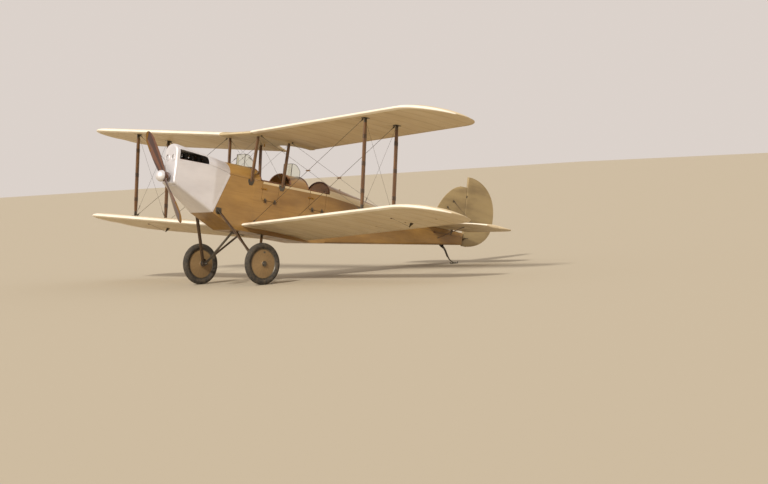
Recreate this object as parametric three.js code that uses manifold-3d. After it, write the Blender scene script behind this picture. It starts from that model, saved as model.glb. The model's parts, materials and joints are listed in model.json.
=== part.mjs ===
// A two-seat light biplane of the 1920s, parked on its wheels and tail skid.
// Millimetres. The nose points to -Y, +X is the port side and +Z is up.
// Every piece is drawn in the flying attitude, with y = 0 at the upper leading edge and z = 0 at the
// lower leading edge on the centre line. The whole airframe is then tipped back onto its skid.

import * as THREE from 'three'
import { mergeVertices } from 'three/addons/utils/BufferGeometryUtils.js'
import Module from 'manifold-3d'

const wasm = await Module()
wasm.setup()

const rad = THREE.MathUtils.degToRad

// Driving dimensions of the wings
const SPAN = 9144
const CHORD = 1340
const WING_GAP = 1480
const STAGGER = 120
const DIHEDRAL = rad(3.5)
const INCIDENCE = rad(2.5)
const THICKNESS = 0.075
const CAMBER = 0.035
const CAMBER_PEAK = 0.4
const EDGE_THICKNESS = 4
const FRONT_SPAR = 200
const REAR_SPAR = 830
const CENTRE_HALF = 420
const STRUT_STATION = 3100
const TIP_FRONT_ROUND = 560
const TIP_BACK_ROUND = 430

// Ailerons on the lower wings
const AILERON_HINGE = 1000
const AILERON_INNER = 2350
const AILERON_OUTER = 4080
const AILERON_NOSE = 24

// Fuselage
const FUSELAGE_HALF = 305
const PANEL = 14
const DECK_SKIN = 6
const FLOOR_Z = -75
const LONGERON_Z = 780
const FIREWALL_Y = -215
const REAR_BULKHEAD_Y = 1830
const STERN_Y = 5030
const TAIL_SEAT_Y = 3950
const TAIL_SEAT_Z = 607

// Cowling and engine
const NOSE_Y = -1180
const COWL_SKIN = 5
const NOSE_CAP = 60
const SHAFT_Z = 590
const SHAFT_HOLE = 44
const PROPELLER_Y = -1262
const PROPELLER_RADIUS = 965
const PROPELLER_REST = rad(-40)

// Undercarriage
const AXLE_Y = 215
const AXLE_Z = -600
const TRACK_HALF = 850
const TYRE_RADIUS = 335
const TYRE_HALF_WIDTH = 50
const AXLE_RADIUS = 20
const PARKED_PITCH = rad(12)

// Tail
const TAILPLANE_HALF = 1420
const TAILPLANE_FRONT = 4020
const ELEVATOR_HINGE_Y = 4640
const ELEVATOR_BACK = 5060
const TAIL_THICKNESS = 52
const RUDDER_HINGE_Y = 5070
const RUDDER_BACK = 5720
const RUDDER_TOP = 1600
const RUDDER_BOTTOM = 385

// Gaps: between pieces that touch, in a bearing, and around a piece that moves
const SEAT = 0.3
const BEARING = 0.4
const CLEAR = 6

const finish = (color, roughness, metalness = 0) => ({ color, roughness, metalness })
const LINEN = finish(0xd9cba6, 0.75)
const BROWN = finish(0x4b3020, 0.45)
const SPRUCE = finish(0x3f2817, 0.5)
const ALUMINIUM = finish(0xe4e1d8, 0.35, 0.6)
const STEEL = finish(0x6b665c, 0.45, 0.8)
const IRON = finish(0x35322e, 0.6, 0.5)
const RUBBER = finish(0x2b2a28, 0.9)
const GLASS = finish(0xcfd6d2, 0.1)
const LEATHER = finish(0x5a3a22, 0.6)
const TAIL_GREY = finish(0x8f8c74, 0.6)
const PROPELLER_WOOD = finish(0x6b3d1e, 0.35)

const airframe = new THREE.Group()

function piece(name, geometry, look) {
  const mesh = new THREE.Mesh(geometry, new THREE.MeshStandardMaterial(look))
  mesh.name = name
  airframe.add(mesh)
  return mesh
}

// The same piece on both sides, drawn for port
function pair(name, geometry, look) {
  piece(`${name}_port`, geometry, look)
  piece(`${name}_starboard`, mirrored(geometry), look)
}

// Geometry helpers

const bare = (geometry) => {
  const copy = geometry.clone()
  copy.deleteAttribute('normal')
  copy.deleteAttribute('uv')
  return mergeVertices(copy, 1e-3)
}

function solid(geometry) {
  const merged = bare(geometry)
  return new wasm.Manifold(new wasm.Mesh({
    numProp: 3,
    vertProperties: new Float32Array(merged.attributes.position.array),
    triVerts: new Uint32Array(merged.index.array),
  }))
}

function geometryOf(manifold) {
  const mesh = manifold.getMesh()
  const geometry = new THREE.BufferGeometry()
  geometry.setAttribute('position', new THREE.BufferAttribute(new Float32Array(mesh.vertProperties), 3))
  geometry.setIndex(new THREE.BufferAttribute(new Uint32Array(mesh.triVerts), 1))
  return geometry
}

const join = (...pieces) => geometryOf(pieces.map(solid).reduce((all, next) => all.add(next)))
const cut = (body, ...tools) =>
  geometryOf(tools.map(solid).reduce((all, tool) => all.subtract(tool), solid(body)))
const common = (body, region) => geometryOf(solid(body).intersect(solid(region)))

function mirrored(geometry) {
  const copy = bare(geometry)
  copy.scale(-1, 1, 1)
  const index = copy.index.array
  for (let i = 0; i < index.length; i += 3) {
    [index[i], index[i + 1]] = [index[i + 1], index[i]]
  }
  return copy
}

const moved = (geometry, x, y, z) => geometry.clone().translate(x, y, z)

// A straight-sided solid between two corners
function block(low, high) {
  const size = high.map((value, i) => value - low[i])
  const middle = high.map((value, i) => (value + low[i]) / 2)
  return new THREE.BoxGeometry(...size).translate(...middle)
}

const shapeOf = (points) => new THREE.Shape(points.map(([a, b]) => new THREE.Vector2(a, b)))

// Outlines in side view (y, z) and in plan (x, y), drawn out along the third axis
function slabX(points, from, to) {
  const basis = new THREE.Matrix4().makeBasis(
    new THREE.Vector3(0, 1, 0), new THREE.Vector3(0, 0, 1), new THREE.Vector3(1, 0, 0))
  return new THREE.ExtrudeGeometry(shapeOf(points), { depth: to - from, bevelEnabled: false })
    .applyMatrix4(basis).translate(from, 0, 0)
}

function slabZ(points, from, to) {
  return new THREE.ExtrudeGeometry(shapeOf(points), { depth: to - from, bevelEnabled: false })
    .translate(0, 0, from)
}

// A round bar from a to b
function rod(a, b, radius, sides = 10, endRadius = radius) {
  const start = new THREE.Vector3(...a)
  const line = new THREE.Vector3(...b).sub(start)
  const turn = new THREE.Quaternion().setFromUnitVectors(new THREE.Vector3(0, 1, 0), line.clone().normalize())
  const middle = start.clone().addScaledVector(line, 0.5)
  return new THREE.CylinderGeometry(endRadius, radius, line.length(), sides)
    .applyQuaternion(turn).translate(middle.x, middle.y, middle.z)
}

// A closed solid through rings of points that all have the same count
function loft(rings) {
  const count = rings[0].length
  const index = []
  for (let r = 0; r + 1 < rings.length; r++) {
    for (let i = 0; i < count; i++) {
      const here = r * count + i
      const beside = r * count + (i + 1) % count
      index.push(here, beside, beside + count, here, beside + count, here + count)
    }
  }
  cap(rings[0], 0, true, index)
  cap(rings.at(-1), (rings.length - 1) * count, false, index)
  const geometry = new THREE.BufferGeometry()
  geometry.setAttribute('position', new THREE.Float32BufferAttribute(rings.flat(2), 3))
  geometry.setIndex(index)
  if (signedVolume(geometry) < 0) {
    for (let i = 0; i < index.length; i += 3) {
      [index[i], index[i + 1]] = [index[i + 1], index[i]]
    }
    geometry.setIndex(index)
  }
  return geometry
}

function cap(ring, offset, reversed, index) {
  const spread = [0, 1, 2].map((k) => Math.max(...ring.map((p) => p[k])) - Math.min(...ring.map((p) => p[k])))
  const [a, b] = [0, 1, 2].filter((k) => k !== spread.indexOf(Math.min(...spread)))
  const flat = ring.map((p) => new THREE.Vector2(p[a], p[b]))
  const ringSign = Math.sign(THREE.ShapeUtils.area(flat))
  for (const face of THREE.ShapeUtils.triangulateShape(flat, [])) {
    const faceSign = Math.sign(THREE.ShapeUtils.area(face.map((i) => flat[i])))
    const keep = (faceSign === ringSign) !== reversed
    const [i, j, k] = keep ? face : [face[1], face[0], face[2]]
    index.push(offset + i, offset + j, offset + k)
  }
}

function signedVolume(geometry) {
  const position = geometry.attributes.position
  const corner = [0, 1, 2].map(() => new THREE.Vector3())
  let total = 0
  for (let i = 0; i < geometry.index.count; i += 3) {
    corner.forEach((point, k) => point.fromBufferAttribute(position, geometry.index.getX(i + k)))
    total += corner[0].dot(corner[1].cross(corner[2]))
  }
  return total / 6
}

// Streamlined bar from a to b, its long way along the aircraft
function streamlined(a, b, chord, thickness, sides = 12) {
  const ring = (p) => Array.from({ length: sides }, (_, i) => {
    const angle = (i / sides) * 2 * Math.PI
    return [p[0] + Math.sin(angle) * thickness / 2, p[1] + Math.cos(angle) * chord / 2, p[2]]
  })
  return loft([ring(a), ring(b)])
}

// A hinge on an axis: the fixed half is a pin in two end lugs, the moving half a barrel on the pin.
// "moving" and "fixed" are the unit directions from the axis to what each half is fastened to.
const HINGE = { pin: 3, barrel: 7, length: 24, lug: 5, side: 0.6, sides: 8, leaf: 12.6, margin: 2 }
function hinge(at, along, moving, fixed, reach) {
  const point = new THREE.Vector3(...at)
  const axis = new THREE.Vector3(...along)
  const on = (distance) => point.clone().addScaledVector(axis, distance).toArray()
  const half = HINGE.length / 2
  const lugStart = half + HINGE.side
  const lugEnd = lugStart + HINGE.lug
  const arm = (direction, from, to) => {
    const toward = new THREE.Vector3(...direction)
    const away = toward.addScaledVector(axis, -toward.dot(axis)).normalize()
    const across = axis.clone().cross(away)
    const basis = new THREE.Matrix4().makeBasis(axis, away, across)
    return new THREE.BoxGeometry(to - from, reach, HINGE.leaf)
      .translate((from + to) / 2, reach / 2, 0).applyMatrix4(basis).translate(...at)
  }
  const lugs = [-1, 1].flatMap((side) => {
    const [from, to] = side > 0 ? [lugStart, lugEnd] : [-lugEnd, -lugStart]
    return [rod(on(from), on(to), HINGE.barrel, HINGE.sides), arm(fixed, from, to)]
  })
  const barrel = join(rod(on(-half), on(half), HINGE.barrel, HINGE.sides), arm(moving, -half, half))
  return {
    fixed: join(rod(on(-lugEnd), on(lugEnd), HINGE.pin, HINGE.sides), ...lugs),
    moving: cut(barrel, rod(on(-half - 1), on(half + 1), HINGE.pin + BEARING, HINGE.sides)),
    width: 2 * (lugEnd + HINGE.margin),
  }
}

// Wings

// The four-digit section family: half thickness as a polynomial of the share of chord
const SECTION_TERMS = [[0.2969, 0.5], [-0.126, 1], [-0.3516, 2], [0.2843, 3], [-0.1015, 4]]

// One side of a cambered section with a nearly flat underside, as [share of chord, height / chord]
function sectionPoint(share, side) {
  const swell = SECTION_TERMS.reduce((sum, [factor, power]) => sum + factor * share ** power, 0)
  const half = 5 * THICKNESS * swell
  const front = share < CAMBER_PEAK
  const reach = front ? CAMBER_PEAK : 1 - CAMBER_PEAK
  const start = front ? 0 : 1 - 2 * CAMBER_PEAK
  const line = CAMBER / reach ** 2 * (start + 2 * CAMBER_PEAK * share - share ** 2)
  return [share, line + side * (half + share * EDGE_THICKNESS / 2 / CHORD)]
}

// A ring of the section from share "start" to the trailing edge and back, in [along, up]
const SECTION_STEPS = 9
function section(start = 0) {
  const share = (i) => start + (1 - start) * (1 - Math.cos((i / SECTION_STEPS) * Math.PI / 2))
  const steps = Array.from({ length: SECTION_STEPS + 1 }, (_, i) => i)
  const upper = steps.map((i) => sectionPoint(share(i), 1))
  const lower = steps.map((i) => sectionPoint(share(SECTION_STEPS - i), -1))
  return start > 0 ? [...upper, ...lower] : [...upper, ...lower.slice(0, -1)]
}

// Where the edges of a round wing tip lie at span station x, as distances behind the leading edge
function tipEdges(x, tip) {
  const round = (length) => {
    const into = Math.min(Math.max((x - (tip - length)) / length, 0), 0.995)
    return 1 - Math.sqrt(1 - into ** 2)
  }
  return [CHORD * 0.6 * round(TIP_FRONT_ROUND), CHORD * (1 - 0.28 * round(TIP_BACK_ROUND))]
}

// The port wing in its own frame: x along the span, y along the chord, z up
function wingPanel(root, tip) {
  const stations = [root, tip - TIP_FRONT_ROUND]
  for (const part of [0.25, 0.45, 0.62, 0.77, 0.88, 0.955, 0.99]) {
    stations.push(tip - TIP_FRONT_ROUND * (1 - part))
  }
  return loft(stations.map((x) => {
    const [front, back] = tipEdges(x, tip)
    const chord = back - front
    return section().map(([share, up]) => [x, front + share * chord, up * chord])
  }))
}

// From a wing's own frame to the airframe
const place = (y, z) => new THREE.Matrix4().makeTranslation(0, y, z)
  .multiply(new THREE.Matrix4().makeRotationY(-DIHEDRAL))
  .multiply(new THREE.Matrix4().makeRotationX(-INCIDENCE))
const UPPER = place(0, WING_GAP)
const LOWER = place(STAGGER, 0)
const tipLength = SPAN / 2 / Math.cos(DIHEDRAL)

// A point of a wing, from span station x and distance behind the leading edge
const wingPoint = (matrix, x, along, up = 0) => new THREE.Vector3(x, along, up).applyMatrix4(matrix).toArray()

const upperWing = cut(wingPanel(CENTRE_HALF - 20, tipLength).applyMatrix4(UPPER),
  block([-100, -400, 0], [CENTRE_HALF + SEAT, 2000, 3000]))

const aileronShare = AILERON_HINGE / CHORD
const hingeHeight = (sectionPoint(aileronShare, 1)[1] + sectionPoint(aileronShare, -1)[1]) / 2 * CHORD

function aileronBody() {
  const tail = section(aileronShare).map(([share, up]) => [share * CHORD, up * CHORD])
  const nose = Array.from({ length: 7 }, (_, i) => {
    const angle = (i + 1) / 8 * Math.PI
    return [AILERON_HINGE - Math.sin(angle) * AILERON_NOSE, hingeHeight - Math.cos(angle) * AILERON_NOSE]
  })
  const ring = [...tail, ...nose]
  return loft([AILERON_INNER, AILERON_OUTER].map((x) => ring.map(([y, z]) => [x, y, z])))
}

const aileronBay = block(
  [AILERON_INNER - CLEAR, AILERON_HINGE - AILERON_NOSE - CLEAR, -200],
  [AILERON_OUTER + CLEAR, CHORD + 200, 300])

let lowerPanel = cut(wingPanel(FUSELAGE_HALF - 20, tipLength), aileronBay)
let aileron = aileronBody()
const aileronReach = AILERON_NOSE + CLEAR + 6
for (const x of [AILERON_INNER + 150, (AILERON_INNER + AILERON_OUTER) / 2, AILERON_OUTER - 150]) {
  const set = hinge([x, AILERON_HINGE, hingeHeight], [1, 0, 0], [0, 1, 0], [0, -1, 0], aileronReach)
  const slot = block([x - set.width / 2, AILERON_HINGE - 60, -100],
    [x + set.width / 2, AILERON_HINGE + HINGE.barrel + 3, 200])
  aileron = join(cut(aileron, slot), set.moving)
  lowerPanel = join(lowerPanel, set.fixed)
}
const lowerWing = cut(lowerPanel.applyMatrix4(LOWER),
  block([-100, -400, -300], [FUSELAGE_HALF + SEAT, 2000, 500]))
aileron.applyMatrix4(LOWER)

const centreRing = section().map(([share, up]) => [share * CHORD, up * CHORD])
const centreZ = WING_GAP + CENTRE_HALF * Math.tan(DIHEDRAL) * 0.6
const centreFlat = new THREE.Matrix4().makeTranslation(0, 0, centreZ)
  .multiply(new THREE.Matrix4().makeRotationX(-INCIDENCE))
const CUTOUT_DEPTH = 400
const CUTOUT_HALF = 300
const cutoutArc = Array.from({ length: 9 }, (_, i) => {
  const angle = (i / 8) * Math.PI
  return [Math.cos(angle) * CUTOUT_HALF, CHORD - Math.sin(angle) * CUTOUT_DEPTH]
})
const centreSection = cut(
  loft([-CENTRE_HALF, CENTRE_HALF].map((x) => centreRing.map(([y, z]) => [x, y, z]))),
  slabZ([[CUTOUT_HALF, CHORD + 100], ...cutoutArc, [-CUTOUT_HALF, CHORD + 100]], -100, 200),
).applyMatrix4(centreFlat)

piece('fuel_tank_centre_section', centreSection, ALUMINIUM)
pair('upper_wing', upperWing, LINEN)
pair('lower_wing', lowerWing, LINEN)
pair('aileron', aileron, LINEN)

// Ends a bar SEAT short of the pieces that carry it
const upperStop = moved(upperWing, 0, 0, -SEAT)
const lowerStop = moved(lowerWing, 0, 0, SEAT)

// Which spar the struts and wires stand on: name, distance behind the leading edge
const SPARS = [['front', FRONT_SPAR], ['rear', REAR_SPAR]]
for (const [name, along] of SPARS) {
  const strut = streamlined(wingPoint(LOWER, STRUT_STATION, along, 30),
    wingPoint(UPPER, STRUT_STATION, along, 50), 72, 30)
  pair(`interplane_strut_${name}`, cut(strut, upperStop, lowerStop), SPRUCE)
}

// Cabane struts, from the top longerons to the centre section
const CABANE = { foot: 318, head: 385, footZ: 735, rake: 12, chord: 62, thickness: 25 }
for (const [name, along] of SPARS) {
  const head = new THREE.Vector3(CABANE.head, along, 40).applyMatrix4(centreFlat)
  const foot = [CABANE.foot, head.y + CABANE.rake, CABANE.footZ]
  const strut = streamlined(foot, head.toArray(), CABANE.chord, CABANE.thickness)
  pair(`cabane_strut_${name}`, cut(strut, moved(centreSection, 0, 0, -SEAT)), SPRUCE)
}

// Flying and landing wires of each bay, which cross in a turned acorn
const WIRE = { radius: 3.5, sides: 6, root: 45, tip: 60, acornHalf: 60, acornRadius: 12, acornSides: 8 }

// Where two lines cross in front view, as a point of the first
function crossing([a, b], [c, d]) {
  const denominator = (b[0] - a[0]) * (d[2] - c[2]) - (b[2] - a[2]) * (d[0] - c[0])
  const share = ((c[0] - a[0]) * (d[2] - c[2]) - (c[2] - a[2]) * (d[0] - c[0])) / denominator
  return a.map((value, k) => value + (b[k] - value) * share)
}

for (const [name, along] of SPARS) {
  const flying = [wingPoint(LOWER, FUSELAGE_HALF + WIRE.root, along, 20),
    wingPoint(UPPER, STRUT_STATION - WIRE.tip, along, 40)]
  const landing = [wingPoint(UPPER, CENTRE_HALF + WIRE.root, along, 40),
    wingPoint(LOWER, STRUT_STATION - WIRE.tip, along, 20)]
  const [x, y, z] = crossing(flying, landing)
  const acorn = rod([x - WIRE.acornHalf, y, z], [x + WIRE.acornHalf, y, z], WIRE.acornRadius, WIRE.acornSides)
  const wires = [flying, landing].map(([low, high]) => rod(low, high, WIRE.radius, WIRE.sides))
  pair(`bracing_wires_${name}`, cut(join(...wires, acorn), upperStop, lowerStop), STEEL)
}

// Fuselage

// Cross-sections: y, half width, underside, where the side ends and the round top begins, top
const STATIONS = [
  { y: NOSE_Y, half: 165, bottom: 500, shoulder: 1000, top: 1140 },
  { y: -480, half: FUSELAGE_HALF, bottom: 135, shoulder: 852, top: 1035 },
  { y: FIREWALL_Y, half: FUSELAGE_HALF, bottom: 21, shoulder: LONGERON_Z + 10, top: 1000 },
  { y: 10, half: FUSELAGE_HALF, bottom: FLOOR_Z, shoulder: LONGERON_Z, top: 996 },
  { y: 1500, half: FUSELAGE_HALF, bottom: FLOOR_Z, shoulder: LONGERON_Z, top: 990 },
  { y: REAR_BULKHEAD_Y, half: FUSELAGE_HALF, bottom: -30, shoulder: LONGERON_Z, top: 985 },
]
const LOWEST_ARCH = 0.5
for (const part of [0.12, 0.3, 0.5, 0.7]) {
  const y = REAR_BULKHEAD_Y + (TAIL_SEAT_Y - REAR_BULKHEAD_Y) * part / 0.7
  STATIONS.push({
    y,
    half: 40 + 265 * (1 - ((y - REAR_BULKHEAD_Y) / (STERN_Y - REAR_BULKHEAD_Y)) ** 1.4),
    bottom: -30 + 430 * ((y - REAR_BULKHEAD_Y) / (STERN_Y - REAR_BULKHEAD_Y)),
    shoulder: LONGERON_Z + (TAIL_SEAT_Z - LONGERON_Z) * part / 0.7,
    top: LONGERON_Z + (TAIL_SEAT_Z - LONGERON_Z) * part / 0.7 + 205 * (1 - part / 0.7) + LOWEST_ARCH,
  })
}
STATIONS.push({ y: STERN_Y, half: 40, bottom: 400, shoulder: TAIL_SEAT_Z, top: TAIL_SEAT_Z + LOWEST_ARCH })

// The cross-section at any y, between its two stations
function stationAt(y) {
  const next = Math.max(STATIONS.findIndex((s) => s.y >= y), 1)
  const [a, b] = [STATIONS[next - 1], STATIONS[next]]
  const share = (y - a.y) / (b.y - a.y)
  return Object.fromEntries(Object.keys(a).map((key) => [key, a[key] + (b[key] - a[key]) * share]))
}

// Ring of a cross-section, drawn inwards by "skin", with rounded lower corners
const ARCH_STEPS = 10
const CORNER = 30
function ringAt(y, skin = 0, raise = 0) {
  const { half, bottom, shoulder, top } = stationAt(y)
  const width = half - skin
  const low = bottom + skin
  const corner = [[width - CORNER, low], [width - CORNER * 0.3, low + CORNER * 0.3], [width, low + CORNER]]
  const arch = Array.from({ length: ARCH_STEPS + 1 }, (_, i) => {
    const angle = (i / ARCH_STEPS) * Math.PI
    return [Math.cos(angle) * width, shoulder + Math.sin(angle) * (top - shoulder - skin + raise)]
  })
  const ring = [...corner, ...arch, ...corner.reverse().map(([x, z]) => [-x, z])]
  return ring.map(([x, z]) => [x, y, z])
}

const hull = (from, to, skin = 0, raise = 0) => {
  const inside = STATIONS.map((s) => s.y).filter((y) => y > from && y < to)
  return loft([from, ...inside, to].map((y) => ringAt(y, skin, raise)))
}

const shell = (from, to, skin) => cut(hull(from, to), hull(from - 0.01, to + 0.01, skin))

// Where the cowling ends and the side panels begin, seen from the side
const lowerEdge = STATIONS.slice(1, 6).map(({ y, bottom }) => [y, bottom])
const PANEL_EDGE = [[FIREWALL_Y + 5, LONGERON_Z - 1], lowerEdge[0]]

const DOORS = [
  { name: 'front_cockpit_door', from: 455, to: 790 },
  { name: 'rear_cockpit_door', from: 1425, to: 1770 },
]
const DOOR_BOTTOM = 470
const DOOR_AXIS_X = FUSELAGE_HALF + 9

const sideEnd = REAR_BULKHEAD_Y - SEAT
const sideProfile = [...PANEL_EDGE, ...lowerEdge.slice(1, -1), [sideEnd, lowerEdge.at(-1)[1]],
  [sideEnd, LONGERON_Z - 1]]
const sidePanel = slabX(sideProfile, FUSELAGE_HALF - PANEL, FUSELAGE_HALF)
const starboardSide = mirrored(sidePanel)
let portSide = sidePanel
for (const door of DOORS) {
  const hole = block([200, door.from, DOOR_BOTTOM], [400, door.to, LONGERON_Z + 100])
  portSide = cut(portSide, hole)
  let panel = block([FUSELAGE_HALF - PANEL, door.from + CLEAR, DOOR_BOTTOM + CLEAR],
    [FUSELAGE_HALF, door.to - CLEAR, LONGERON_Z - 1])
  for (const y of [door.from + 70, door.to - 70]) {
    const axis = [DOOR_AXIS_X, y, DOOR_BOTTOM + 3]
    const set = hinge(axis, [0, 1, 0], [0, 0, 1], [0, 0, -1], 34)
    const leafPad = (up) => block([FUSELAGE_HALF - 4, y - HINGE.length / 2, axis[2] + (up ? 8 : -34)],
      [DOOR_AXIS_X, y + HINGE.length / 2, axis[2] + (up ? 34 : -8)])
    panel = join(panel, set.moving, leafPad(true))
    const lugPads = [-1, 1].map((side) => {
      const middle = y + side * (HINGE.length / 2 + HINGE.side + HINGE.lug / 2)
      return block([FUSELAGE_HALF - 4, middle - HINGE.lug / 2, axis[2] - 34],
        [DOOR_AXIS_X, middle + HINGE.lug / 2, axis[2] - 8])
    })
    portSide = join(portSide, set.fixed, ...lugPads)
  }
  piece(door.name, panel, BROWN)
}
piece('fuselage_side_port', portSide, BROWN)
piece('fuselage_side_starboard', starboardSide, BROWN)

const INNER = FUSELAGE_HALF - PANEL - SEAT
const FLOOR = 12
const floorTop = lowerEdge.map(([y, z]) => [y, z + FLOOR]).reverse()
const [floorNose, floorTail] = [lowerEdge[0], lowerEdge.at(-1)]
const under = [[floorNose[0] + 3, floorNose[1]], ...lowerEdge.slice(1, -1),
  [floorTail[0] - SEAT, floorTail[1]]]
const above = [[floorTail[0] - SEAT, floorTail[1] + FLOOR], ...floorTop.slice(1, -1),
  [floorNose[0] + 3, floorNose[1] + FLOOR]]
piece('fuselage_floor', slabX([...under, ...above], -INNER, INNER), BROWN)

// Bulkhead behind the engine, with the two beams that carry it
const BEARER = { inner: 112, outer: 150, low: 600, high: 650 }
const firewallPlate = cut(common(hull(FIREWALL_Y, FIREWALL_Y + 10, DECK_SKIN + 1),
  block([-INNER, -400, stationAt(FIREWALL_Y).bottom + FLOOR + 6], [INNER, 0, 1100])))
const bearers = [-1, 1].map((side) => block(
  [Math.min(side * BEARER.inner, side * BEARER.outer), NOSE_Y + NOSE_CAP + 20, BEARER.low],
  [Math.max(side * BEARER.inner, side * BEARER.outer), FIREWALL_Y + 5, BEARER.high]))
piece('firewall', join(firewallPlate, ...bearers), ALUMINIUM)

// Decking round the cockpits: curved skins with an instrument board under the rear edge
const COCKPITS = [{ from: 330, to: 1010 }, { from: 1300, to: 1790 }]
const SLOPE = 90
const deckAbove = (from, to) => block([-400, from, LONGERON_Z + SEAT], [400, to, 1300])
const cockpitHoles = COCKPITS.map(({ from, to }) => slabX(
  [[from, 1100], [from + SLOPE, LONGERON_Z - 50], [to, LONGERON_Z - 50], [to, 1100]], -500, 500))
const deck = cut(shell(FIREWALL_Y + SEAT, REAR_BULKHEAD_Y - SEAT, DECK_SKIN), ...cockpitHoles)
const BOARD = { low: 600, thickness: 8, ahead: 40 }
const board = (y) => common(hull(y, y + BOARD.thickness, DECK_SKIN - 1),
  block([-INNER, y - 1, BOARD.low], [INNER, y + BOARD.thickness + 1, 1000]))
const DECKS = [
  { name: 'front_decking', from: FIREWALL_Y - 100, cockpit: COCKPITS[0] },
  { name: 'middle_decking', from: COCKPITS[0].to - 5, cockpit: COCKPITS[1] },
]
for (const { name, from, cockpit } of DECKS) {
  const skin = common(deck, deckAbove(from, cockpit.from + SLOPE + 20))
  piece(name, join(skin, board(cockpit.from - BOARD.ahead)), BROWN)
}

// Closed rear fuselage, with the luggage locker let into its top
const LOCKER = { from: 1990, to: 2330, half: 150, floor: 640, skin: 8 }
const rearHull = hull(REAR_BULKHEAD_Y, STERN_Y)
const lockerBlock = (grow, low) => block(
  [-LOCKER.half - grow, LOCKER.from - grow, low], [LOCKER.half + grow, LOCKER.to + grow, 1200])
const nearLocker = (skin, beyond) => hull(LOCKER.from - beyond, LOCKER.to + beyond, skin)
const lidSpace = cut(lockerBlock(CLEAR, 700), nearLocker(LOCKER.skin, 50))
let rearFuselage = cut(rearHull, lockerBlock(-LOCKER.skin, LOCKER.floor), lidSpace)
let lid = common(cut(nearLocker(0, 50), nearLocker(LOCKER.skin - SEAT, 60)), lockerBlock(0, 700))
const lidMiddle = (LOCKER.from + LOCKER.to) / 2
const lidEdgeX = -LOCKER.half - 3
const LID_ARM = { moving: rad(12), fixed: rad(35), reach: 34 }
const archHeight = (s, x) => s.shoulder + (s.top - s.shoulder) * Math.sqrt(1 - (x / s.half) ** 2)
const deckRise = archHeight(stationAt(LOCKER.to), lidEdgeX) - archHeight(stationAt(LOCKER.from), lidEdgeX)
const lidAxis = new THREE.Vector3(0, LOCKER.to - LOCKER.from, deckRise).normalize()
const lidAxisPoint = [lidEdgeX, lidMiddle, archHeight(stationAt(lidMiddle), lidEdgeX) + 11]
for (const offset of [-110, 110]) {
  const at = new THREE.Vector3(...lidAxisPoint).addScaledVector(lidAxis, offset).toArray()
  const set = hinge(at, lidAxis.toArray(), [Math.cos(LID_ARM.moving), 0, -Math.sin(LID_ARM.moving)],
    [-Math.cos(LID_ARM.fixed), 0, -Math.sin(LID_ARM.fixed)], LID_ARM.reach)
  lid = join(lid, set.moving)
  rearFuselage = join(rearFuselage, set.fixed)
}
piece('locker_lid', lid, BROWN)

// Tail surfaces

const elevatorAxisZ = TAIL_SEAT_Z + LOWEST_ARCH + TAIL_THICKNESS / 2 + SEAT
const NOSE_RADIUS = TAIL_THICKNESS / 2 - 2

const TAIL_THICKEST = 0.65

// Half thickness of the tailplane, from its nose (0) to where it is thickest (1)
const tailHalf = (share) => TAIL_THICKNESS / 2 * Math.sqrt(1 - (1 - Math.min(Math.max(share, 0.02), 1)) ** 2)

function tailplaneRing(x) {
  const into = Math.min(Math.max((Math.abs(x) - 1000) / (TAILPLANE_HALF - 1000), 0), 0.98)
  const front = TAILPLANE_FRONT + Math.abs(x) * 0.1 + 260 * (1 - Math.sqrt(1 - into ** 2))
  const back = ELEVATOR_HINGE_Y - NOSE_RADIUS - CLEAR
  const shares = [0, 0.04, 0.15, 0.35, TAIL_THICKEST]
  const upper = shares.map((share) => [front + (back - front) * share, tailHalf(share / TAIL_THICKEST)])
  const top = [...upper, [back, TAIL_THICKNESS / 2 - 1]]
  const bottom = top.map(([y, z]) => [y, -z]).reverse()
  return [...top, ...bottom].map(([y, z]) => [x, y, z + elevatorAxisZ])
}
const TAIL_STATIONS = [0, 1000, 1150, 1270, 1360, 1410]
const tailStations = [...TAIL_STATIONS.slice(1).reverse().map((x) => -x), ...TAIL_STATIONS]
let tailplane = loft(tailStations.map(tailplaneRing))

function elevatorRing(x) {
  const into = Math.min(Math.max((x - 1080) / (TAILPLANE_HALF - 1080), 0), 0.98)
  const back = ELEVATOR_BACK - 230 * (1 - Math.sqrt(1 - into ** 2))
  const nose = Array.from({ length: 7 }, (_, i) => {
    const angle = i / 6 * Math.PI
    return [ELEVATOR_HINGE_Y - Math.sin(angle) * NOSE_RADIUS, Math.cos(angle) * -NOSE_RADIUS]
  })
  return [...nose, [back, 4], [back, -4]].map(([y, z]) => [x, y, z + elevatorAxisZ])
}
const elevatorHalf = loft([135, 1080, 1200, 1300, 1370, 1405].map(elevatorRing))
let elevator = join(elevatorHalf, mirrored(elevatorHalf),
  rod([-150, ELEVATOR_HINGE_Y, elevatorAxisZ], [150, ELEVATOR_HINGE_Y, elevatorAxisZ], 11, 16))
const elevatorReach = NOSE_RADIUS + CLEAR + 6
for (const x of [-1180, -560, 560, 1180]) {
  const set = hinge([x, ELEVATOR_HINGE_Y, elevatorAxisZ], [1, 0, 0], [0, 1, 0], [0, -1, 0], elevatorReach)
  const slot = block([x - set.width / 2, ELEVATOR_HINGE_Y - 60, elevatorAxisZ - 60],
    [x + set.width / 2, ELEVATOR_HINGE_Y + HINGE.barrel + 3, elevatorAxisZ + 60])
  elevator = join(cut(elevator, slot), set.moving)
  tailplane = join(tailplane, set.fixed)
}
piece('tailplane', tailplane, LINEN)
piece('elevator', elevator, LINEN)

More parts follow.
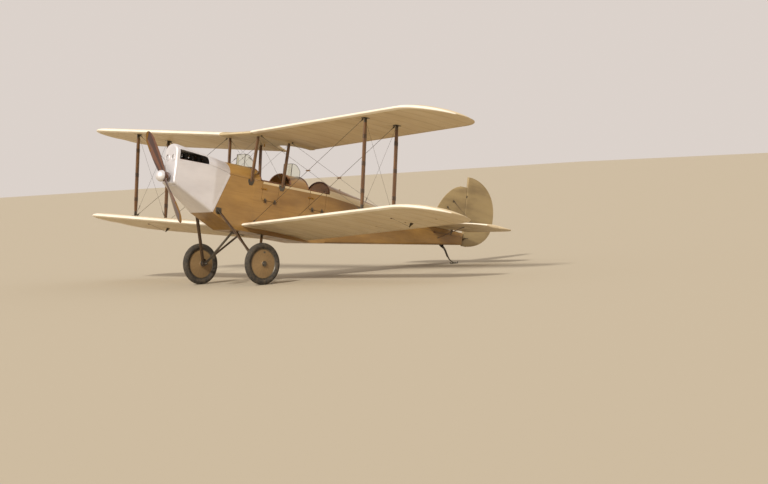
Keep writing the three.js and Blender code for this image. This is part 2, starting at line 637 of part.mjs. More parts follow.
// Fin and rudder, in rings one above the other
const FIN_BOTTOM = elevatorAxisZ + TAIL_THICKNESS / 2 + SEAT
const FIN_TOP = 1420
const RUDDER_NOSE = 20
const finBack = RUDDER_HINGE_Y - RUDDER_NOSE - CLEAR
function finRing(z) {
  const rise = Math.min((z - FIN_BOTTOM) / (FIN_TOP - FIN_BOTTOM), 0.985)
  const front = 4330 + (finBack - 60 - 4330) * (1 - Math.sqrt(1 - rise ** 2)) ** 0.8
  const middle = front + (finBack - front) * 0.35
  const right = [[front, 4], [middle, 15], [finBack, RUDDER_NOSE - 1]]
  return [...right, ...right.slice().reverse().map(([y, x]) => [y, -x])].map(([y, x]) => [x, y, z])
}
const finLevels = [0, 0.25, 0.5, 0.7, 0.85, 0.94, 0.985]
let fin = loft(finLevels.map((part) => finRing(FIN_BOTTOM + (FIN_TOP - FIN_BOTTOM) * part)))

const RUDDER_MIDDLE = 930
function rudderRing(z) {
  const half = z > RUDDER_MIDDLE ? RUDDER_TOP - RUDDER_MIDDLE : RUDDER_MIDDLE - RUDDER_BOTTOM
  const share = Math.min(Math.abs(z - RUDDER_MIDDLE) / half, 0.99)
  const back = RUDDER_HINGE_Y + (RUDDER_BACK - RUDDER_HINGE_Y) * Math.sqrt(1 - share ** 2.4)
  const nose = Array.from({ length: 7 }, (_, i) => {
    const angle = i / 6 * Math.PI
    return [RUDDER_HINGE_Y - Math.sin(angle) * RUDDER_NOSE, Math.cos(angle) * RUDDER_NOSE]
  })
  return [...nose, [back, -4], [back, 4]].map(([y, x]) => [x, y, z])
}
const rudderLevels = [
  ...[0.99, 0.95, 0.86, 0.7, 0.45].map((s) => RUDDER_MIDDLE - s * (RUDDER_MIDDLE - RUDDER_BOTTOM)),
  RUDDER_MIDDLE,
  ...[0.35, 0.6, 0.78, 0.9, 0.96, 0.99].map((s) => RUDDER_MIDDLE + s * (RUDDER_TOP - RUDDER_MIDDLE)),
]
let rudder = loft(rudderLevels.map(rudderRing))
const rudderHinges = [{ z: 500, on: 'stern' }, { z: 800, on: 'fin' }, { z: 1250, on: 'fin' }]
for (const { z, on } of rudderHinges) {
  const reach = RUDDER_HINGE_Y - (on === 'fin' ? finBack : STERN_Y) + 8
  const set = hinge([0, RUDDER_HINGE_Y, z], [0, 0, 1], [0, 1, 0], [0, -1, 0], reach)
  const slot = block([-60, RUDDER_HINGE_Y - 60, z - set.width / 2],
    [60, RUDDER_HINGE_Y + HINGE.barrel + 3, z + set.width / 2])
  rudder = join(cut(rudder, slot), common(set.moving, block([-50, 4900, 0], [50, RUDDER_HINGE_Y + 30, 2000])))
  if (on === 'fin') {
    fin = join(fin, set.fixed)
  } else {
    rearFuselage = join(rearFuselage, set.fixed)
  }
}
piece('fin', fin, TAIL_GREY)
piece('rudder', rudder, TAIL_GREY)
piece('rear_fuselage', rearFuselage, BROWN)

const tailStrut = cut(streamlined([62, 4420, 420], [820, 4380, 640], 34, 16, 10),
  moved(tailplane, 0, 0, -SEAT), moved(rearHull, SEAT, 0, 0))
pair('tailplane_strut', tailStrut, SPRUCE)

// Windscreens that stand on the decking
function windscreen(y) {
  const half = 200
  const plan = [[-half, y + 110], [-110, y], [110, y], [half, y + 110]]
  const back = plan.map(([x, ahead]) => [x * 0.985, ahead + 4]).reverse()
  const sheet = slabZ([...plan, ...back], 900, 1190)
  return cut(sheet, hull(y - 100, y + 250, -SEAT, 0))
}
piece('front_windscreen', windscreen(COCKPITS[0].from - 150), GLASS)
piece('rear_windscreen', windscreen(COCKPITS[1].from - 160), GLASS)

// Bucket seats on plain boxes
const floorAt = (y) => (y < 1500 ? FLOOR_Z : FLOOR_Z + 45 * (y - 1500) / (REAR_BULKHEAD_Y - 1500)) + FLOOR
const BUCKET = { half: 200, wall: 15, depth: 420, pan: 250, back: 710 }
function seat(back) {
  const low = (y) => [y, floorAt(y) + SEAT]
  const level = (height) => FLOOR_Z + FLOOR + height
  const front = back - BUCKET.depth
  const box = slabX([low(front), low(back), [back + 40, level(BUCKET.back)], [back + 15, level(BUCKET.back)],
    [back - 30, level(BUCKET.pan)], [front, level(BUCKET.pan)]], -BUCKET.half, BUCKET.half)
  const wall = [[front + 20, level(BUCKET.pan - 20)], [back + 5, level(BUCKET.pan - 20)],
    [back + 25, level(BUCKET.pan + 280)], [back - 250, level(BUCKET.pan + 170)],
    [front + 20, level(BUCKET.pan + 100)]]
  return join(box, ...[-BUCKET.half, BUCKET.half - BUCKET.wall].map((x) => slabX(wall, x, x + BUCKET.wall)))
}
piece('front_seat', seat(960), LEATHER)
piece('rear_seat', seat(1780), LEATHER)

// Cowling: one shell parted at its real joints
const cowl = shell(NOSE_Y + NOSE_CAP + SEAT, FIREWALL_Y - SEAT, COWL_SKIN)
const [nose, chin] = STATIONS
const SLOT_BACK = -620
const slotTop = [[NOSE_Y + NOSE_CAP, 1045], [SLOT_BACK, 1000]]
const slotBottom = [[NOSE_Y + NOSE_CAP, 890], [SLOT_BACK, 880]]
const topRegion = slabX([...slotTop, [SLOT_BACK, 880 + SEAT], [FIREWALL_Y + 20, 795 + SEAT],
  [FIREWALL_Y + 20, 1300], [NOSE_Y, 1300], [NOSE_Y, 1048]], -500, 500)
const chinPart = (y) => [y, chin.bottom + (nose.bottom - chin.bottom) * (chin.y - y) / (chin.y - nose.y)
  + CORNER + 5]
const sideRegion = slabX([...slotBottom, [FIREWALL_Y + 4, 795], [PANEL_EDGE[0][0] - SEAT - 1, LONGERON_Z],
  chinPart(chin.y - SEAT - 1), chinPart(NOSE_Y), [NOSE_Y, 891]], 60, 500)
const chinLow = (y) => [y, chinPart(y)[1] - 240]
const chinHigh = (y) => [y, chinPart(y)[1] - SEAT]
const chinRegion = slabX([chinLow(NOSE_Y), chinLow(chin.y), chinHigh(chin.y), chinHigh(NOSE_Y)], -500, 500)
const cowlSide = common(cowl, sideRegion)
piece('top_cowl', common(cowl, topRegion), ALUMINIUM)
pair('cowl_side', cowlSide, ALUMINIUM)
const behindChin = block([-400, chin.y - SEAT, -400], [400, 400, 400])
piece('cowl_bottom', common(cowl, cut(chinRegion, behindChin)), ALUMINIUM)

const noseCap = cut(hull(NOSE_Y, NOSE_Y + NOSE_CAP),
  hull(NOSE_Y + COWL_SKIN, NOSE_Y + NOSE_CAP + 5, COWL_SKIN),
  rod([0, NOSE_Y - 10, SHAFT_Z], [0, NOSE_Y + 20, SHAFT_Z], SHAFT_HOLE, 20))
piece('nose_cowl', noseCap, ALUMINIUM)

// Engine
const ENGINE = { half: 95, low: 560, high: 800, front: NOSE_Y + NOSE_CAP + 25, back: FIREWALL_Y - 110 }
const crankcase = join(
  block([-ENGINE.half, ENGINE.front, ENGINE.low], [ENGINE.half, ENGINE.back, ENGINE.high]),
  block([-BEARER.outer, ENGINE.front + 60, BEARER.high + SEAT],
    [BEARER.outer, ENGINE.back - 60, BEARER.high + 16]),
  rod([0, ENGINE.front + 10, SHAFT_Z], [0, PROPELLER_Y + 60 + SEAT, SHAFT_Z], 30, 24))
piece('engine_crankcase', crankcase, IRON)

const CYLINDER = { count: 4, first: -1035, pitch: 132, radius: 54, top: 1005, sides: 12 }
const cylinderY = Array.from({ length: CYLINDER.count }, (_, i) => CYLINDER.first + i * CYLINDER.pitch)
const upright = (y, low, high, radius) => rod([0, y, low], [0, y, high], radius, CYLINDER.sides)
const cylinders = cylinderY.map((y) => upright(y, ENGINE.high + 4, CYLINDER.top + 4, CYLINDER.radius))
const bankFront = CYLINDER.first - CYLINDER.radius
const bankBack = cylinderY.at(-1) + CYLINDER.radius
piece('cylinder_bank', join(...cylinders,
  block([-60, bankFront, ENGINE.high + SEAT], [60, bankBack, ENGINE.high + 14]),
  block([-30, bankFront + 15, CYLINDER.top], [30, bankBack - 15, CYLINDER.top + 22])), IRON)

// Exhaust on the starboard side: one pipe that gathers four stubs and runs down outside the cowling
const EXHAUST = { radius: 24, stub: 16, z: 945, x: -118 }
const exhaustRoute = [
  [EXHAUST.x, -800, EXHAUST.z], [-200, -800, EXHAUST.z], [-275, -785, 935], [-318, -740, 890],
  [-340, -640, 760], [-348, -500, 560], [-348, -380, 380], [-348, -250, 265], [-348, -90, 200],
].map((point) => new THREE.Vector3(...point))
const pipePath = new THREE.CatmullRomCurve3(exhaustRoute, false, 'centripetal')
const circle = new THREE.Shape().absarc(0, 0, EXHAUST.radius, 0, 2 * Math.PI)
const pipe = new THREE.ExtrudeGeometry(circle, {
  steps: 16, curveSegments: 4, extrudePath: pipePath, bevelEnabled: false,
})
const beside = (x, y) => [x, y, EXHAUST.z]
const gallery = rod(beside(EXHAUST.x, bankFront + 10), beside(EXHAUST.x, bankBack), EXHAUST.radius + 1, 8)
const stubs = cylinderY.map((y) => rod(beside(2 - CYLINDER.radius, y), beside(EXHAUST.x, y), EXHAUST.stub, 8))
const ports = cylinderY.map((y) => upright(y, 850, 1100, CYLINDER.radius + SEAT))
piece('exhaust_pipe', cut(join(pipe, gallery, ...stubs), ...ports), IRON)

// Propeller, carved in one piece
const BLADE = {
  root: 70, rootChord: 105, chord: 165, rootThickness: 62, tipThickness: 9, pitch: 1300, sides: 10,
}
function bladeRing(radius) {
  const out = Math.max((radius - BLADE.root) / (PROPELLER_RADIUS - BLADE.root), 0)
  const swell = Math.sin(Math.PI * Math.min(out / 0.62, 1) / 2)
  const closing = out > 0.75 ? Math.sqrt(Math.max(1 - ((out - 0.75) / 0.26) ** 2, 0.02)) : 1
  const chord = (BLADE.rootChord + (BLADE.chord - BLADE.rootChord) * swell) * closing
  const thickness = BLADE.rootThickness + (BLADE.tipThickness - BLADE.rootThickness) * Math.sqrt(out)
  const angle = Math.atan(BLADE.pitch / (2 * Math.PI * Math.max(radius, 200)))
  return Array.from({ length: BLADE.sides }, (_, i) => {
    const turn = (i / BLADE.sides) * 2 * Math.PI
    const [u, v] = [Math.cos(turn) * chord / 2, Math.sin(turn) * thickness / 2]
    return [u * Math.cos(angle) - v * Math.sin(angle), u * Math.sin(angle) + v * Math.cos(angle), radius]
  })
}
const blade = loft([0, 0.1, 0.3, 0.5, 0.65, 0.8, 0.9, 0.96, 1].map((part) => bladeRing(
  BLADE.root - 40 + (PROPELLER_RADIUS - BLADE.root + 40) * part)))
const otherBlade = blade.clone().rotateY(Math.PI)
const BOSS = { radius: 82, front: -46, back: 60 }
const boss = rod([0, BOSS.back, 0], [0, BOSS.front, 0], BOSS.radius, 20)
const propeller = join(blade, otherBlade, boss).rotateY(PROPELLER_REST).translate(0, PROPELLER_Y, SHAFT_Z)
piece('propeller', propeller, PROPELLER_WOOD)

// Spinner: a spun cap on the front of the boss, as [radius, distance ahead of the boss]
const SPINNER = [[92, 0], [92, 8], [88, 30], [76, 56], [56, 78], [30, 92], [8, 96]]
const SPINNER_SIDES = 28
const spinner = loft(SPINNER.map(([radius, ahead]) => Array.from({ length: SPINNER_SIDES }, (_, i) => {
  const turn = (i / SPINNER_SIDES) * 2 * Math.PI
  return [Math.cos(turn) * radius, PROPELLER_Y + BOSS.front - SEAT - ahead, SHAFT_Z + Math.sin(turn) * radius]
})))
piece('propeller_spinner', spinner, ALUMINIUM)

// Undercarriage: a vee of legs each side, and two half axles that meet under the fuselage
const COLLAR = { from: 742, to: 782, radius: 34 }
const hub = [COLLAR.from + 20, AXLE_Y, AXLE_Z]
const collar = rod([COLLAR.from, AXLE_Y, AXLE_Z], [COLLAR.to, AXLE_Y, AXLE_Z], COLLAR.radius, 24)
const onAxle = (x) => [x, AXLE_Y, AXLE_Z]
const collarBore = rod(onAxle(COLLAR.from - 40), onAxle(COLLAR.to + 1), AXLE_RADIUS + BEARING, 24)
const besideFuselage = block([0, -700, -400], [FUSELAGE_HALF + SEAT, 100, 600])
const aboveFloor = block([0, 300, FLOOR_Z - SEAT], [600, 900, 200])
const frontLeg = cut(streamlined([285, -385, 215], hub, 64, 34), besideFuselage)
const rearLeg = cut(streamlined([262, 575, -20], hub, 52, 26), aboveFloor)
pair('undercarriage_vee', cut(join(frontLeg, rearLeg, collar), collarBore), SPRUCE)
const halfAxle = cut(join(
  rod([45, AXLE_Y, FLOOR_Z + 20], [COLLAR.from - 52, AXLE_Y, AXLE_Z + 8], 19, 16),
  rod([COLLAR.from - 64, AXLE_Y, AXLE_Z], [TRACK_HALF + 78, AXLE_Y, AXLE_Z], AXLE_RADIUS, 24)),
block([-100, 0, FLOOR_Z - SEAT], [500, 500, 100]))
pair('half_axle', halfAxle, STEEL)

// Wheels: covered discs on the axle, and the tyres round them
const RIM = 240
const WHEEL_TURNS = 28
const HUB_RADIUS = 50
const HUB_HALF = 58
const wheelHalf = [[RIM, 30], [RIM - 8, 22], [HUB_RADIUS, 46], [HUB_RADIUS, HUB_HALF],
  [AXLE_RADIUS + BEARING, HUB_HALF]]
const wheelProfile = [...wheelHalf, ...wheelHalf.map(([r, w]) => [r, -w]).reverse(), wheelHalf[0]]
const lathed = (profile) =>
  new THREE.LatheGeometry(profile.map(([r, w]) => new THREE.Vector2(r, w)), WHEEL_TURNS)
    .rotateZ(-Math.PI / 2).translate(TRACK_HALF, AXLE_Y, AXLE_Z)
const tyreCentre = TYRE_RADIUS - TYRE_HALF_WIDTH
const TYRE_STEPS = 7
const tyreRound = Array.from({ length: TYRE_STEPS + 1 }, (_, i) => {
  const angle = rad(-118 + 236 * i / TYRE_STEPS)
  return [tyreCentre + Math.cos(angle) * TYRE_HALF_WIDTH, Math.sin(angle) * TYRE_HALF_WIDTH]
})
const bead = [[RIM + SEAT, 30], [RIM + SEAT, -30]]
pair('wheel', lathed(wheelProfile), ALUMINIUM)
pair('tyre', lathed([...tyreRound, ...bead, tyreRound[0]]), RUBBER)

// Tail skid: a leaf that reaches the ground with its shoe flat on it
const groundZ = (y) => AXLE_Z + (y - AXLE_Y) * Math.tan(PARKED_PITCH) - TYRE_RADIUS / Math.cos(PARKED_PITCH)
const SKID = { y: 4940, width: 46 }
const shoeZ = groundZ(SKID.y)
const shoe = block([-SKID.width / 2, -90, 0], [SKID.width / 2, 90, 12])
  .rotateX(PARKED_PITCH).translate(0, SKID.y, shoeZ)
const leaf = slabX([[4500, 400], [4560, 400], [4700, 300], [SKID.y + 40, shoeZ + 30],
  [SKID.y + 30, shoeZ + 8], [SKID.y - 40, shoeZ - 4], [4660, 262]], -17, 17)
const skid = cut(join(leaf, shoe), moved(rearHull, 0, 0, -SEAT))
piece('tail_skid', skid, STEEL)

// Tips the airframe onto its wheels and skid, and puts its box over the origin
airframe.rotation.x = -PARKED_PITCH
airframe.updateMatrixWorld(true)
const box = new THREE.Box3().setFromObject(airframe, true)
const centre = box.getCenter(new THREE.Vector3())
airframe.position.set(-centre.x, -centre.y, -box.min.z)

const group = new THREE.Group()
group.add(airframe)

export default group
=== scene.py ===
# The looks of a two-seat light biplane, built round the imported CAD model.
# Lengths in this file are millimetres in the flying attitude, as in the CAD source: the nose points to
# -Y, +X is port, +Z is up. FLIGHT turns them into metres in the parked frame.

import json
import math

import bmesh
import bpy
from mathutils import Matrix, Vector


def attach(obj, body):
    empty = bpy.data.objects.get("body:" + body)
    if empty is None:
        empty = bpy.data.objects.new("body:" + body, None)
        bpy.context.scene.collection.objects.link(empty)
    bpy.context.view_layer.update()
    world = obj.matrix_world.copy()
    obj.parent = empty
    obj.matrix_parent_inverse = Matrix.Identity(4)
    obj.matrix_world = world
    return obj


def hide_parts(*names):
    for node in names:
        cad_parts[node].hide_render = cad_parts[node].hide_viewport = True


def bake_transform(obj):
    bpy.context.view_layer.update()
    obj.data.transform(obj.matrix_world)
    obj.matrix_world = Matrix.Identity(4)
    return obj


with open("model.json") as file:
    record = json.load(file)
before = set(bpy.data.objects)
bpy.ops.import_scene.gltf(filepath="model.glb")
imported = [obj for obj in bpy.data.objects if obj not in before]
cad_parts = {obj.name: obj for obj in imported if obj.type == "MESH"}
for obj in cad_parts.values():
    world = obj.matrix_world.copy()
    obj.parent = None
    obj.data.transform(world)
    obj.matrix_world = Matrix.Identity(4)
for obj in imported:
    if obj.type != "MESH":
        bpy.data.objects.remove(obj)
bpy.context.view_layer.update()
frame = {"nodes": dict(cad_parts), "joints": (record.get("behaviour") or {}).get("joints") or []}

PARKED_PITCH = math.radians(12)
TRACK_HALF, AXLE_Y, AXLE_Z = 850, 215, -600
WHEEL_CENTRE = Vector((TRACK_HALF, AXLE_Y, AXLE_Z))
wheel_joint = next(j for j in frame["joints"] if j["name"] == "wheel_port_spin")
tipped = Matrix.Rotation(-PARKED_PITCH, 4, "X") @ Matrix.Scale(0.001, 4)
FLIGHT = Matrix.Translation(Vector(wheel_joint["pos_m"]) - tipped @ WHEEL_CENTRE) @ tipped

# Camera

CAMERA_AIM = Vector((1.5669, -0.2518, 0.5493))
CAMERA_DISTANCE = 40.42
CAMERA_AZIMUTH, CAMERA_ELEVATION, CAMERA_ROLL = (math.radians(a) for a in (50.652, 2.038, -3.180))
CAMERA_LENS, SENSOR_WIDTH, CLIP_END = 117.448, 36, 400


def make_camera():
    level = math.cos(CAMERA_ELEVATION)
    back = Vector((math.sin(CAMERA_AZIMUTH) * level, -math.cos(CAMERA_AZIMUTH) * level,
                   math.sin(CAMERA_ELEVATION)))
    right = Vector((math.cos(CAMERA_AZIMUTH), math.sin(CAMERA_AZIMUTH), 0))
    up = back.cross(right)
    tilted = right * math.cos(CAMERA_ROLL) + up * math.sin(CAMERA_ROLL)
    data = bpy.data.cameras.new("camera")
    data.lens = CAMERA_LENS
    data.sensor_width = SENSOR_WIDTH
    data.clip_end = CLIP_END
    camera = bpy.data.objects.new("camera", data)
    turn = Matrix((tilted, back.cross(tilted), back)).transposed()
    camera.matrix_world = Matrix.Translation(CAMERA_AIM + back * CAMERA_DISTANCE) @ turn.to_4x4()
    bpy.context.scene.collection.objects.link(camera)
    bpy.context.scene.camera = camera


make_camera()


# Materials

class Look:
    """A procedural material, and the record's slot that it stands for."""

    def __init__(self, name, slot, roughness, metallic=0.0, **sockets):
        self.slot = slot
        self.material = bpy.data.materials.new(name)
        self.material.use_nodes = True
        self.tree = self.material.node_tree
        self.shader = self.tree.nodes["Principled BSDF"]
        self.shader.inputs["Roughness"].default_value = roughness
        self.shader.inputs["Metallic"].default_value = metallic
        for socket, value in sockets.items():
            self.shader.inputs[socket.replace("_", " ").title()].default_value = value
        place = self.node("ShaderNodeMapping", Vector=self.node("ShaderNodeTexCoord").outputs["Object"])
        place.inputs["Rotation"].default_value[0] = PARKED_PITCH
        self.where = place.outputs[0]

    def node(self, kind, settings=(), **inputs):
        made = self.tree.nodes.new(kind)
        for key, value in dict(settings).items():
            setattr(made, key, value)
        for key, value in inputs.items():
            socket = made.inputs[int(key[1:])] if key[0] == "i" and key[1:].isdigit() else made.inputs[key]
            if isinstance(value, bpy.types.NodeSocket):
                self.tree.links.new(value, socket)
            else:
                socket.default_value = value
        return made

    def stretched(self, stretch):
        return self.node("ShaderNodeMapping", Vector=self.where, Scale=stretch).outputs[0]

    def noise(self, scale, detail=3.0, stretch=(1, 1, 1), rough=0.55):
        made = self.node("ShaderNodeTexNoise", Vector=self.stretched(stretch), Scale=scale,
                         Detail=detail, Roughness=rough)
        return made.outputs["Fac"]

    def bands(self, scale, direction, distortion=0.0, stretch=(1, 1, 1)):
        made = self.node("ShaderNodeTexWave", {"bands_direction": direction},
                         Vector=self.stretched(stretch), Scale=scale, Distortion=distortion)
        made.inputs["Detail"].default_value = 2
        made.inputs["Detail Scale"].default_value = 1.5
        return made.outputs["Fac"]

    def cells(self, scale, feature="F1", stretch=(1, 1, 1)):
        made = self.node("ShaderNodeTexVoronoi", {"feature": feature}, Vector=self.stretched(stretch),
                         Scale=scale)
        return made.outputs["Distance"]

    def axis(self, name):
        return self.node("ShaderNodeSeparateXYZ", Vector=self.where).outputs[name]

    def between(self, value, low, high, to_low=0.0, to_high=1.0):
        made = self.node("ShaderNodeMapRange", {"interpolation_type": "SMOOTHSTEP"}, Value=value)
        for key, number in (("From Min", low), ("From Max", high), ("To Min", to_low), ("To Max", to_high)):
            made.inputs[key].default_value = number
        return made.outputs[0]

    def math(self, operation, a, b=0.0):
        return self.node("ShaderNodeMath", {"operation": operation}, i0=a, i1=b).outputs[0]

    def mix(self, share, a, b):
        return self.node("ShaderNodeMixRGB", Fac=share, Color1=a, Color2=b).outputs[0]

    def colour(self, socket):
        self.tree.links.new(socket, self.shader.inputs["Base Color"])

    def roughness(self, socket):
        self.tree.links.new(socket, self.shader.inputs["Roughness"])

    def bump(self, *layers):
        """Each layer is a height from 0 to 1, its depth in metres and its strength."""
        normal = None
        for height, depth, strength in layers:
            made = self.node("ShaderNodeBump", Height=height, Distance=depth, Strength=strength)
            if normal:
                self.tree.links.new(normal, made.inputs["Normal"])
            normal = made.outputs[0]
        self.tree.links.new(normal, self.shader.inputs["Normal"])


def tone(red, green, blue):
    """An sRGB colour in 0 to 255 as linear light."""
    def linear(value):
        value /= 255
        return value / 12.92 if value <= 0.04045 else ((value + 0.055) / 1.055) ** 2.4
    return (linear(red), linear(green), linear(blue), 1.0)


def linen_look(name, slot, light, dark, soot):
    look = Look(name, slot, 0.5, coat_weight=0.12, coat_roughness=0.35)
    brush = look.between(look.noise(3.2, 5, (1.0, 0.22, 1.0)), 0.3, 0.72)
    cloud = look.between(look.noise(1.1, 4), 0.35, 0.68)
    cloth = look.mix(look.math("MULTIPLY", brush, 0.55), light, dark)
    cloth = look.mix(look.math("MULTIPLY", cloud, 0.3), cloth, dark)
    fine = look.between(look.noise(260, 2), 0.3, 0.7, 0.0, 0.12)
    cloth = look.mix(fine, cloth, dark)
    near = look.between(look.math("ABSOLUTE", look.axis("X")), 0.3, 1.25, 1.0, 0.0)
    stain = look.math("MULTIPLY", near, look.between(look.noise(4.5, 5, (1, 0.3, 1)), 0.42, 0.75))
    look.colour(look.mix(look.math("MULTIPLY", stain, 0.55), cloth, soot))
    look.roughness(look.between(look.noise(7, 4, (1, 0.4, 1)), 0.3, 0.7, 0.4, 0.62))
    weave = look.math("MAXIMUM", look.bands(210, "X"), look.bands(210, "Y"))
    look.bump((look.noise(1.7, 3, (1, 0.6, 1)), 0.006, 0.25), (weave, 0.0003, 0.25))
    return look


def painted_ply(name, slot, light, dark, roughness, coat):
    look = Look(name, slot, roughness, coat_weight=coat, coat_roughness=0.22)
    grain = look.noise(34, 6, (1.0, 0.06, 1.0), 0.65)
    figure = look.between(look.noise(2.1, 5, (1, 0.35, 1)), 0.32, 0.7)
    paint = look.mix(figure, light, dark)
    paint = look.mix(look.between(grain, 0.42, 0.75, 0.0, 0.45), paint, dark)
    wear = look.between(look.noise(19, 8, (1, 0.5, 1), 0.7), 0.66, 0.72, 0.0, 0.5)
    dust = look.between(look.noise(1.3, 4), 0.4, 0.8, 0.0, 0.22)
    paint = look.mix(dust, paint, tone(150, 122, 84))
    look.colour(look.mix(wear, paint, light))
    look.roughness(look.between(look.noise(6, 5), 0.3, 0.75, roughness - 0.08, roughness + 0.16))
    look.bump((grain, 0.0006, 0.35), (look.noise(3.4, 3), 0.003, 0.18))
    return look


def strut_look(name, slot, light, dark):
    look = Look(name, slot, 0.38, coat_weight=0.35, coat_roughness=0.2)
    grain = look.noise(60, 6, (1.0, 1.0, 0.05), 0.6)
    wood = look.mix(look.between(grain, 0.35, 0.7), light, dark)
    ring = look.bands(9, "Y", 5.0, (1, 1, 0.12))
    look.colour(look.mix(look.math("MULTIPLY", ring, 0.35), wood, dark))
    look.roughness(look.between(look.noise(8, 4), 0.3, 0.7, 0.3, 0.5))
    look.bump((grain, 0.0005, 0.3))
    return look


def metal_look(name, slot, light, dark, roughness, metallic, polish=0.0, grime=0.3, grime_tone=None):
    look = Look(name, slot, roughness, metallic)
    cloud = look.between(look.noise(1.9, 3, (1, 0.5, 1)), 0.3, 0.72)
    metal = look.mix(cloud, light, dark)
    streak = look.between(look.noise(9, 6, (1, 0.2, 1), 0.6), 0.5, 0.85, 0.0, grime)
    look.colour(look.mix(streak, metal, grime_tone or dark))
    swirl = look.cells(24)
    satin = look.between(look.noise(26, 5, (1, 0.12, 1)), 0.25, 0.75, roughness - 0.06, roughness + 0.1)
    look.roughness(look.math("ADD", satin, look.math("MULTIPLY", swirl, polish)))
    look.bump((look.noise(1.6, 2), 0.003, 0.12), (look.noise(190, 3, (1, 0.3, 1)), 0.0002, 0.2))
    return look


def rubber_look(name, slot, dark, dusty):
    look = Look(name, slot, 0.82)
    dust = look.between(look.noise(22, 7, rough=0.7), 0.38, 0.72, 0.08, 0.6)
    look.colour(look.mix(dust, dark, dusty))
    look.bump((look.noise(240, 4), 0.0008, 0.4), (look.cells(70, "DISTANCE_TO_EDGE"), 0.0006, 0.2))
    return look


def cast_look(name, slot, light, dark):
    look = Look(name, slot, 0.55, 0.35)
    look.colour(look.mix(look.between(look.noise(24, 6), 0.3, 0.7), light, dark))
    look.roughness(look.between(look.noise(11, 5), 0.35, 0.65, 0.34, 0.7))
    look.bump((look.noise(420, 3), 0.0006, 0.5))
    return look


def leather_look(name, slot, light, dark):
    look = Look(name, slot, 0.48, coat_weight=0.1, coat_roughness=0.4)
    worn = look.between(look.noise(13, 6), 0.35, 0.7)
    hide = look.mix(worn, light, dark)
    grain = look.cells(420)
    look.colour(look.mix(look.between(grain, 0.0, 0.3, 0.4, 0.0), hide, dark))
    look.roughness(look.between(worn, 0, 1, 0.38, 0.6))
    look.bump((grain, 0.0007, 0.5), (look.noise(35, 5, rough=0.7), 0.003, 0.3))
    return look


def lamination_look(name, slot, light, dark):
    look = Look(name, slot, 0.26, coat_weight=0.8, coat_roughness=0.08)
    plank = look.between(look.bands(7.2, "Y", 0.35), 0.42, 0.58)
    wood = look.mix(plank, light, dark)
    grain = look.noise(70, 6, (1, 1, 0.05), 0.6)
    look.colour(look.mix(look.between(grain, 0.35, 0.75, 0.0, 0.5), wood, dark))
    look.bump((grain, 0.0003, 0.2))
    return look


def cloth_look(name, slot, light, dark):
    look = Look(name, slot, 0.85, sheen_weight=0.3)
    weave = look.math("MAXIMUM", look.bands(420, "X", 0.4), look.bands(420, "Z", 0.4))
    worn = look.between(look.noise(14, 5), 0.3, 0.7)
    look.colour(look.mix(worn, light, dark))
    look.bump((weave, 0.0008, 0.5), (look.noise(30, 4), 0.002, 0.3))
    return look


def glass_look(name, slot):
    look = Look(name, slot, 0.04, transmission_weight=1.0)
    look.shader.inputs["Base Color"].default_value = tone(240, 240, 226)
    look.roughness(look.between(look.noise(9, 5, (1, 1, 0.3)), 0.45, 0.8, 0.015, 0.16))
    return look


LINEN = linen_look("doped_linen", "doped_linen", tone(222, 204, 170), tone(196, 174, 134),
                   tone(112, 86, 52))
TAPE = linen_look("linen_tape", "doped_linen", tone(214, 195, 158), tone(184, 161, 120),
                  tone(104, 80, 48))
# The nose tapes are lighter than the other tapes: painted highlight, standing in for the sunlit leading edges
# of the wings and the tailplane.
HIGHLIGHT_NOSE_TAPE = linen_look("edge_tape", "doped_linen", tone(248, 240, 222), tone(232, 218, 192),
                  tone(150, 122, 86))
# The fin and rudder take a darker tone of the linen than the wings.
TAIL = linen_look("tail_dope", "tail_dope", tone(168, 146, 103), tone(138, 118, 80), tone(92, 74, 48))
TANK = metal_look("tank_paint", "tank_metal", tone(214, 195, 156), tone(188, 167, 126), 0.45, 0.12,
                  grime=0.4, grime_tone=tone(104, 80, 48))
PLY = painted_ply("brown_plywood", "brown_plywood", tone(172, 132, 68), tone(130, 94, 44), 0.36, 0.4)
VARNISHED = painted_ply("varnished_plywood", "brown_plywood", tone(176, 128, 74), tone(128, 84, 44),
                        0.42, 0.3)
# The band along the top longeron: cream paint, and partly painted highlight standing in for the sheen along
# the shoulder of the decking.
TRIM_AND_SHEEN = painted_ply("cream_trim_and_sheen", "brown_plywood", tone(232, 214, 174), tone(202, 180, 138), 0.36, 0.4)
SPRUCE = strut_look("dark_spruce", "dark_spruce", tone(120, 85, 50), tone(76, 50, 28))
GEAR = strut_look("gear_paint", "gear_paint", tone(84, 60, 36), tone(52, 36, 22))
COWL = metal_look("cowl_aluminium", "cowl_aluminium", tone(236, 232, 231), tone(218, 214, 214), 0.42,
                  0.6, polish=0.08, grime=0.12, grime_tone=tone(150, 132, 106))
SKIN_INSIDE = metal_look("cowl_inside", "cowl_aluminium", tone(120, 112, 98), tone(88, 80, 66), 0.6, 0.4)
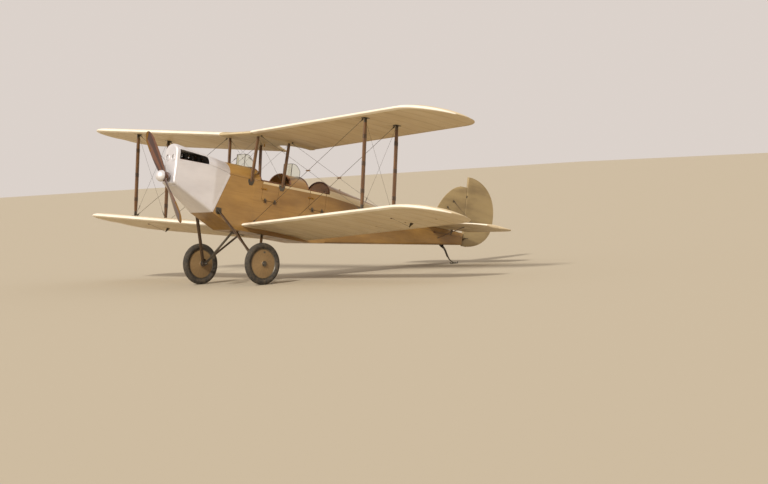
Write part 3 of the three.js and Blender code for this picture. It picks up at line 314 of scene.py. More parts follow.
# The wheel covers are dark brown, far darker than the linen: painted shade.
SHADED_WHEEL_COVER = linen_look("wheel_cover", "wheel_cover", tone(150, 122, 82), tone(112, 88, 56), tone(72, 54, 34))
TYRE = rubber_look("tyre", "tyre", tone(42, 40, 37), tone(104, 90, 70))
STEEL = metal_look("steel", "steel", tone(122, 116, 106), tone(84, 78, 68), 0.36, 0.9,
                   grime_tone=tone(70, 48, 30))
BRASS = metal_look("brass", "steel", tone(196, 152, 78), tone(150, 110, 52), 0.3, 1.0,
                   grime_tone=tone(86, 60, 30))
COPPER = metal_look("copper", "steel", tone(176, 104, 68), tone(120, 70, 44), 0.32, 1.0,
                    grime_tone=tone(70, 84, 66))
IRON = cast_look("engine_iron", "engine_iron", tone(74, 70, 64), tone(38, 35, 31))
RUST = cast_look("exhaust_iron", "engine_iron", tone(112, 78, 54), tone(56, 42, 34))
RUBBER = rubber_look("hose_rubber", "engine_iron", tone(30, 28, 26), tone(70, 60, 46))
DIAL = Look("dial_face", "engine_iron", 0.4)
DIAL.colour(DIAL.mix(DIAL.between(DIAL.noise(90, 3), 0.3, 0.7), tone(16, 16, 15), tone(30, 29, 27)))
MARK = Look("dial_marks", "engine_iron", 0.5)
MARK.colour(MARK.mix(MARK.between(MARK.noise(160, 3), 0.3, 0.7), tone(226, 220, 200), tone(190, 182, 158)))
AIRSCREW = lamination_look("propeller_wood", "propeller_wood", tone(98, 58, 32), tone(58, 32, 17))
GLASS = glass_look("windscreen", "windscreen")
LEATHER = leather_look("seat_leather", "seat_leather", tone(122, 78, 44), tone(74, 44, 24))
WEBBING = cloth_look("webbing", "seat_leather", tone(160, 138, 96), tone(118, 98, 64))


# Angles and half rings

def turns(count, start=0.0):
    """Equal steps round a circle."""
    return [2 * math.pi * (k + start) / count for k in range(count)]


def quarter(count, first=0):
    """Equal steps from 0 to a quarter turn, from step "first" on."""
    return [k / count * math.pi / 2 for k in range(first, count + 1)]


def both_halves(port):
    """A whole ring from its port half, whose last point is on the centre line."""
    return port + [Vector((-p.x, p.y, p.z)) for p in reversed(port[:-1])]


# Shapes: every function returns a list of points and a list of faces

def merge(*shapes):
    points, faces = [], []
    for some_points, some_faces in shapes:
        start = len(points)
        points.extend(some_points)
        faces.extend(tuple(i + start for i in face) for face in some_faces)
    return points, faces


def mirror(shape):
    points, faces = shape
    return [Vector((-p[0], p[1], p[2])) for p in points], [tuple(reversed(face)) for face in faces]


def shifted(shape, x=0.0, y=0.0, z=0.0):
    return [Vector(p) + Vector((x, y, z)) for p in shape[0]], shape[1]


def placed(shape, matrix):
    return [matrix @ Vector(p) for p in shape[0]], shape[1]


def loft(rings, caps=True, around=False):
    """Skin through rings of equal count. caps closes both ends, around joins the last ring to the first."""
    count = len(rings[0])
    points = [p for ring in rings for p in ring]
    faces = []
    for r in range(len(rings) if around else len(rings) - 1):
        here, beyond = r * count, (r + 1) % len(rings) * count
        for i in range(count):
            j = (i + 1) % count
            faces.append((here + i, here + j, beyond + j, beyond + i))
    if caps and not around:
        faces.append(tuple(reversed(range(count))))
        faces.append(tuple(range(len(points) - count, len(points))))
    return points, faces


def sheet(grid, thickness):
    """A closed thin panel: the outer face is the grid, the inner face lies "thickness" behind it."""
    rows, cols = len(grid), len(grid[0])

    def normal(r, c):
        along = Vector(grid[min(r + 1, rows - 1)][c]) - Vector(grid[max(r - 1, 0)][c])
        across = Vector(grid[r][min(c + 1, cols - 1)]) - Vector(grid[r][max(c - 1, 0)])
        return along.cross(across).normalized()
    outer = [Vector(p) for row in grid for p in row]
    inner = [outer[r * cols + c] - normal(r, c) * thickness for r in range(rows) for c in range(cols)]
    faces = []
    behind = len(outer)
    for r in range(rows - 1):
        for c in range(cols - 1):
            quad = (r * cols + c, (r + 1) * cols + c, (r + 1) * cols + c + 1, r * cols + c + 1)
            faces.append(quad)
            faces.append(tuple(i + behind for i in reversed(quad)))
    rim = [*range(cols), *[r * cols + cols - 1 for r in range(1, rows)]]
    rim += [(rows - 1) * cols + c for c in reversed(range(cols - 1))]
    rim += [r * cols for r in reversed(range(1, rows - 1))]
    for i, here in enumerate(rim):
        beside = rim[(i + 1) % len(rim)]
        faces.append((here, beside, beside + behind, here + behind))
    return outer + inner, faces


def frame_along(direction):
    """Two unit vectors square to a direction."""
    direction = Vector(direction).normalized()
    guide = Vector((0, 0, 1))
    if abs(direction.dot(guide)) > 0.98:
        guide = Vector((0, 1, 0))
    side = direction.cross(guide).normalized()
    return side, side.cross(direction)


def tube(route, radius, sides=10, around=False, caps=True):
    """A round bar along a route. radius may be a number or one number a point."""
    route = [Vector(p) for p in route]
    radii = radius if isinstance(radius, (list, tuple)) else [radius] * len(route)
    last = len(route) - 1
    rings = []
    side = None
    for i, point in enumerate(route):
        ahead = route[(i + 1) % len(route)] if around else route[min(i + 1, last)]
        behind = route[i - 1] if around else route[max(i - 1, 0)]
        direction = (ahead - behind).normalized()
        if side is None:
            side, _ = frame_along(direction)
        side = (side - direction * side.dot(direction)).normalized()
        up = side.cross(direction)
        rings.append([point + (side * math.cos(t) + up * math.sin(t)) * radii[i]
                      for t in turns(sides)])
    return loft(rings, caps and not around, around)


def lathe(profile, at, along, steps=24, around=False):
    """Turns (radius, height) points round an axis. around joins the last point to the first."""
    at, along = Vector(at), Vector(along).normalized()
    side, up = frame_along(along)
    rings = [[at + along * h + (side * math.cos(t) + up * math.sin(t)) * r
              for t in turns(steps)] for r, h in profile]
    return loft(rings, not around, around)


def rod(a, b, radius, sides=10):
    return tube([a, b], radius, sides)


def prism(outline, thickness):
    """An outline pushed out along a vector."""
    outline = [Vector(p) for p in outline]
    return loft([outline, [p + Vector(thickness) for p in outline]])


def block(low, high):
    (x0, y0, z0), (x1, y1, z1) = low, high
    return prism([(x0, y0, z0), (x1, y0, z0), (x1, y1, z0), (x0, y1, z0)], (0, 0, z1 - z0))


def smooth_route(points, steps=8):
    """A curve through the points, for pipes and cables."""
    points = [Vector(p) for p in points]
    padded = [points[0] * 2 - points[1], *points, points[-1] * 2 - points[-2]]
    route = []
    for a, b, c, d in zip(padded, padded[1:], padded[2:], padded[3:]):
        for k in range(steps):
            t = k / steps
            route.append(0.5 * (2 * b + (c - a) * t + (2 * a - 5 * b + 4 * c - d) * t ** 2
                                + (3 * b - a - 3 * c + d) * t ** 3))
    return [*route, points[-1]]


def dome(at, normal, radius, height, sides=8):
    """A rivet or screw head."""
    return lathe([(radius, -0.4), (radius, height * 0.35), (radius * 0.75, height * 0.8),
                  (radius * 0.3, height)], at, normal, sides)


def hexagon(at, normal, radius, height):
    """A nut with its washer and the end of its bolt."""
    at, normal = Vector(at), Vector(normal).normalized()
    washer = lathe([(radius * 1.35, -0.4), (radius * 1.35, height * 0.15)], at, normal, 14)
    nut = lathe([(radius, 0), (radius, height * 0.85), (radius * 0.88, height)], at, normal, 6)
    stub = rod(at + normal * height * 0.9, at + normal * height * 1.5, radius * 0.5, 8)
    return merge(washer, nut, stub)


def fastener(at, normal, radius):
    """A slotted quarter-turn button in a raised cup."""
    at, normal = Vector(at), Vector(normal).normalized()
    side, up = frame_along(normal)
    cup = lathe([(radius * 1.5, -0.5), (radius * 1.5, 0.8), (radius * 1.15, 1.6), (radius * 1.1, 0.4)],
                at, normal, 14)
    halves = []
    for sign in (-1, 1):
        arc = [math.radians(12 + 156 * k / 6) for k in range(7)]
        outline = [at + normal * 0.4 + side * math.cos(t) * radius + up * sign * math.sin(t) * radius
                   for t in arc]
        halves.append(prism(outline, normal * 1.8))
    return merge(cup, *halves)


def ribbon(point, steps, width, thickness=0.8, pinked=0.0):
    """A tape laid on a surface. point(share, across, lift) gives the surface and heights over it."""
    rings = []
    for i in range(steps + 1):
        t = i / steps
        half = width / 2 + (pinked if i % 2 else 0)
        rings.append([point(t, -half, thickness), point(t, half, thickness),
                      point(t, half, -0.6), point(t, -half, -0.6)])
    return loft(rings)


def bowed(outline, at, normal, height):
    """A pressed cover: the outline rises in a rounded edge to a flat top."""
    outline = [Vector(p) for p in outline]
    centre = sum(outline, Vector()) / len(outline)
    normal = Vector(normal).normalized()
    lofted = [[centre + (p - centre) * (0.88 + 0.12 * math.cos(t)) + normal * math.sin(t) * height
               for p in outline] for t in quarter(3)]
    return shifted(loft(lofted), *Vector(at))


# Pieces

CREASE = 32.0


def outward_mesh(name, shape, weld):
    """A mesh in the parked frame with its normals outward. weld is the distance at which points join."""
    mesh = bpy.data.meshes.new(name)
    mesh.from_pydata([FLIGHT @ Vector(p) for p in shape[0]], [], shape[1])
    shaper = bmesh.new()
    shaper.from_mesh(mesh)
    if weld:
        bmesh.ops.remove_doubles(shaper, verts=shaper.verts, dist=weld)
    bmesh.ops.recalc_face_normals(shaper, faces=shaper.faces)
    shaper.to_mesh(mesh)
    shaper.free()
    return mesh


def smooth(mesh, crease=CREASE):
    """Smooth shading, sharp where the faces turn by more than "crease" degrees."""
    mesh.shade_smooth()
    mesh.set_sharp_from_angle(angle=math.radians(crease))


def add(name, shape, look, body="airframe", cad=(), crease=CREASE, bevel=0.0, hard=False):
    """Makes a piece. cad names the CAD nodes that it stands for."""
    mesh = outward_mesh(name, shape, 1e-6)
    if not hard:
        smooth(mesh, crease)
    piece = bpy.data.objects.new(name, mesh)
    bpy.context.scene.collection.objects.link(piece)
    mesh.materials.append(look.material)
    if bevel:
        soften(piece, bevel)
    if body:
        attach(piece, body)
    if cad:
        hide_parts(*cad)
    return piece


def soften(piece, width):
    """Rounds the sharp edges by "width" millimetres."""
    rounding = piece.modifiers.new("rounded_edges", "BEVEL")
    rounding.width = width / 1000
    rounding.segments = 2
    rounding.limit_method = "ANGLE"
    rounding.angle_limit = math.radians(40)
    rounding.harden_normals = True


def pair(name, shape, look, body="airframe", cad=(), **options):
    """The same piece on both sides, drawn for port. {side} in body and cad stands for the side."""
    for side, form in (("port", shape), ("starboard", mirror(shape))):
        add(f"{name}_{side}", form, look, body.format(side=side),
            [node.format(side=side) for node in cad], **options)


def carve(piece, *tools):
    """Cuts shapes out of a piece."""
    for tool in tools:
        cutter_mesh = outward_mesh("cutter", tool, None)
        cutter = bpy.data.objects.new("cutter", cutter_mesh)
        bpy.context.scene.collection.objects.link(cutter)
        cutting = piece.modifiers.new("cut", "BOOLEAN")
        cutting.operation = "DIFFERENCE"
        cutting.solver = "EXACT"
        cutting.object = cutter
        shown = piece.evaluated_get(bpy.context.evaluated_depsgraph_get())
        result = bpy.data.meshes.new_from_object(shown)
        piece.modifiers.remove(cutting)
        old = piece.data
        piece.data = result
        bpy.data.meshes.remove(old)
        bpy.data.objects.remove(cutter)
        bpy.data.meshes.remove(cutter_mesh)
    smooth(piece.data)


def finish_node(name, look, bevel=0.0):
    """Gives a CAD node its material, and rounds its edges."""
    node = frame["nodes"][name]
    node.data.materials.clear()
    node.data.materials.append(look.material)
    smooth(node.data)
    if bevel:
        soften(node, bevel)


# Hinges, as in the CAD: a pin in two end lugs, and a barrel on the pin

HINGE_PIN, HINGE_BARREL, HINGE_HALF, HINGE_SIDE, HINGE_LUG, HINGE_LEAF = 3, 7, 12, 0.6, 5, 12.6
SLOT_HALF = HINGE_HALF + HINGE_SIDE + HINGE_LUG + 2


def hinge(at, along, moving, fixed, reach):
    """The fixed half and the moving half. moving and fixed point from the axis to what carries each."""
    at, along = Vector(at), Vector(along).normalized()

    def arm(direction, start, end):
        away = Vector(direction)
        away = (away - along * away.dot(along)).normalized()
        across = along.cross(away) * HINGE_LEAF / 2
        foot = at + along * start
        outline = [foot - across, foot + across, foot + across + away * reach, foot - across + away * reach]
        return prism(outline, along * (end - start))
    lug_start, lug_end = HINGE_HALF + HINGE_SIDE, HINGE_HALF + HINGE_SIDE + HINGE_LUG
    parts = [rod(at - along * (lug_end + 1.5), at + along * (lug_end + 1.5), HINGE_PIN, 12)]
    for start, end in ((lug_start, lug_end), (-lug_end, -lug_start)):
        parts.append(rod(at + along * start, at + along * end, HINGE_BARREL, 18))
        parts.append(arm(fixed, start, end))
    barrel = lathe([(HINGE_PIN + 0.4, -HINGE_HALF), (HINGE_BARREL, -HINGE_HALF), (HINGE_BARREL, HINGE_HALF),
                    (HINGE_PIN + 0.4, HINGE_HALF)], at, along, 18, around=True)
    away = Vector(moving)
    away = (away - along * away.dot(along)).normalized()
    across = along.cross(away) * HINGE_LEAF / 2
    foot = at - along * HINGE_HALF + away * (HINGE_BARREL - 1.5)
    far = away * (reach - HINGE_BARREL + 1.5)
    leaf = prism([foot - across, foot + across, foot + across + far, foot - across + far],
                 along * 2 * HINGE_HALF)
    return merge(*parts), merge(barrel, leaf)


def hinge_row(places, along, moving, fixed, reach):
    """Hinges at several places, as one fixed and one moving shape."""
    still, turning = zip(*[hinge(at, along, moving, fixed, reach) for at in places])
    return merge(*still), merge(*turning)


def round_nose(radius):
    """The half-round nose of a hinged surface, as (across, along) from the lower face to the upper."""
    angles = [k / 12 * math.pi for k in range(1, 12)]
    return [(-math.cos(t) * radius, -math.sin(t) * radius) for t in angles]


# Wings

SPAN, CHORD, WING_GAP, STAGGER = 9144, 1340, 1480, 120
DIHEDRAL, INCIDENCE = math.radians(3.5), math.radians(2.5)
THICKNESS, CAMBER, CAMBER_PEAK, EDGE_THICKNESS = 0.075, 0.035, 0.4, 4
FRONT_SPAR, REAR_SPAR, CENTRE_HALF, STRUT_STATION = 200, 830, 420, 3100
TIP_FRONT_ROUND, TIP_BACK_ROUND = 560, 430
AILERON_HINGE, AILERON_INNER, AILERON_OUTER, AILERON_NOSE = 1000, 2350, 4080, 24
CLEAR = 6
FUSELAGE_HALF = 305
TIP = SPAN / 2 / math.cos(DIHEDRAL)
RIB_FIRST = 470
RIB_PITCH = (STRUT_STATION - RIB_FIRST) / 9
RIBS = [RIB_FIRST + RIB_PITCH * k for k in range(14)]
SAG, NOSE_SAG = 4.5, 1.6
LINEN_CREASE = 38
SECTION_TERMS = [(0.2969, 0.5), (-0.126, 1), (-0.3516, 2), (0.2843, 3), (-0.1015, 4)]


def section_height(share, side):
    """Height of the wing section over its chord line, as a share of the chord."""
    half = 5 * THICKNESS * sum(factor * share ** power for factor, power in SECTION_TERMS)
    front = share < CAMBER_PEAK
    reach = CAMBER_PEAK if front else 1 - CAMBER_PEAK
    start = 0 if front else 1 - 2 * CAMBER_PEAK
    line = CAMBER / reach ** 2 * (start + 2 * CAMBER_PEAK * share - share ** 2)
    return line + side * (half + share * EDGE_THICKNESS / 2 / CHORD)


def tip_edges(x):
    """Leading and trailing edge of the round tip, behind the straight leading edge."""
    def rounding(length):
        into = min(max((x - (TIP - length)) / length, 0), 0.995)
        return 1 - math.sqrt(1 - into ** 2)
    return CHORD * 0.6 * rounding(TIP_FRONT_ROUND), CHORD * (1 - 0.28 * rounding(TIP_BACK_ROUND))


def ease(value, low, high):
    t = min(max((value - low) / (high - low), 0), 1)
    return t * t * (3 - 2 * t)


def billow(x, share):
    """How far the linen sinks between the ribs, and between the short nose ribs."""
    deep = math.sin(math.pi * (x - RIB_FIRST) / RIB_PITCH) ** 2
    shallow = math.sin(2 * math.pi * (x - RIB_FIRST) / RIB_PITCH) ** 2
    main = SAG * deep * ease(share, 0.13, 0.3) * (1 - ease(share, 0.86, 0.98))
    nose = NOSE_SAG * shallow * ease(share, 0.012, 0.06) * (1 - ease(share, 0.12, 0.16))
    return main + nose


def wing_skin(x, share, side, lift=0.0):
    """A point of the wing's linen in the wing's own frame."""
    front, back = tip_edges(x)
    chord = back - front
    fade = chord / CHORD
    height = section_height(share, side) * chord - side * billow(x, share) * fade + side * lift
    return Vector((x, front + share * chord, height))


def wing_frame(y, z):
    return (Matrix.Translation((0, y, z)) @ Matrix.Rotation(-DIHEDRAL, 4, "Y")
            @ Matrix.Rotation(-INCIDENCE, 4, "X"))


UPPER = wing_frame(0, WING_GAP)
LOWER = wing_frame(STAGGER, 0)
CENTRE = (Matrix.Translation((0, 0, WING_GAP + CENTRE_HALF * math.tan(DIHEDRAL) * 0.6))
          @ Matrix.Rotation(-INCIDENCE, 4, "X"))
SECTION_STEPS = 44
SHARES = [1 - math.cos(t) for t in quarter(SECTION_STEPS)]


def wing_ring(x, behind=None):
    """A closed ring of the section. Where "behind" is given, nothing lies further back than that."""
    ring = [wing_skin(x, s, 1) for s in SHARES] + [wing_skin(x, s, -1) for s in reversed(SHARES[1:])]
    if behind is None:
        return ring
    high, low = wing_skin(x, behind / CHORD, 1), wing_skin(x, behind / CHORD, -1)
    over = [p for p in ring if p.y > behind]
    for k, p in enumerate(over):
        at = high.lerp(low, (k + 1) / (len(over) + 1))
        p.y, p.z = at.y, at.z
    return ring


def steps_between(low, high, step):
    count = max(round((high - low) / step), 1)
    return [low + (high - low) * k / count for k in range(count + 1)]


def stations(low, high, step, slots=()):
    """Places along a surface with a flag for those in a slot. A slot's ends come twice, for its walls."""
    found = []
    start = low
    for slot_low, slot_high in slots:
        found += [(p, False) for p in steps_between(start, slot_low, step)]
        found += [(p, True) for p in steps_between(slot_low, slot_high, step)]
        start = slot_high
    return found + [(p, False) for p in steps_between(start, high, step)]


TIP_STATIONS = [TIP - TIP_FRONT_ROUND * (1 - math.sin(t)) for t in quarter(22, 1)]


def round_end(ring, out=(1, 0, 0), thin=(0, 0, 1), reach=7):
    """Small rings that close an end with a round edge. thin is the way in which the section is thin."""
    centre = sum(ring, Vector()) / len(ring)
    out, thin = Vector(out), Vector(thin)
    rings = []
    for degrees in (28, 56, 84):
        turn = math.radians(degrees)
        ended = []
        for p in ring:
            thick = thin * (p - centre).dot(thin)
            flat = (p - centre - thick) * (1 - 0.05 * (1 - math.cos(turn)))
            ended.append(centre + flat + thick * math.cos(turn) + out * reach * math.sin(turn))
        rings.append(ended)
    return rings


def from_root(rings, matrix, root_x):
    """Puts the rings in the airframe's frame, with the root cut square at root_x."""
    rings = [[matrix @ p for p in ring] for ring in rings]
    out = matrix.to_3x3() @ Vector((1, 0, 0))
    rings[0] = [p + out * ((root_x - p.x) / out.x) for p in rings[0]]
    return loft(rings)


def upper_panel():
    places = steps_between(CENTRE_HALF - 20, TIP - TIP_FRONT_ROUND, RIB_PITCH / 10) + TIP_STATIONS
    rings = [wing_ring(x) for x in places]
    return from_root(rings + round_end(rings[-1]), UPPER, CENTRE_HALF + 1)


AILERON_BAY = (AILERON_INNER - CLEAR, AILERON_OUTER + CLEAR)


def lower_panel():
    """The lower wing, with the bay for its aileron. The bay's outer wall lies in the round of the tip."""
    behind = AILERON_HINGE - AILERON_NOSE - CLEAR
    places = stations(FUSELAGE_HALF, TIP - TIP_FRONT_ROUND, RIB_PITCH / 10,
                      [(AILERON_BAY[0], TIP - TIP_FRONT_ROUND)])
    places = [place for place in places if place != (TIP - TIP_FRONT_ROUND, False)]
    for x in TIP_STATIONS:
        previous = places[-1][0]
        if previous < AILERON_BAY[1] <= x:
            places += [(AILERON_BAY[1], True), (AILERON_BAY[1], False)]
        places.append((x, x < AILERON_BAY[1]))
    rings = [wing_ring(x, behind if inside else None) for x, inside in places]
    return from_root(rings + round_end(rings[-1]), LOWER, FUSELAGE_HALF + 1)


TAPE_WIDTH, TAPE_LIFT, PINKING, KNOT_PITCH = 36, 0.9, 1.6, 72
KNOT = ((0.4, ((-7, 0), (0, -3), (7, 0), (0, 3))), (2.2, ((-4, 0), (0, -1.4), (4, 0), (0, 1.4))))


def rib_tapes(skin, ribs, shares, chord=CHORD, steps=90):
    """Pinked tapes over the ribs on both faces, with the knots of the stitching under them.
    skin(place, share, side, lift) is a point of the surface, and shares(place) where the tape runs."""
    shapes = []
    for place in ribs:
        low, high = shares(place)
        for side in (1, -1):
            def point(t, across, lift, place=place, side=side, low=low, high=high):
                return skin(place + across, low + (high - low) * t, side, lift)
            shapes.append(ribbon(point, steps, TAPE_WIDTH, TAPE_LIFT, PINKING))
            share = low + 30 / chord
            while share < high - 20 / chord:
                shapes.append(loft([[skin(place + dx, share + dy / chord, side, lift) for dx, dy in corners]
                                    for lift, corners in KNOT]))
                share += KNOT_PITCH / chord
    return merge(*shapes)


def both_faces(skin, place, shares):
    return [skin(place, s, 1) for s in shares] + [skin(place, s, -1) for s in reversed(shares)]


def edge_tape(skin, places, shares):
    """A tape that runs along the span, over the given shares of the section, as (share, side)."""
    return sheet([[skin(x, share, side, TAPE_LIFT) for share, side in shares] for x in places], 1.4)


def upper_skin(x, share, side, lift=0.0):
    return UPPER @ wing_skin(x, share, side, lift)


def lower_skin(x, share, side, lift=0.0):
    return LOWER @ wing_skin(x, share, side, lift)


NOSE_REACH = 0.055
NOSE_SHARES = [(s, 1) for s in (NOSE_REACH, 0.042, 0.03, 0.018, 0.009, 0.003, 0.0)]
NOSE_SHARES += [(s, -1) for s in (0.003, 0.009, 0.018, 0.03, 0.042, NOSE_REACH)]
EDGE_SHARES = [(s, 1) for s in (0.968, 0.984, 0.9995)] + [(s, -1) for s in (0.9995, 0.984, 0.968)]
spanwise = steps_between(CENTRE_HALF + 4, TIP - TIP_FRONT_ROUND, RIB_PITCH / 4) + TIP_STATIONS

pair("upper_wing", upper_panel(), LINEN, cad=["upper_wing_{side}"], crease=LINEN_CREASE)
pair("upper_wing_rib_tapes", rib_tapes(upper_skin, RIBS, lambda x: (NOSE_REACH, 0.965)), TAPE)
pair("lower_wing", lower_panel(), LINEN, cad=["lower_wing_{side}"], crease=LINEN_CREASE)


def lower_shares(x):
    in_bay = AILERON_BAY[0] < x < AILERON_BAY[1]
    return (NOSE_REACH, 0.7) if in_bay else (NOSE_REACH, 0.965)


pair("lower_wing_rib_tapes", rib_tapes(lower_skin, [FUSELAGE_HALF + 60, *RIBS], lower_shares), TAPE)
# The nose tapes carry the painted highlight of the sunlit leading edges.
pair("upper_wing_nose_tape", edge_tape(upper_skin, spanwise, NOSE_SHARES), HIGHLIGHT_NOSE_TAPE)
pair("lower_wing_nose_tape", edge_tape(lower_skin, [FUSELAGE_HALF + 6, *spanwise], NOSE_SHARES), HIGHLIGHT_NOSE_TAPE)
pair("upper_wing_edge_tape", edge_tape(upper_skin, spanwise, EDGE_SHARES), TAPE)
inboard = [FUSELAGE_HALF + 6, *[x for x in spanwise if x < AILERON_BAY[0]], AILERON_BAY[0]]
pair("lower_wing_edge_tape", edge_tape(lower_skin, inboard, EDGE_SHARES), TAPE)

# Ailerons

HINGE_SHARE = AILERON_HINGE / CHORD
HINGE_HEIGHT = (section_height(HINGE_SHARE, 1) + section_height(HINGE_SHARE, -1)) / 2 * CHORD
AILERON_HINGES = [AILERON_INNER + 150, (AILERON_INNER + AILERON_OUTER) / 2, AILERON_OUTER - 150]
BEHIND_SLOT = HINGE_BARREL + 3


def aileron_skin(x, share, side, lift=0.0):
    point = wing_skin(min(x, TIP - TIP_FRONT_ROUND), share, side, lift)
    point.x = x
    return point


def aileron_ring(x, in_slot):
    ring = both_faces(aileron_skin, x, steps_between(HINGE_SHARE, 1, 0.018))
    ring += [Vector((x, AILERON_HINGE + along, HINGE_HEIGHT + across))
             for across, along in round_nose(AILERON_NOSE)]
    return behind_line(ring, AILERON_HINGE + BEHIND_SLOT) if in_slot else ring


def behind_line(ring, line, thin=2):
    """Pushes what lies ahead of a line back onto it, for a slot round a hinge. thin is the thin axis."""
    kept = [p for p in ring if p.y >= line]
    high, low = max(p[thin] for p in kept), min(p[thin] for p in kept)
    for p in ring:
        if p.y < line:
            p.y = line
            p[thin] = min(max(p[thin], low), high)
    return ring


def slots_at(middles):
    return [(m - SLOT_HALF, m + SLOT_HALF) for m in middles]


aileron_rings = [[LOWER @ p for p in aileron_ring(x, in_slot)] for x, in_slot in
                 stations(AILERON_INNER, AILERON_OUTER, RIB_PITCH / 10, slots_at(AILERON_HINGES))]
pair("aileron", loft(aileron_rings), LINEN, "aileron_{side}", ["aileron_{side}"], crease=LINEN_CREASE)
aileron_ribs = [x for x in RIBS if AILERON_INNER < x < AILERON_OUTER]
pair("aileron_rib_tapes", rib_tapes(lower_skin, aileron_ribs, lambda x: (0.765, 0.965)), TAPE,
     "aileron_{side}")
aileron_span = steps_between(AILERON_INNER + 2, AILERON_OUTER - 60, RIB_PITCH / 4)
pair("aileron_edge_tape", edge_tape(lower_skin, aileron_span, EDGE_SHARES), TAPE, "aileron_{side}")
HINGE_REACH = AILERON_NOSE + CLEAR + 6
brackets, barrels = hinge_row([(x, AILERON_HINGE, HINGE_HEIGHT) for x in AILERON_HINGES],
                              (1, 0, 0), (0, 1, 0), (0, -1, 0), HINGE_REACH)
pair("aileron_hinge_brackets", placed(brackets, LOWER), STEEL)
pair("aileron_hinge_barrels", placed(barrels, LOWER), STEEL, "aileron_{side}")

# Horn and cable that work the aileron, under the wing

HORN_X, HORN_DROP = 3300, 92


def horn_plate(x, foot_from, foot_to, tip, way):
    """A triangular lever with a hole at its tip. way is 1 for a lever that points up and -1 for down."""
    y, z = tip
    outline = [foot_from, foot_to]
    outline += [(y + 9 * math.cos(t), z + way * 9 * math.sin(t)) for t in
                (math.radians(a) for a in (0, 45, 90, 135, 180))]
    plate = prism([(x - 1.5, a, b) for a, b in outline], (3, 0, 0))
    return merge(plate, rod((x - 7, y, z), (x + 7, y, z), 4, 12))


horn_foot = aileron_skin(HORN_X, 1015 / CHORD, -1)
horn_back = aileron_skin(HORN_X, 1085 / CHORD, -1)
horn_tip = (AILERON_HINGE + 8, HINGE_HEIGHT - HORN_DROP)
aileron_horn = horn_plate(HORN_X, (horn_foot.y, horn_foot.z + 2), (horn_back.y, horn_back.z + 2), horn_tip,
                          -1)
pair("aileron_horn", placed(aileron_horn, LOWER), STEEL, "aileron_{side}", bevel=0.6)

CABLE_RADIUS, CABLE_STILL = 1.8, 0.75


def cable(name, route):
    """A control cable from the airframe to a lever on a moving body."""
    for side, flip in (("port", 1), ("starboard", -1)):
        points = [Vector((p[0] * flip, p[1], p[2])) for p in route]
        piece = add(f"{name}_{side}", tube(points, CABLE_RADIUS, 8), STEEL, body=None)
        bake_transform(piece)


def straight(a, b, count=24):
    return [Vector(a).lerp(Vector(b), k / count) for k in range(count + 1)]


cable_in = LOWER @ wing_skin(HORN_X, 0.47, -1)
cable_end = LOWER @ Vector((HORN_X, *horn_tip))
cable("aileron_cable", straight(cable_in + Vector((0, 0, 3)), cable_end))
fairlead = lathe([(4, -14), (10, -14), (12, -4), (12, 4), (10, 14), (4, 14)], cable_in,
                 cable_end - cable_in, 16, around=True)
pair("aileron_fairlead", fairlead, LEATHER)

# Small fittings on the wings: inspection covers, drain eyelets and the walkway

COVER_RADIUS, COVER_HEIGHT, EYELET_SHARE = 58, 1.6, 0.925
COVERS = [(LOWER, 900, 0.14), (LOWER, 900, 0.6), (LOWER, 2000, 0.6), (LOWER, 2960, 0.14),
          (UPPER, 760, 0.14), (UPPER, 2960, 0.14), (UPPER, 2960, 0.6)]


def inspection_cover(matrix, x, share):
    """A round cover under the wing."""
    at = matrix @ wing_skin(x, share, -1, -0.4)
    ahead = matrix @ wing_skin(x, share + 0.02, -1)
    beside = matrix @ wing_skin(x + 20, share, -1)
    return lathe([(COVER_RADIUS, 0), (COVER_RADIUS, COVER_HEIGHT * 0.7), (COVER_RADIUS * 0.93, COVER_HEIGHT)],
                 at, (beside - at).cross(ahead - at) * -1, 32)


def eyelet(matrix, x):
    """A drain eyelet under the wing, near the trailing edge."""
    at = matrix @ wing_skin(x, EYELET_SHARE, -1, 0.2)
    down = matrix.to_3x3() @ Vector((0, 0, -1))
    return lathe([(3.5, 0), (7, 0), (7, 0.8), (5, 1.6), (3.5, 0.8)], at, down, 12, around=True)


pair("inspection_covers", merge(*[inspection_cover(*where) for where in COVERS]), TAPE)
eyelets = [eyelet(LOWER, x + 60) for x in RIBS if x < AILERON_INNER - 100]
eyelets += [eyelet(UPPER, x + 60) for x in RIBS[:-1]]
pair("drain_eyelets", merge(*eyelets), BRASS)

WALKWAY = {"from": FUSELAGE_HALF + 8, "to": 640, "share_from": 0.2, "share_to": 0.82, "battens": 9}


def walkway():
    """A plywood tread on the wing root, with battens to stand on."""
    shares = steps_between(WALKWAY["share_from"], WALKWAY["share_to"], 0.03)
    grid = [[LOWER @ wing_skin(x, s, 1, 4.0) for s in shares]
            for x in steps_between(WALKWAY["from"], WALKWAY["to"], 24)]
    shapes = [sheet([list(reversed(row)) for row in grid], 3.5)]
    for k in range(WALKWAY["battens"]):
        share = WALKWAY["share_from"] + 0.03 + k * 0.07
        rings = []
        for x in steps_between(WALKWAY["from"] + 20, WALKWAY["to"] - 14, 40):
            rings.append([LOWER @ wing_skin(x, share + dy / CHORD, 1, lift)
                          for dy, lift in ((-11, 3), (-8, 10), (8, 10), (11, 3))])
        shapes.append(loft(rings))
    return merge(*shapes)


pair("walkway", walkway(), VARNISHED, bevel=0.8)

# Centre section with the fuel tank

CUTOUT_HALF, CUTOUT_DEPTH = 300, 400


def centre_back(x):
    if abs(x) >= CUTOUT_HALF:
        return CHORD
    return CHORD - CUTOUT_DEPTH * math.sqrt(1 - (x / CUTOUT_HALF) ** 2)


def centre_skin(x, share, side, lift=0.0):
    return Vector((x, share * CHORD, section_height(share, side) * CHORD + side * lift))


def centre_ring(x):
    last = centre_back(x) / CHORD
    ring = [centre_skin(x, s * last, 1) for s in SHARES]
    return ring + [centre_skin(x, s * last, -1) for s in reversed(SHARES[1:])]


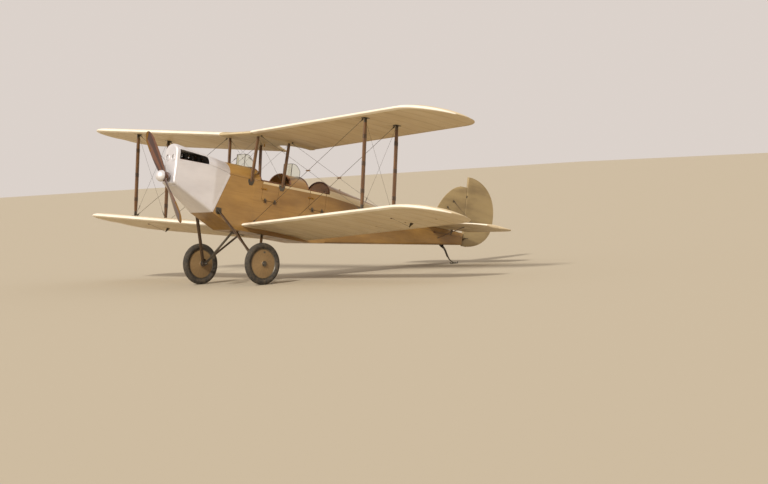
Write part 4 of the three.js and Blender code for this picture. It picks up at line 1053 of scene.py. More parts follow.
centre_x = [-CENTRE_HALF, -360, -320]
centre_x += [CUTOUT_HALF * math.sin(math.radians(a)) for a in range(-90, 91, 6)]
centre_x += [320, 360, CENTRE_HALF]
add("fuel_tank_centre_section", placed(loft([centre_ring(x) for x in centre_x]), CENTRE), TANK,
    cad=["fuel_tank_centre_section"], crease=40)


def tank_fittings():
    """Straps, rivets, filler, gauge and drain of the tank."""
    straps, rivets = [], []
    for x in (-366, -200, 0, 200, 366):
        for side in (1, -1):
            last = min(0.965, centre_back(x) / CHORD - 0.02)

            def point(t, across, lift, x=x, side=side, last=last):
                return CENTRE @ centre_skin(x + across, 0.015 + (last - 0.015) * t, side, lift)
            straps.append(ribbon(point, 40, 34, 1.4))
            for k in range(int(last * CHORD / 34) - 1):
                share = 0.035 + k * 34 / CHORD
                for across in (-12, 12):
                    at = CENTRE @ centre_skin(x + across, share, side, 1.2)
                    rivets.append(dome(at, CENTRE.to_3x3() @ Vector((0, 0, side)), 2.6, 1.5, 6))
    add("tank_straps", merge(*straps), TANK)
    add("tank_rivets", merge(*rivets), STEEL)
    top = CENTRE @ centre_skin(96, 0.34, 1)
    filler = lathe([(46, -3), (46, 4), (34, 7), (34, 20), (31, 23), (0.5, 23)], top, (0, 0, 1), 36)
    grips = [block((-33, -5, 22), (33, 5, 31)), block((-5, -33, 22), (5, 33, 31))]
    cap = merge(filler, *[shifted(g, *top) for g in grips])
    add("tank_filler_cap", cap, BRASS, bevel=1.2)
    low = CENTRE @ centre_skin(-70, 0.5, -1)
    sump = lathe([(70, 3), (70, -3), (52, -14), (24, -24), (14, -30), (0.5, -30)], low, (0, 0, 1), 30)
    add("tank_sump", sump, TANK)
    gauge = merge(rod(low + Vector((0, 0, -24)), low + Vector((0, 0, -66)), 9, 16),
                  hexagon(low + Vector((0, 0, -62)), (0, 0, -1), 12, 9))
    add("tank_drain", gauge, BRASS)


tank_fittings()


def root_strip():
    """The metal strip over the step between the centre section and the wing."""
    shapes = []
    for side in (1, -1):
        rows = []
        for share in steps_between(0.004, 0.979, 0.016):
            on_centre = CENTRE @ centre_skin(CENTRE_HALF + 2, share, side, 2)
            on_wing = UPPER @ wing_skin(CENTRE_HALF - 2, share, side, 2)
            rows.append([CENTRE @ centre_skin(CENTRE_HALF - 30, share, side, 2),
                         on_centre if side < 0 else on_wing,
                         UPPER @ wing_skin(CENTRE_HALF + 31, share, side, 2)])
        shapes.append(sheet([list(reversed(row)) for row in rows] if side > 0 else rows, 1.8))
    return merge(*shapes)


pair("wing_root_strip", root_strip(), TANK)

# Struts

SECTION_SIDES = 28
PLATE_HALF_X, PLATE_HALF_Y = 48, 62


def strut_ring(at, chord, thickness, scale=1.0):
    """A streamlined section with its thick end forward."""
    ring = []
    for t in turns(SECTION_SIDES):
        fullness = 1 + 0.28 * math.cos(t)
        ring.append(Vector((at[0] + math.sin(t) * fullness * thickness / 2 * scale,
                            at[1] - math.cos(t) * chord / 2 * scale, at[2])))
    return ring


def strut_scale(share, taper=0.3):
    """How full a strut is at a share of its length. It is slimmer at both ends."""
    return 1 - taper * (1 - min(1.0, math.sin(math.pi * share) * 1.6)) ** 1.6


def strut(a, b, chord, thickness, taper=0.3):
    a, b = Vector(a), Vector(b)
    return loft([strut_ring(a.lerp(b, t), chord, thickness, strut_scale(t, taper))
                 for t in (k / 24 for k in range(25))])


def strut_end(at, beyond, chord, thickness, length=70):
    """The steel socket of a strut's end, with its bolts. beyond is where the strut goes."""
    at, beyond = Vector(at), Vector(beyond)
    line = (beyond - at).normalized()
    foot = at - line * 2
    rings = [strut_ring(foot + line * h, chord, thickness, s) for h, s in
             ((0, 0.62), (6, 0.82), (length - 8, 0.86), (length, 0.84))]
    shapes = [loft(rings)]
    for h in (length * 0.35, length * 0.7):
        for side in (1, -1):
            spot = foot + line * h + Vector((side * thickness * 0.48, -chord * 0.08, 0))
            shapes.append(hexagon(spot, (side, 0, 0), 5, 4))
    return merge(*shapes)


BINDING_LENGTH, BINDING_STEPS = 64, 36


def binding(a, b, chord, thickness, share):
    """Cord wound round a strut."""
    a, b = Vector(a), Vector(b)
    line = (b - a).normalized()
    middle = a.lerp(b, share)
    rings = []
    for k in range(BINDING_STEPS + 1):
        h = (k / BINDING_STEPS - 0.5) * BINDING_LENGTH
        swell = 1.045 + 0.025 * abs(math.sin(k * math.pi / 4))
        if k in (0, BINDING_STEPS):
            swell = 1.0
        rings.append(strut_ring(middle + line * h, chord, thickness, strut_scale(share) * swell))
    return loft(rings)


def base_plate(matrix, x, along, side):
    """The plate that a strut stands on, bolted to the spar."""
    corners = []
    for t in turns(32):
        c, s = math.cos(t), math.sin(t)
        corners.append((PLATE_HALF_X * abs(c) ** 0.55 * math.copysign(1, c),
                        PLATE_HALF_Y * abs(s) ** 0.55 * math.copysign(1, s)))
    low = [matrix @ wing_skin(x + dx, (along + dy) / CHORD, side, -0.8) for dx, dy in corners]
    high = [matrix @ wing_skin(x + dx * 0.97, (along + dy * 0.97) / CHORD, side, 2.6) for dx, dy in corners]
    up = matrix.to_3x3() @ Vector((0, 0, side))
    bolts = [hexagon(matrix @ wing_skin(x + dx, (along + dy) / CHORD, side, 2.4), up, 5.5, 4)
             for dx in (-34, 34) for dy in (-46, 46)]
    return merge(loft([low, high]), *bolts)


SPARS = [("front", FRONT_SPAR), ("rear", REAR_SPAR)]
STRUT_CHORD, STRUT_THICKNESS = 72, 30
for name, along in SPARS:
    foot = LOWER @ wing_skin(STRUT_STATION, along / CHORD, 1, 1)
    head = UPPER @ wing_skin(STRUT_STATION, along / CHORD, -1, 1)
    pair(f"interplane_strut_{name}", strut(foot, head, STRUT_CHORD, STRUT_THICKNESS), SPRUCE,
         cad=[f"interplane_strut_{name}_{{side}}"])
    ends = merge(strut_end(foot, head, STRUT_CHORD, STRUT_THICKNESS),
                 strut_end(head, foot, STRUT_CHORD, STRUT_THICKNESS),
                 base_plate(LOWER, STRUT_STATION, along, 1), base_plate(UPPER, STRUT_STATION, along, -1))
    pair(f"interplane_strut_ends_{name}", ends, STEEL)
    wound = [binding(foot, head, STRUT_CHORD, STRUT_THICKNESS, share) for share in (0.2, 0.5, 0.8)]
    pair(f"interplane_strut_binding_{name}", merge(*wound), GEAR)

CABANE = {"foot": 318, "head": 385, "foot_z": 735, "rake": 12, "chord": 62, "thickness": 25}
CABANE_PLATE = ((-58, 34), (-58, -6), (-30, -60), (30, -60), (58, -6), (58, 34))
CABANE_BOLTS = ((-42, 14), (42, 14), (-20, -40), (20, -40))
cabane_ends = {}
for name, along in SPARS:
    anchor = CENTRE @ Vector((CABANE["head"], along, 40))
    foot = Vector((CABANE["foot"], anchor.y + CABANE["rake"], CABANE["foot_z"]))
    head = CENTRE @ centre_skin(CABANE["head"], along / CHORD, -1, 1)
    cabane_ends[name] = (foot, head)
    pair(f"cabane_strut_{name}", strut(foot, head, CABANE["chord"], CABANE["thickness"], 0.2), SPRUCE,
         cad=[f"cabane_strut_{name}_{{side}}"])
    socket = strut_end(head, foot, CABANE["chord"], CABANE["thickness"], 56)
    shoe_at = foot + Vector((0, 0, 20))
    shoe = strut_end(shoe_at, head, CABANE["chord"] * 1.05, CABANE["thickness"] * 1.1, 90)
    plate = bowed([(0, foot.y + dy, CABANE["foot_z"] + dz) for dy, dz in CABANE_PLATE],
                  (FUSELAGE_HALF - 0.5, 0, 0), (1, 0, 0), 5)
    bolts = [hexagon((FUSELAGE_HALF + 4, foot.y + dy, CABANE["foot_z"] + dz), (1, 0, 0), 5.5, 4.5)
             for dy, dz in CABANE_BOLTS]
    pair(f"cabane_fittings_{name}", merge(socket, shoe, plate, *bolts), STEEL)

# Wires

WIRE_CHORD, WIRE_THICKNESS = 9.5, 3.2


def square_to(line):
    """Two unit vectors square to a wire, the first as nearly along the aircraft as it can lie."""
    along = Vector((0, 1, 0))
    along = (along - line * line.dot(along)).normalized()
    return along, line.cross(along)


def flat_wire(a, b):
    """A streamlined wire, its long way along the aircraft."""
    a, b = Vector(a), Vector(b)
    along, across = square_to((b - a).normalized())
    rings = []
    for t, size in ((0, 0.35), (0.012, 1.0), (0.5, 1.0), (0.988, 1.0), (1, 0.35)):
        at = a.lerp(b, t)
        rings.append([at + along * math.cos(v) * WIRE_CHORD / 2 * size + across * math.sin(v)
                      * WIRE_THICKNESS / 2 for v in turns(10)])
    return loft(rings)


FORK_REACH, LUG_SIZE = 56, 26


def fork(at, line):
    """A fork end with its pin, a threaded stub and a locknut. at is the pin, line points along the wire."""
    at, line = Vector(at), Vector(line).normalized()
    along, across = square_to(line)
    shapes = [rod(at + line * 26, at + line * (FORK_REACH + 40), 3.2, 10),
              lathe([(6.5, 0), (6.5, 12), (3.2, 14)], at + line * FORK_REACH, line, 6),
              rod(at - along * 12, at + along * 12, 4, 12),
              lathe([(6.5, 22), (7.5, 24), (7.5, 34), (4, 40)], at, line, 14)]
    for side in (-1, 1):
        cheek = [at + line * x + across * y + along * (side * 7 - 1.5) for x, y in
                 ((-9, -4), (-9, 4), (-4, 8), (28, 7), (28, -7), (-4, -8))]
        shapes.append(prism(cheek, along * 3))
    return merge(*shapes)


def lug(at, normal):
    """The plate that a fork end is pinned to."""
    at, normal = Vector(at), Vector(normal).normalized()
    side = normal.cross(Vector((0, 1, 0))).normalized()
    half = LUG_SIZE / 2
    outline = [at + side * x + normal * y for x, y in
               ((-LUG_SIZE, -4), (LUG_SIZE, -4), (half, half), (7, LUG_SIZE), (-7, LUG_SIZE), (-half, half))]
    return prism([p - Vector((0, 2, 0)) for p in outline], (0, 4, 0))


def braced(a, a_normal, b, b_normal, flat=True):
    """A main wire between two plates, with a fork at each end."""
    pin_a, pin_b = Vector(a) + Vector(a_normal) * 20, Vector(b) + Vector(b_normal) * 20
    line = (pin_b - pin_a).normalized()
    wire = flat_wire(pin_a + line * 84, pin_b - line * 84) if flat else rod(pin_a, pin_b, 2, 8)
    return wire, merge(fork(pin_a, line), fork(pin_b, -line), lug(a, a_normal), lug(b, b_normal))


def meeting(a, b, c, d):
    """Where two wires cross in front view, on the first."""
    below = (b.x - a.x) * (d.z - c.z) - (b.z - a.z) * (d.x - c.x)
    return a.lerp(b, ((c.x - a.x) * (d.z - c.z) - (c.z - a.z) * (d.x - c.x)) / below)


up_from_lower = (LOWER.to_3x3() @ Vector((0, 0, 1))).normalized()
down_from_upper = (UPPER.to_3x3() @ Vector((0, 0, -1))).normalized()
for name, along in SPARS:
    share = along / CHORD
    root_low = LOWER @ wing_skin(FUSELAGE_HALF + 52, share, 1)
    tip_high = UPPER @ wing_skin(STRUT_STATION - 66, share, -1)
    root_high = UPPER @ wing_skin(CENTRE_HALF + 52, share, -1)
    tip_low = LOWER @ wing_skin(STRUT_STATION - 66, share, 1)
    flying, flying_ends = braced(root_low, up_from_lower, tip_high, down_from_upper)
    landing, landing_ends = braced(root_high, down_from_upper, tip_low, up_from_lower)
    cross = meeting(root_low + up_from_lower * 20, tip_high + down_from_upper * 20,
                    root_high + down_from_upper * 20, tip_low + up_from_lower * 20)
    spindle = lathe([(0.5, -60), (5, -56), (10, -36), (12, -12), (12, 12), (10, 36), (5, 56), (0.5, 60)],
                    cross, (1, 0, 0), 20)
    pair(f"bracing_wires_{name}", merge(flying, landing), STEEL, cad=[f"bracing_wires_{name}_{{side}}"])
    pair(f"bracing_wire_ends_{name}", merge(flying_ends, landing_ends), STEEL)
    pair(f"wire_crossing_{name}", spindle, SPRUCE)


def cross_wire(a, b, radius=1.8):
    """A light round wire with a turnbuckle near its lower end."""
    a, b = Vector(a), Vector(b)
    line = (b - a).normalized()
    barrel = lathe([(2, 0), (4, 6), (6.2, 16), (6.8, 45), (6.2, 74), (4, 84), (2, 90)], a + line * 70, line,
                   12)
    return merge(tube([a, b], radius, 8), barrel, tube([a, a + line * 66], 2.6, 8),
                 tube([b - line * 50, b], 3.0, 8))


(low_front, high_front), (low_rear, high_rear) = [
    (LOWER @ wing_skin(STRUT_STATION, along / CHORD, 1, 46),
     UPPER @ wing_skin(STRUT_STATION, along / CHORD, -1, 46)) for _, along in SPARS]
(front_foot, front_head), (rear_foot, rear_head) = cabane_ends["front"], cabane_ends["rear"]
lift = Vector((0, 0, 90))
incidence = [
    cross_wire(low_front + Vector((9, 20, 0)), high_rear + Vector((9, -20, 0))),
    cross_wire(low_rear + Vector((-9, -20, 0)), high_front + Vector((-9, 20, 0))),
    cross_wire(front_foot + lift + Vector((9, 24, 0)), rear_head + Vector((5, -24, -40))),
    cross_wire(rear_foot + lift + Vector((-7, -24, 0)), front_head + Vector((-9, 24, -40))),
]
across_top = front_head + Vector((-16, 0, -40))
across_foot = front_foot + Vector((0, 0, 330))
across_foot.x = -across_foot.x + 12
pair("incidence_wires", merge(*incidence), STEEL)
pair("cabane_cross_wire", cross_wire(across_foot, across_top, 1.6), STEEL)

# Tail surfaces

TAILPLANE_HALF, TAILPLANE_FRONT, TAILPLANE_STRAIGHT, ELEVATOR_STRAIGHT = 1420, 4020, 1000, 1080
ELEVATOR_HINGE_Y, ELEVATOR_BACK, TAIL_THICKNESS = 4640, 5060, 52
TAIL_SEAT_Y, TAIL_SEAT_Z = 3950, 607
TAIL_Z = TAIL_SEAT_Z + 0.5 + TAIL_THICKNESS / 2 + 0.3
TAIL_NOSE = TAIL_THICKNESS / 2 - 2
TAIL_RIB_PITCH = 232
TAIL_RIBS = [TAIL_RIB_PITCH * k for k in range(1, 6)]
TAIL_SAG = 2.4
ELEVATOR_HINGES = (560, 1180)


def tail_sag(place, share, pitch=TAIL_RIB_PITCH, first=0.0):
    middle = ease(share, 0.04, 0.3) * (1 - ease(share, 0.75, 0.97))
    return TAIL_SAG * math.sin(math.pi * (place - first) / pitch) ** 2 * middle


def tailplane_skin(x, share, side, lift=0.0):
    into = min(max((abs(x) - TAILPLANE_STRAIGHT) / (TAILPLANE_HALF - TAILPLANE_STRAIGHT), 0), 0.98)
    front = TAILPLANE_FRONT + abs(x) * 0.1 + 260 * (1 - math.sqrt(1 - into ** 2))
    back = ELEVATOR_HINGE_Y - TAIL_NOSE - CLEAR
    part = min(max(share / 0.65, 0.002), 1)
    half = TAIL_THICKNESS / 2 * math.sqrt(1 - (1 - part) ** 2) - max(share - 0.65, 0) / 0.35
    return Vector((x, front + (back - front) * share, TAIL_Z + side * (half - tail_sag(x, share) + lift)))


def elevator_skin(x, share, side, lift=0.0):
    into = min(max((abs(x) - ELEVATOR_STRAIGHT) / (TAILPLANE_HALF - ELEVATOR_STRAIGHT), 0), 0.98)
    back = ELEVATOR_BACK - 230 * (1 - math.sqrt(1 - into ** 2))
    half = TAIL_NOSE + (4 - TAIL_NOSE) * share
    return Vector((x, ELEVATOR_HINGE_Y + (back - ELEVATOR_HINGE_Y) * share,
                   TAIL_Z + side * (half - tail_sag(x, share) + lift)))


TAIL_SHARES = [0, 0.004, 0.015, 0.035, 0.07, 0.12, 0.2, 0.3, 0.4, 0.5, 0.6, 0.7, 0.8, 0.88, 0.94, 1]
tail_places = steps_between(-1410, 1410, TAIL_RIB_PITCH / 8)
tail_rings = [both_faces(tailplane_skin, x, TAIL_SHARES) for x in tail_places]
tail_rings = [*reversed(round_end(tail_rings[0], (-1, 0, 0))), *tail_rings, *round_end(tail_rings[-1])]
add("tailplane", loft(tail_rings), LINEN, cad=["tailplane"], crease=LINEN_CREASE)


def elevator_ring(x, in_slot):
    ring = both_faces(elevator_skin, x, steps_between(0, 1, 0.06))
    ring += [Vector((x, ELEVATOR_HINGE_Y + along, TAIL_Z + across))
             for across, along in round_nose(TAIL_NOSE)]
    return behind_line(ring, ELEVATOR_HINGE_Y + BEHIND_SLOT) if in_slot else ring


elevator_rings = [elevator_ring(x, in_slot) for x, in_slot in
                  stations(135, 1405, TAIL_RIB_PITCH / 8, slots_at(ELEVATOR_HINGES))]
elevator_rings += round_end(elevator_rings[-1])
elevator = loft(elevator_rings)
torque_tube = rod((-150, ELEVATOR_HINGE_Y, TAIL_Z), (150, ELEVATOR_HINGE_Y, TAIL_Z), 11, 24)
add("elevator", merge(elevator, mirror(elevator)), LINEN, "elevator", ["elevator"], crease=LINEN_CREASE)
add("elevator_torque_tube", torque_tube, STEEL, "elevator")
pair("tailplane_rib_tapes", rib_tapes(tailplane_skin, TAIL_RIBS[:-1], lambda x: (0.03, 0.96), 580, 40), TAPE)
pair("elevator_rib_tapes", rib_tapes(elevator_skin, TAIL_RIBS[:-1], lambda x: (0.05, 0.95), 420, 30), TAPE,
     "elevator")
front_faces = [(s, 1) for s in (0.05, 0.03, 0.015, 0.004, 0)] + [(s, -1) for s in (0.004, 0.015, 0.03, 0.05)]
rear_faces = [(0.93, 1), (0.97, 1), (1, 1), (1, -1), (0.97, -1), (0.93, -1)]
# The nose tape carries the painted highlight of the sunlit leading edge.
add("tailplane_nose_tape", edge_tape(tailplane_skin, tail_places, front_faces), HIGHLIGHT_NOSE_TAPE)
pair("elevator_edge_tape", edge_tape(elevator_skin, steps_between(138, 1400, 30), rear_faces), TAPE,
     "elevator")
tail_reach = TAIL_NOSE + CLEAR + 6
brackets, barrels = hinge_row([(x, ELEVATOR_HINGE_Y, TAIL_Z) for x in ELEVATOR_HINGES],
                              (1, 0, 0), (0, 1, 0), (0, -1, 0), tail_reach)
pair("elevator_hinge_brackets", brackets, STEEL)
pair("elevator_hinge_barrels", barrels, STEEL, "elevator")

FIN_BOTTOM = TAIL_Z + TAIL_THICKNESS / 2 + 0.3
FIN_TOP, FIN_FRONT, RUDDER_NOSE, RUDDER_HINGE_Y, RUDDER_BACK = 1420, 4330, 20, 5070, 5720
RUDDER_TOP, RUDDER_BOTTOM, RUDDER_MIDDLE = 1600, 385, 930
FIN_BACK = RUDDER_HINGE_Y - RUDDER_NOSE - CLEAR
FIN_RIB_PITCH, FIN_RIB_FIRST = 150, 435
RUDDER_HINGES = [(500, 5030), (800, FIN_BACK), (1250, FIN_BACK)]


def fin_skin(z, share, side, lift=0.0):
    rise = min(max((z - FIN_BOTTOM) / (FIN_TOP - FIN_BOTTOM), 0), 0.985)
    front = FIN_FRONT + (FIN_BACK - 60 - FIN_FRONT) * (1 - math.sqrt(1 - rise ** 2)) ** 0.8
    half = 4 + 11 * min(share / 0.35, 1) ** 0.75 + 4 * max(share - 0.35, 0) / 0.65
    half *= min(1.0, (share / 0.012) ** 0.5) if share < 0.012 else 1.0
    sag = tail_sag(z, share, FIN_RIB_PITCH, FIN_RIB_FIRST) * 0.7
    return Vector((side * (half - sag + lift), front + (FIN_BACK - front) * share, z))


def rudder_skin(z, share, side, lift=0.0):
    span = RUDDER_TOP - RUDDER_MIDDLE if z > RUDDER_MIDDLE else RUDDER_MIDDLE - RUDDER_BOTTOM
    out = min(abs(z - RUDDER_MIDDLE) / span, 0.99)
    back = RUDDER_HINGE_Y + (RUDDER_BACK - RUDDER_HINGE_Y) * math.sqrt(1 - out ** 2.4)
    half = RUDDER_NOSE + (4 - RUDDER_NOSE) * share - tail_sag(z, share, FIN_RIB_PITCH, FIN_RIB_FIRST) * 0.7
    return Vector((side * (half + lift), RUDDER_HINGE_Y + (back - RUDDER_HINGE_Y) * share, z))


fin_levels = [FIN_BOTTOM + (FIN_TOP - FIN_BOTTOM) * 0.985 * math.sin(t) for t in quarter(44)]
fin_rings = [both_faces(fin_skin, z, TAIL_SHARES) for z in fin_levels]
fin_rings += round_end(fin_rings[-1], (0, 0, 1), (1, 0, 0), 6)
add("fin", loft(fin_rings), TAIL, cad=["fin"], crease=LINEN_CREASE)


def rudder_ring(z, in_slot):
    ring = both_faces(rudder_skin, z, steps_between(0, 1, 0.05))
    ring += [Vector((across, RUDDER_HINGE_Y + along, z)) for across, along in round_nose(RUDDER_NOSE)]
    return behind_line(ring, RUDDER_HINGE_Y + BEHIND_SLOT, 0) if in_slot else ring


rudder_low = RUDDER_MIDDLE - 0.99 * (RUDDER_MIDDLE - RUDDER_BOTTOM)
rudder_high = RUDDER_MIDDLE + 0.99 * (RUDDER_TOP - RUDDER_MIDDLE)
rudder_rings = [rudder_ring(z, in_slot) for z, in_slot in
                stations(rudder_low, rudder_high, 11, slots_at([z for z, _ in RUDDER_HINGES]))]
rudder_rings = [*reversed(round_end(rudder_rings[0], (0, 0, -1), (1, 0, 0), 5)), *rudder_rings,
                *round_end(rudder_rings[-1], (0, 0, 1), (1, 0, 0), 6)]
add("rudder", loft(rudder_rings), TAIL, "rudder", ["rudder"], crease=LINEN_CREASE)
fin_ribs = [FIN_RIB_FIRST + FIN_RIB_PITCH * k for k in range(2, 7)]
rudder_ribs = [FIN_RIB_FIRST + FIN_RIB_PITCH * k for k in range(0, 8)]
add("fin_rib_tapes", rib_tapes(fin_skin, fin_ribs, lambda z: (0.05, 0.96), 500, 36), TAIL)
add("rudder_rib_tapes", rib_tapes(rudder_skin, rudder_ribs, lambda z: (0.05, 0.95), 560, 40), TAIL, "rudder")
add("fin_nose_tape", edge_tape(fin_skin, fin_levels[:-2], front_faces), TAIL)
rudder_levels = steps_between(rudder_low + 4, rudder_high - 4, 16)
add("rudder_edge_tape", edge_tape(rudder_skin, rudder_levels, rear_faces), TAIL, "rudder")


def rudder_hinge(z, reach):
    return hinge((0, RUDDER_HINGE_Y, z), (0, 0, 1), (0, 1, 0), (0, -1, 0), reach)


brackets = [rudder_hinge(z, RUDDER_HINGE_Y - carrier + 8)[0] for z, carrier in RUDDER_HINGES]
barrels = [rudder_hinge(z, 30)[1] for z, _ in RUDDER_HINGES]
add("rudder_hinge_brackets", merge(*brackets), STEEL)
add("rudder_hinge_barrels", merge(*barrels), STEEL, "rudder")

# Hull: the same cross-sections as the CAD

NOSE_Y, NOSE_CAP, SHAFT_Z = -1180, 60, 590
FIREWALL_Y, REAR_BULKHEAD_Y, STERN_Y = -215, 1830, 5030
LONGERON_Z, FLOOR_Z, PANEL, DECK_SKIN, COWL_SKIN = 780, -75, 14, 6, 5
STATIONS = [
    (NOSE_Y, 165, 500, 1000, 1140),
    (-480, FUSELAGE_HALF, 135, 852, 1035),
    (FIREWALL_Y, FUSELAGE_HALF, 21, LONGERON_Z + 10, 1000),
    (10, FUSELAGE_HALF, FLOOR_Z, LONGERON_Z, 996),
    (1500, FUSELAGE_HALF, FLOOR_Z, LONGERON_Z, 990),
    (REAR_BULKHEAD_Y, FUSELAGE_HALF, -30, LONGERON_Z, 985),
]


def hull_at(y):
    """Half width, underside, shoulder and top."""
    if y > REAR_BULKHEAD_Y:
        part = min((y - REAR_BULKHEAD_Y) / (TAIL_SEAT_Y - REAR_BULKHEAD_Y), 1)
        aft = (y - REAR_BULKHEAD_Y) / (STERN_Y - REAR_BULKHEAD_Y)
        shoulder = LONGERON_Z + (TAIL_SEAT_Z - LONGERON_Z) * part
        return 40 + 265 * (1 - aft ** 1.4), -30 + 430 * aft, shoulder, shoulder + 205 * (1 - part) + 0.5
    for a, b in zip(STATIONS, STATIONS[1:]):
        if y <= b[0]:
            t = (y - a[0]) / (b[0] - a[0])
            return tuple(p + (q - p) * t for p, q in zip(a[1:], b[1:]))
    return STATIONS[-1][1:]


def arch(y, angle, skin=0.0):
    half, _, shoulder, top = hull_at(y)
    return Vector((math.cos(angle) * (half - skin), y, shoulder + math.sin(angle) * (top - shoulder - skin)))


def arch_above(y, x):
    half, _, shoulder, top = hull_at(y)
    return shoulder + (top - shoulder) * math.sqrt(max(1 - (x / half) ** 2, 0))


# Rear fuselage with the luggage locker

SHORT_REACH = 34
LOCKER = {"from": 1990, "to": 2330, "half": 150, "floor": 640, "skin": 8}
OPENING = {"from": LOCKER["from"] - CLEAR, "to": LOCKER["to"] + CLEAR, "half": LOCKER["half"] + CLEAR}
SIDE_STEPS, ARCH_STEPS, TOP_STEPS = 8, 10, 14


def rear_ring(y):
    half, low, shoulder, _ = hull_at(y)
    split = math.acos(min(OPENING["half"], 0.55 * half) / half)
    corner = min(30, half * 0.5)
    ring = [Vector((half - corner + corner * math.sin(t), y, low + corner - corner * math.cos(t)))
            for t in quarter(5)]
    ring += [Vector((half, y, low + corner + (shoulder - low - corner) * k / SIDE_STEPS))
             for k in range(1, SIDE_STEPS)]
    ring += [arch(y, split * k / ARCH_STEPS) for k in range(ARCH_STEPS)]
    ring += [arch(y, split + (math.pi / 2 - split) * k / (TOP_STEPS / 2)) for k in range(TOP_STEPS // 2 + 1)]
    return both_halves(ring)


def rear_fuselage():
    places = sorted({*steps_between(REAR_BULKHEAD_Y, OPENING["from"], 40),
                     *steps_between(OPENING["from"], OPENING["to"], 32),
                     *steps_between(OPENING["to"], TAIL_SEAT_Y, 45),
                     *steps_between(TAIL_SEAT_Y, STERN_Y, 45)})
    rings = [rear_ring(y) for y in places]
    count = len(rings[0])
    first = 6 + SIDE_STEPS - 1 + ARCH_STEPS
    last = first + TOP_STEPS
    rows = [r for r, y in enumerate(places) if OPENING["from"] - 0.01 <= y <= OPENING["to"] + 0.01]
    points = [p for ring in rings for p in ring]
    faces = [tuple(reversed(range(count))), tuple(range(len(points) - count, len(points)))]
    for r in range(len(rings) - 1):
        for i in range(count):
            if rows[0] <= r < rows[-1] and first <= i < last:
                continue
            j = (i + 1) % count
            faces.append((r * count + i, r * count + j, (r + 1) * count + j, (r + 1) * count + i))
    rim = [rows[0] * count + i for i in range(first, last)]
    rim += [r * count + last for r in rows[:-1]]
    rim += [rows[-1] * count + i for i in range(last, first, -1)]
    rim += [r * count + first for r in reversed(rows[1:])]
    inner_half = LOCKER["half"] - LOCKER["skin"]
    middle = (LOCKER["from"] + LOCKER["to"]) / 2
    inner_y = (LOCKER["to"] - LOCKER["from"]) / 2 - LOCKER["skin"]
    outer_y = (OPENING["to"] - OPENING["from"]) / 2
    loops = [rim]
    for depth in range(3):
        loop = []
        for i in rim:
            p = points[i]
            q = Vector((p.x, p.y, arch_above(p.y, p.x) - LOCKER["skin"]))
            if depth > 0:
                q.x = p.x * inner_half / OPENING["half"]
                q.y = middle + (p.y - middle) * inner_y / outer_y
                q.z = arch_above(q.y, q.x) - LOCKER["skin"] if depth == 1 else LOCKER["floor"]
            loop.append(len(points))
            points.append(q)
        loops.append(loop)
    for a, b in zip(loops, loops[1:]):
        for k in range(len(rim)):
            n = (k + 1) % len(rim)
            faces.append((a[k], a[n], b[n], b[k]))
    faces.append(tuple(loops[-1]))
    return points, faces


add("rear_fuselage", rear_fuselage(), PLY, cad=["rear_fuselage"], crease=30)

lid_grid = [[Vector((x, y, arch_above(y, x))) for x in steps_between(-LOCKER["half"], LOCKER["half"], 15)]
            for y in steps_between(LOCKER["from"], LOCKER["to"], 17)]
lid_grid = [list(reversed(row)) for row in lid_grid]
add("locker_lid", sheet(lid_grid, LOCKER["skin"] - 0.3), PLY, "locker_lid", ["locker_lid"], bevel=1.2)
lid_middle = (LOCKER["from"] + LOCKER["to"]) / 2
lid_edge = -LOCKER["half"] - 3
lid_rise = arch_above(LOCKER["to"], lid_edge) - arch_above(LOCKER["from"], lid_edge)
lid_axis = Vector((0, LOCKER["to"] - LOCKER["from"], lid_rise)).normalized()
lid_point = Vector((lid_edge, lid_middle, arch_above(lid_middle, lid_edge) + 11))
steep, shallow = math.radians(35), math.radians(12)
brackets, barrels = hinge_row([lid_point + lid_axis * offset for offset in (-110, 110)], lid_axis,
                              (math.cos(shallow), 0, -math.sin(shallow)),
                              (-math.cos(steep), 0, -math.sin(steep)), SHORT_REACH)
add("locker_hinge_brackets", brackets, STEEL)
add("locker_hinge_barrels", barrels, STEEL, "locker_lid")

# Decking round the cockpits, with its leather edges and the instrument boards

COCKPITS = [(330, 1010), (1300, 1790)]
COCKPIT_SLOPE, SLOPE_TOP, DECK_ROWS = 90, 1100, 26
BOARD_LOW, BOARD_AHEAD, BOARD_THICKNESS = 600, 40, 8
INNER = FUSELAGE_HALF - PANEL - 0.3


def sloped(start, z):
    """Where the sloping edge of a cockpit that starts at "start" lies, at height z."""
    return start + COCKPIT_SLOPE * (SLOPE_TOP - z) / (SLOPE_TOP - LONGERON_Z + 50)


def deck_row(front, back, angle):
    """Points of the deck at one angle, between two edges given as functions of height."""
    z = arch(front(900), angle).z
    a, b = front(z), back(arch(back(z), angle).z)
    return [arch(y, angle) for y in steps_between(a, b, (b - a) / DECK_ROWS)]


def decking(front, back):
    angles = [math.pi * k / 56 for k in range(57)]
    return sheet([list(row) for row in zip(*[deck_row(front, back, a) for a in angles])][::-1], DECK_SKIN)


def instrument_board(y):
    half, _, shoulder, top = hull_at(y)
    width = half - DECK_SKIN + 0.5
    outline = [(-INNER, y, BOARD_LOW), (INNER, y, BOARD_LOW), (INNER, y, shoulder)]
    outline += [(width * math.cos(a), y, shoulder + (top - shoulder - DECK_SKIN + 0.5) * math.sin(a))
                for a in (math.pi * k / 40 for k in range(1, 40))]
    outline += [(-INNER, y, shoulder)]
    return prism(outline, (0, BOARD_THICKNESS, 0))


DECKS = [("front_decking", lambda z: FIREWALL_Y + 0.3, COCKPITS[0][0]),
         ("middle_decking", lambda z: COCKPITS[0][1], COCKPITS[1][0])]
for name, front, start in DECKS:
    def back(z, start=start):
        return sloped(start, z)
    add(name, decking(front, back), PLY, cad=[name], bevel=1.0)
    add(f"{name}_board", instrument_board(start - BOARD_AHEAD), VARNISHED, bevel=1.0)


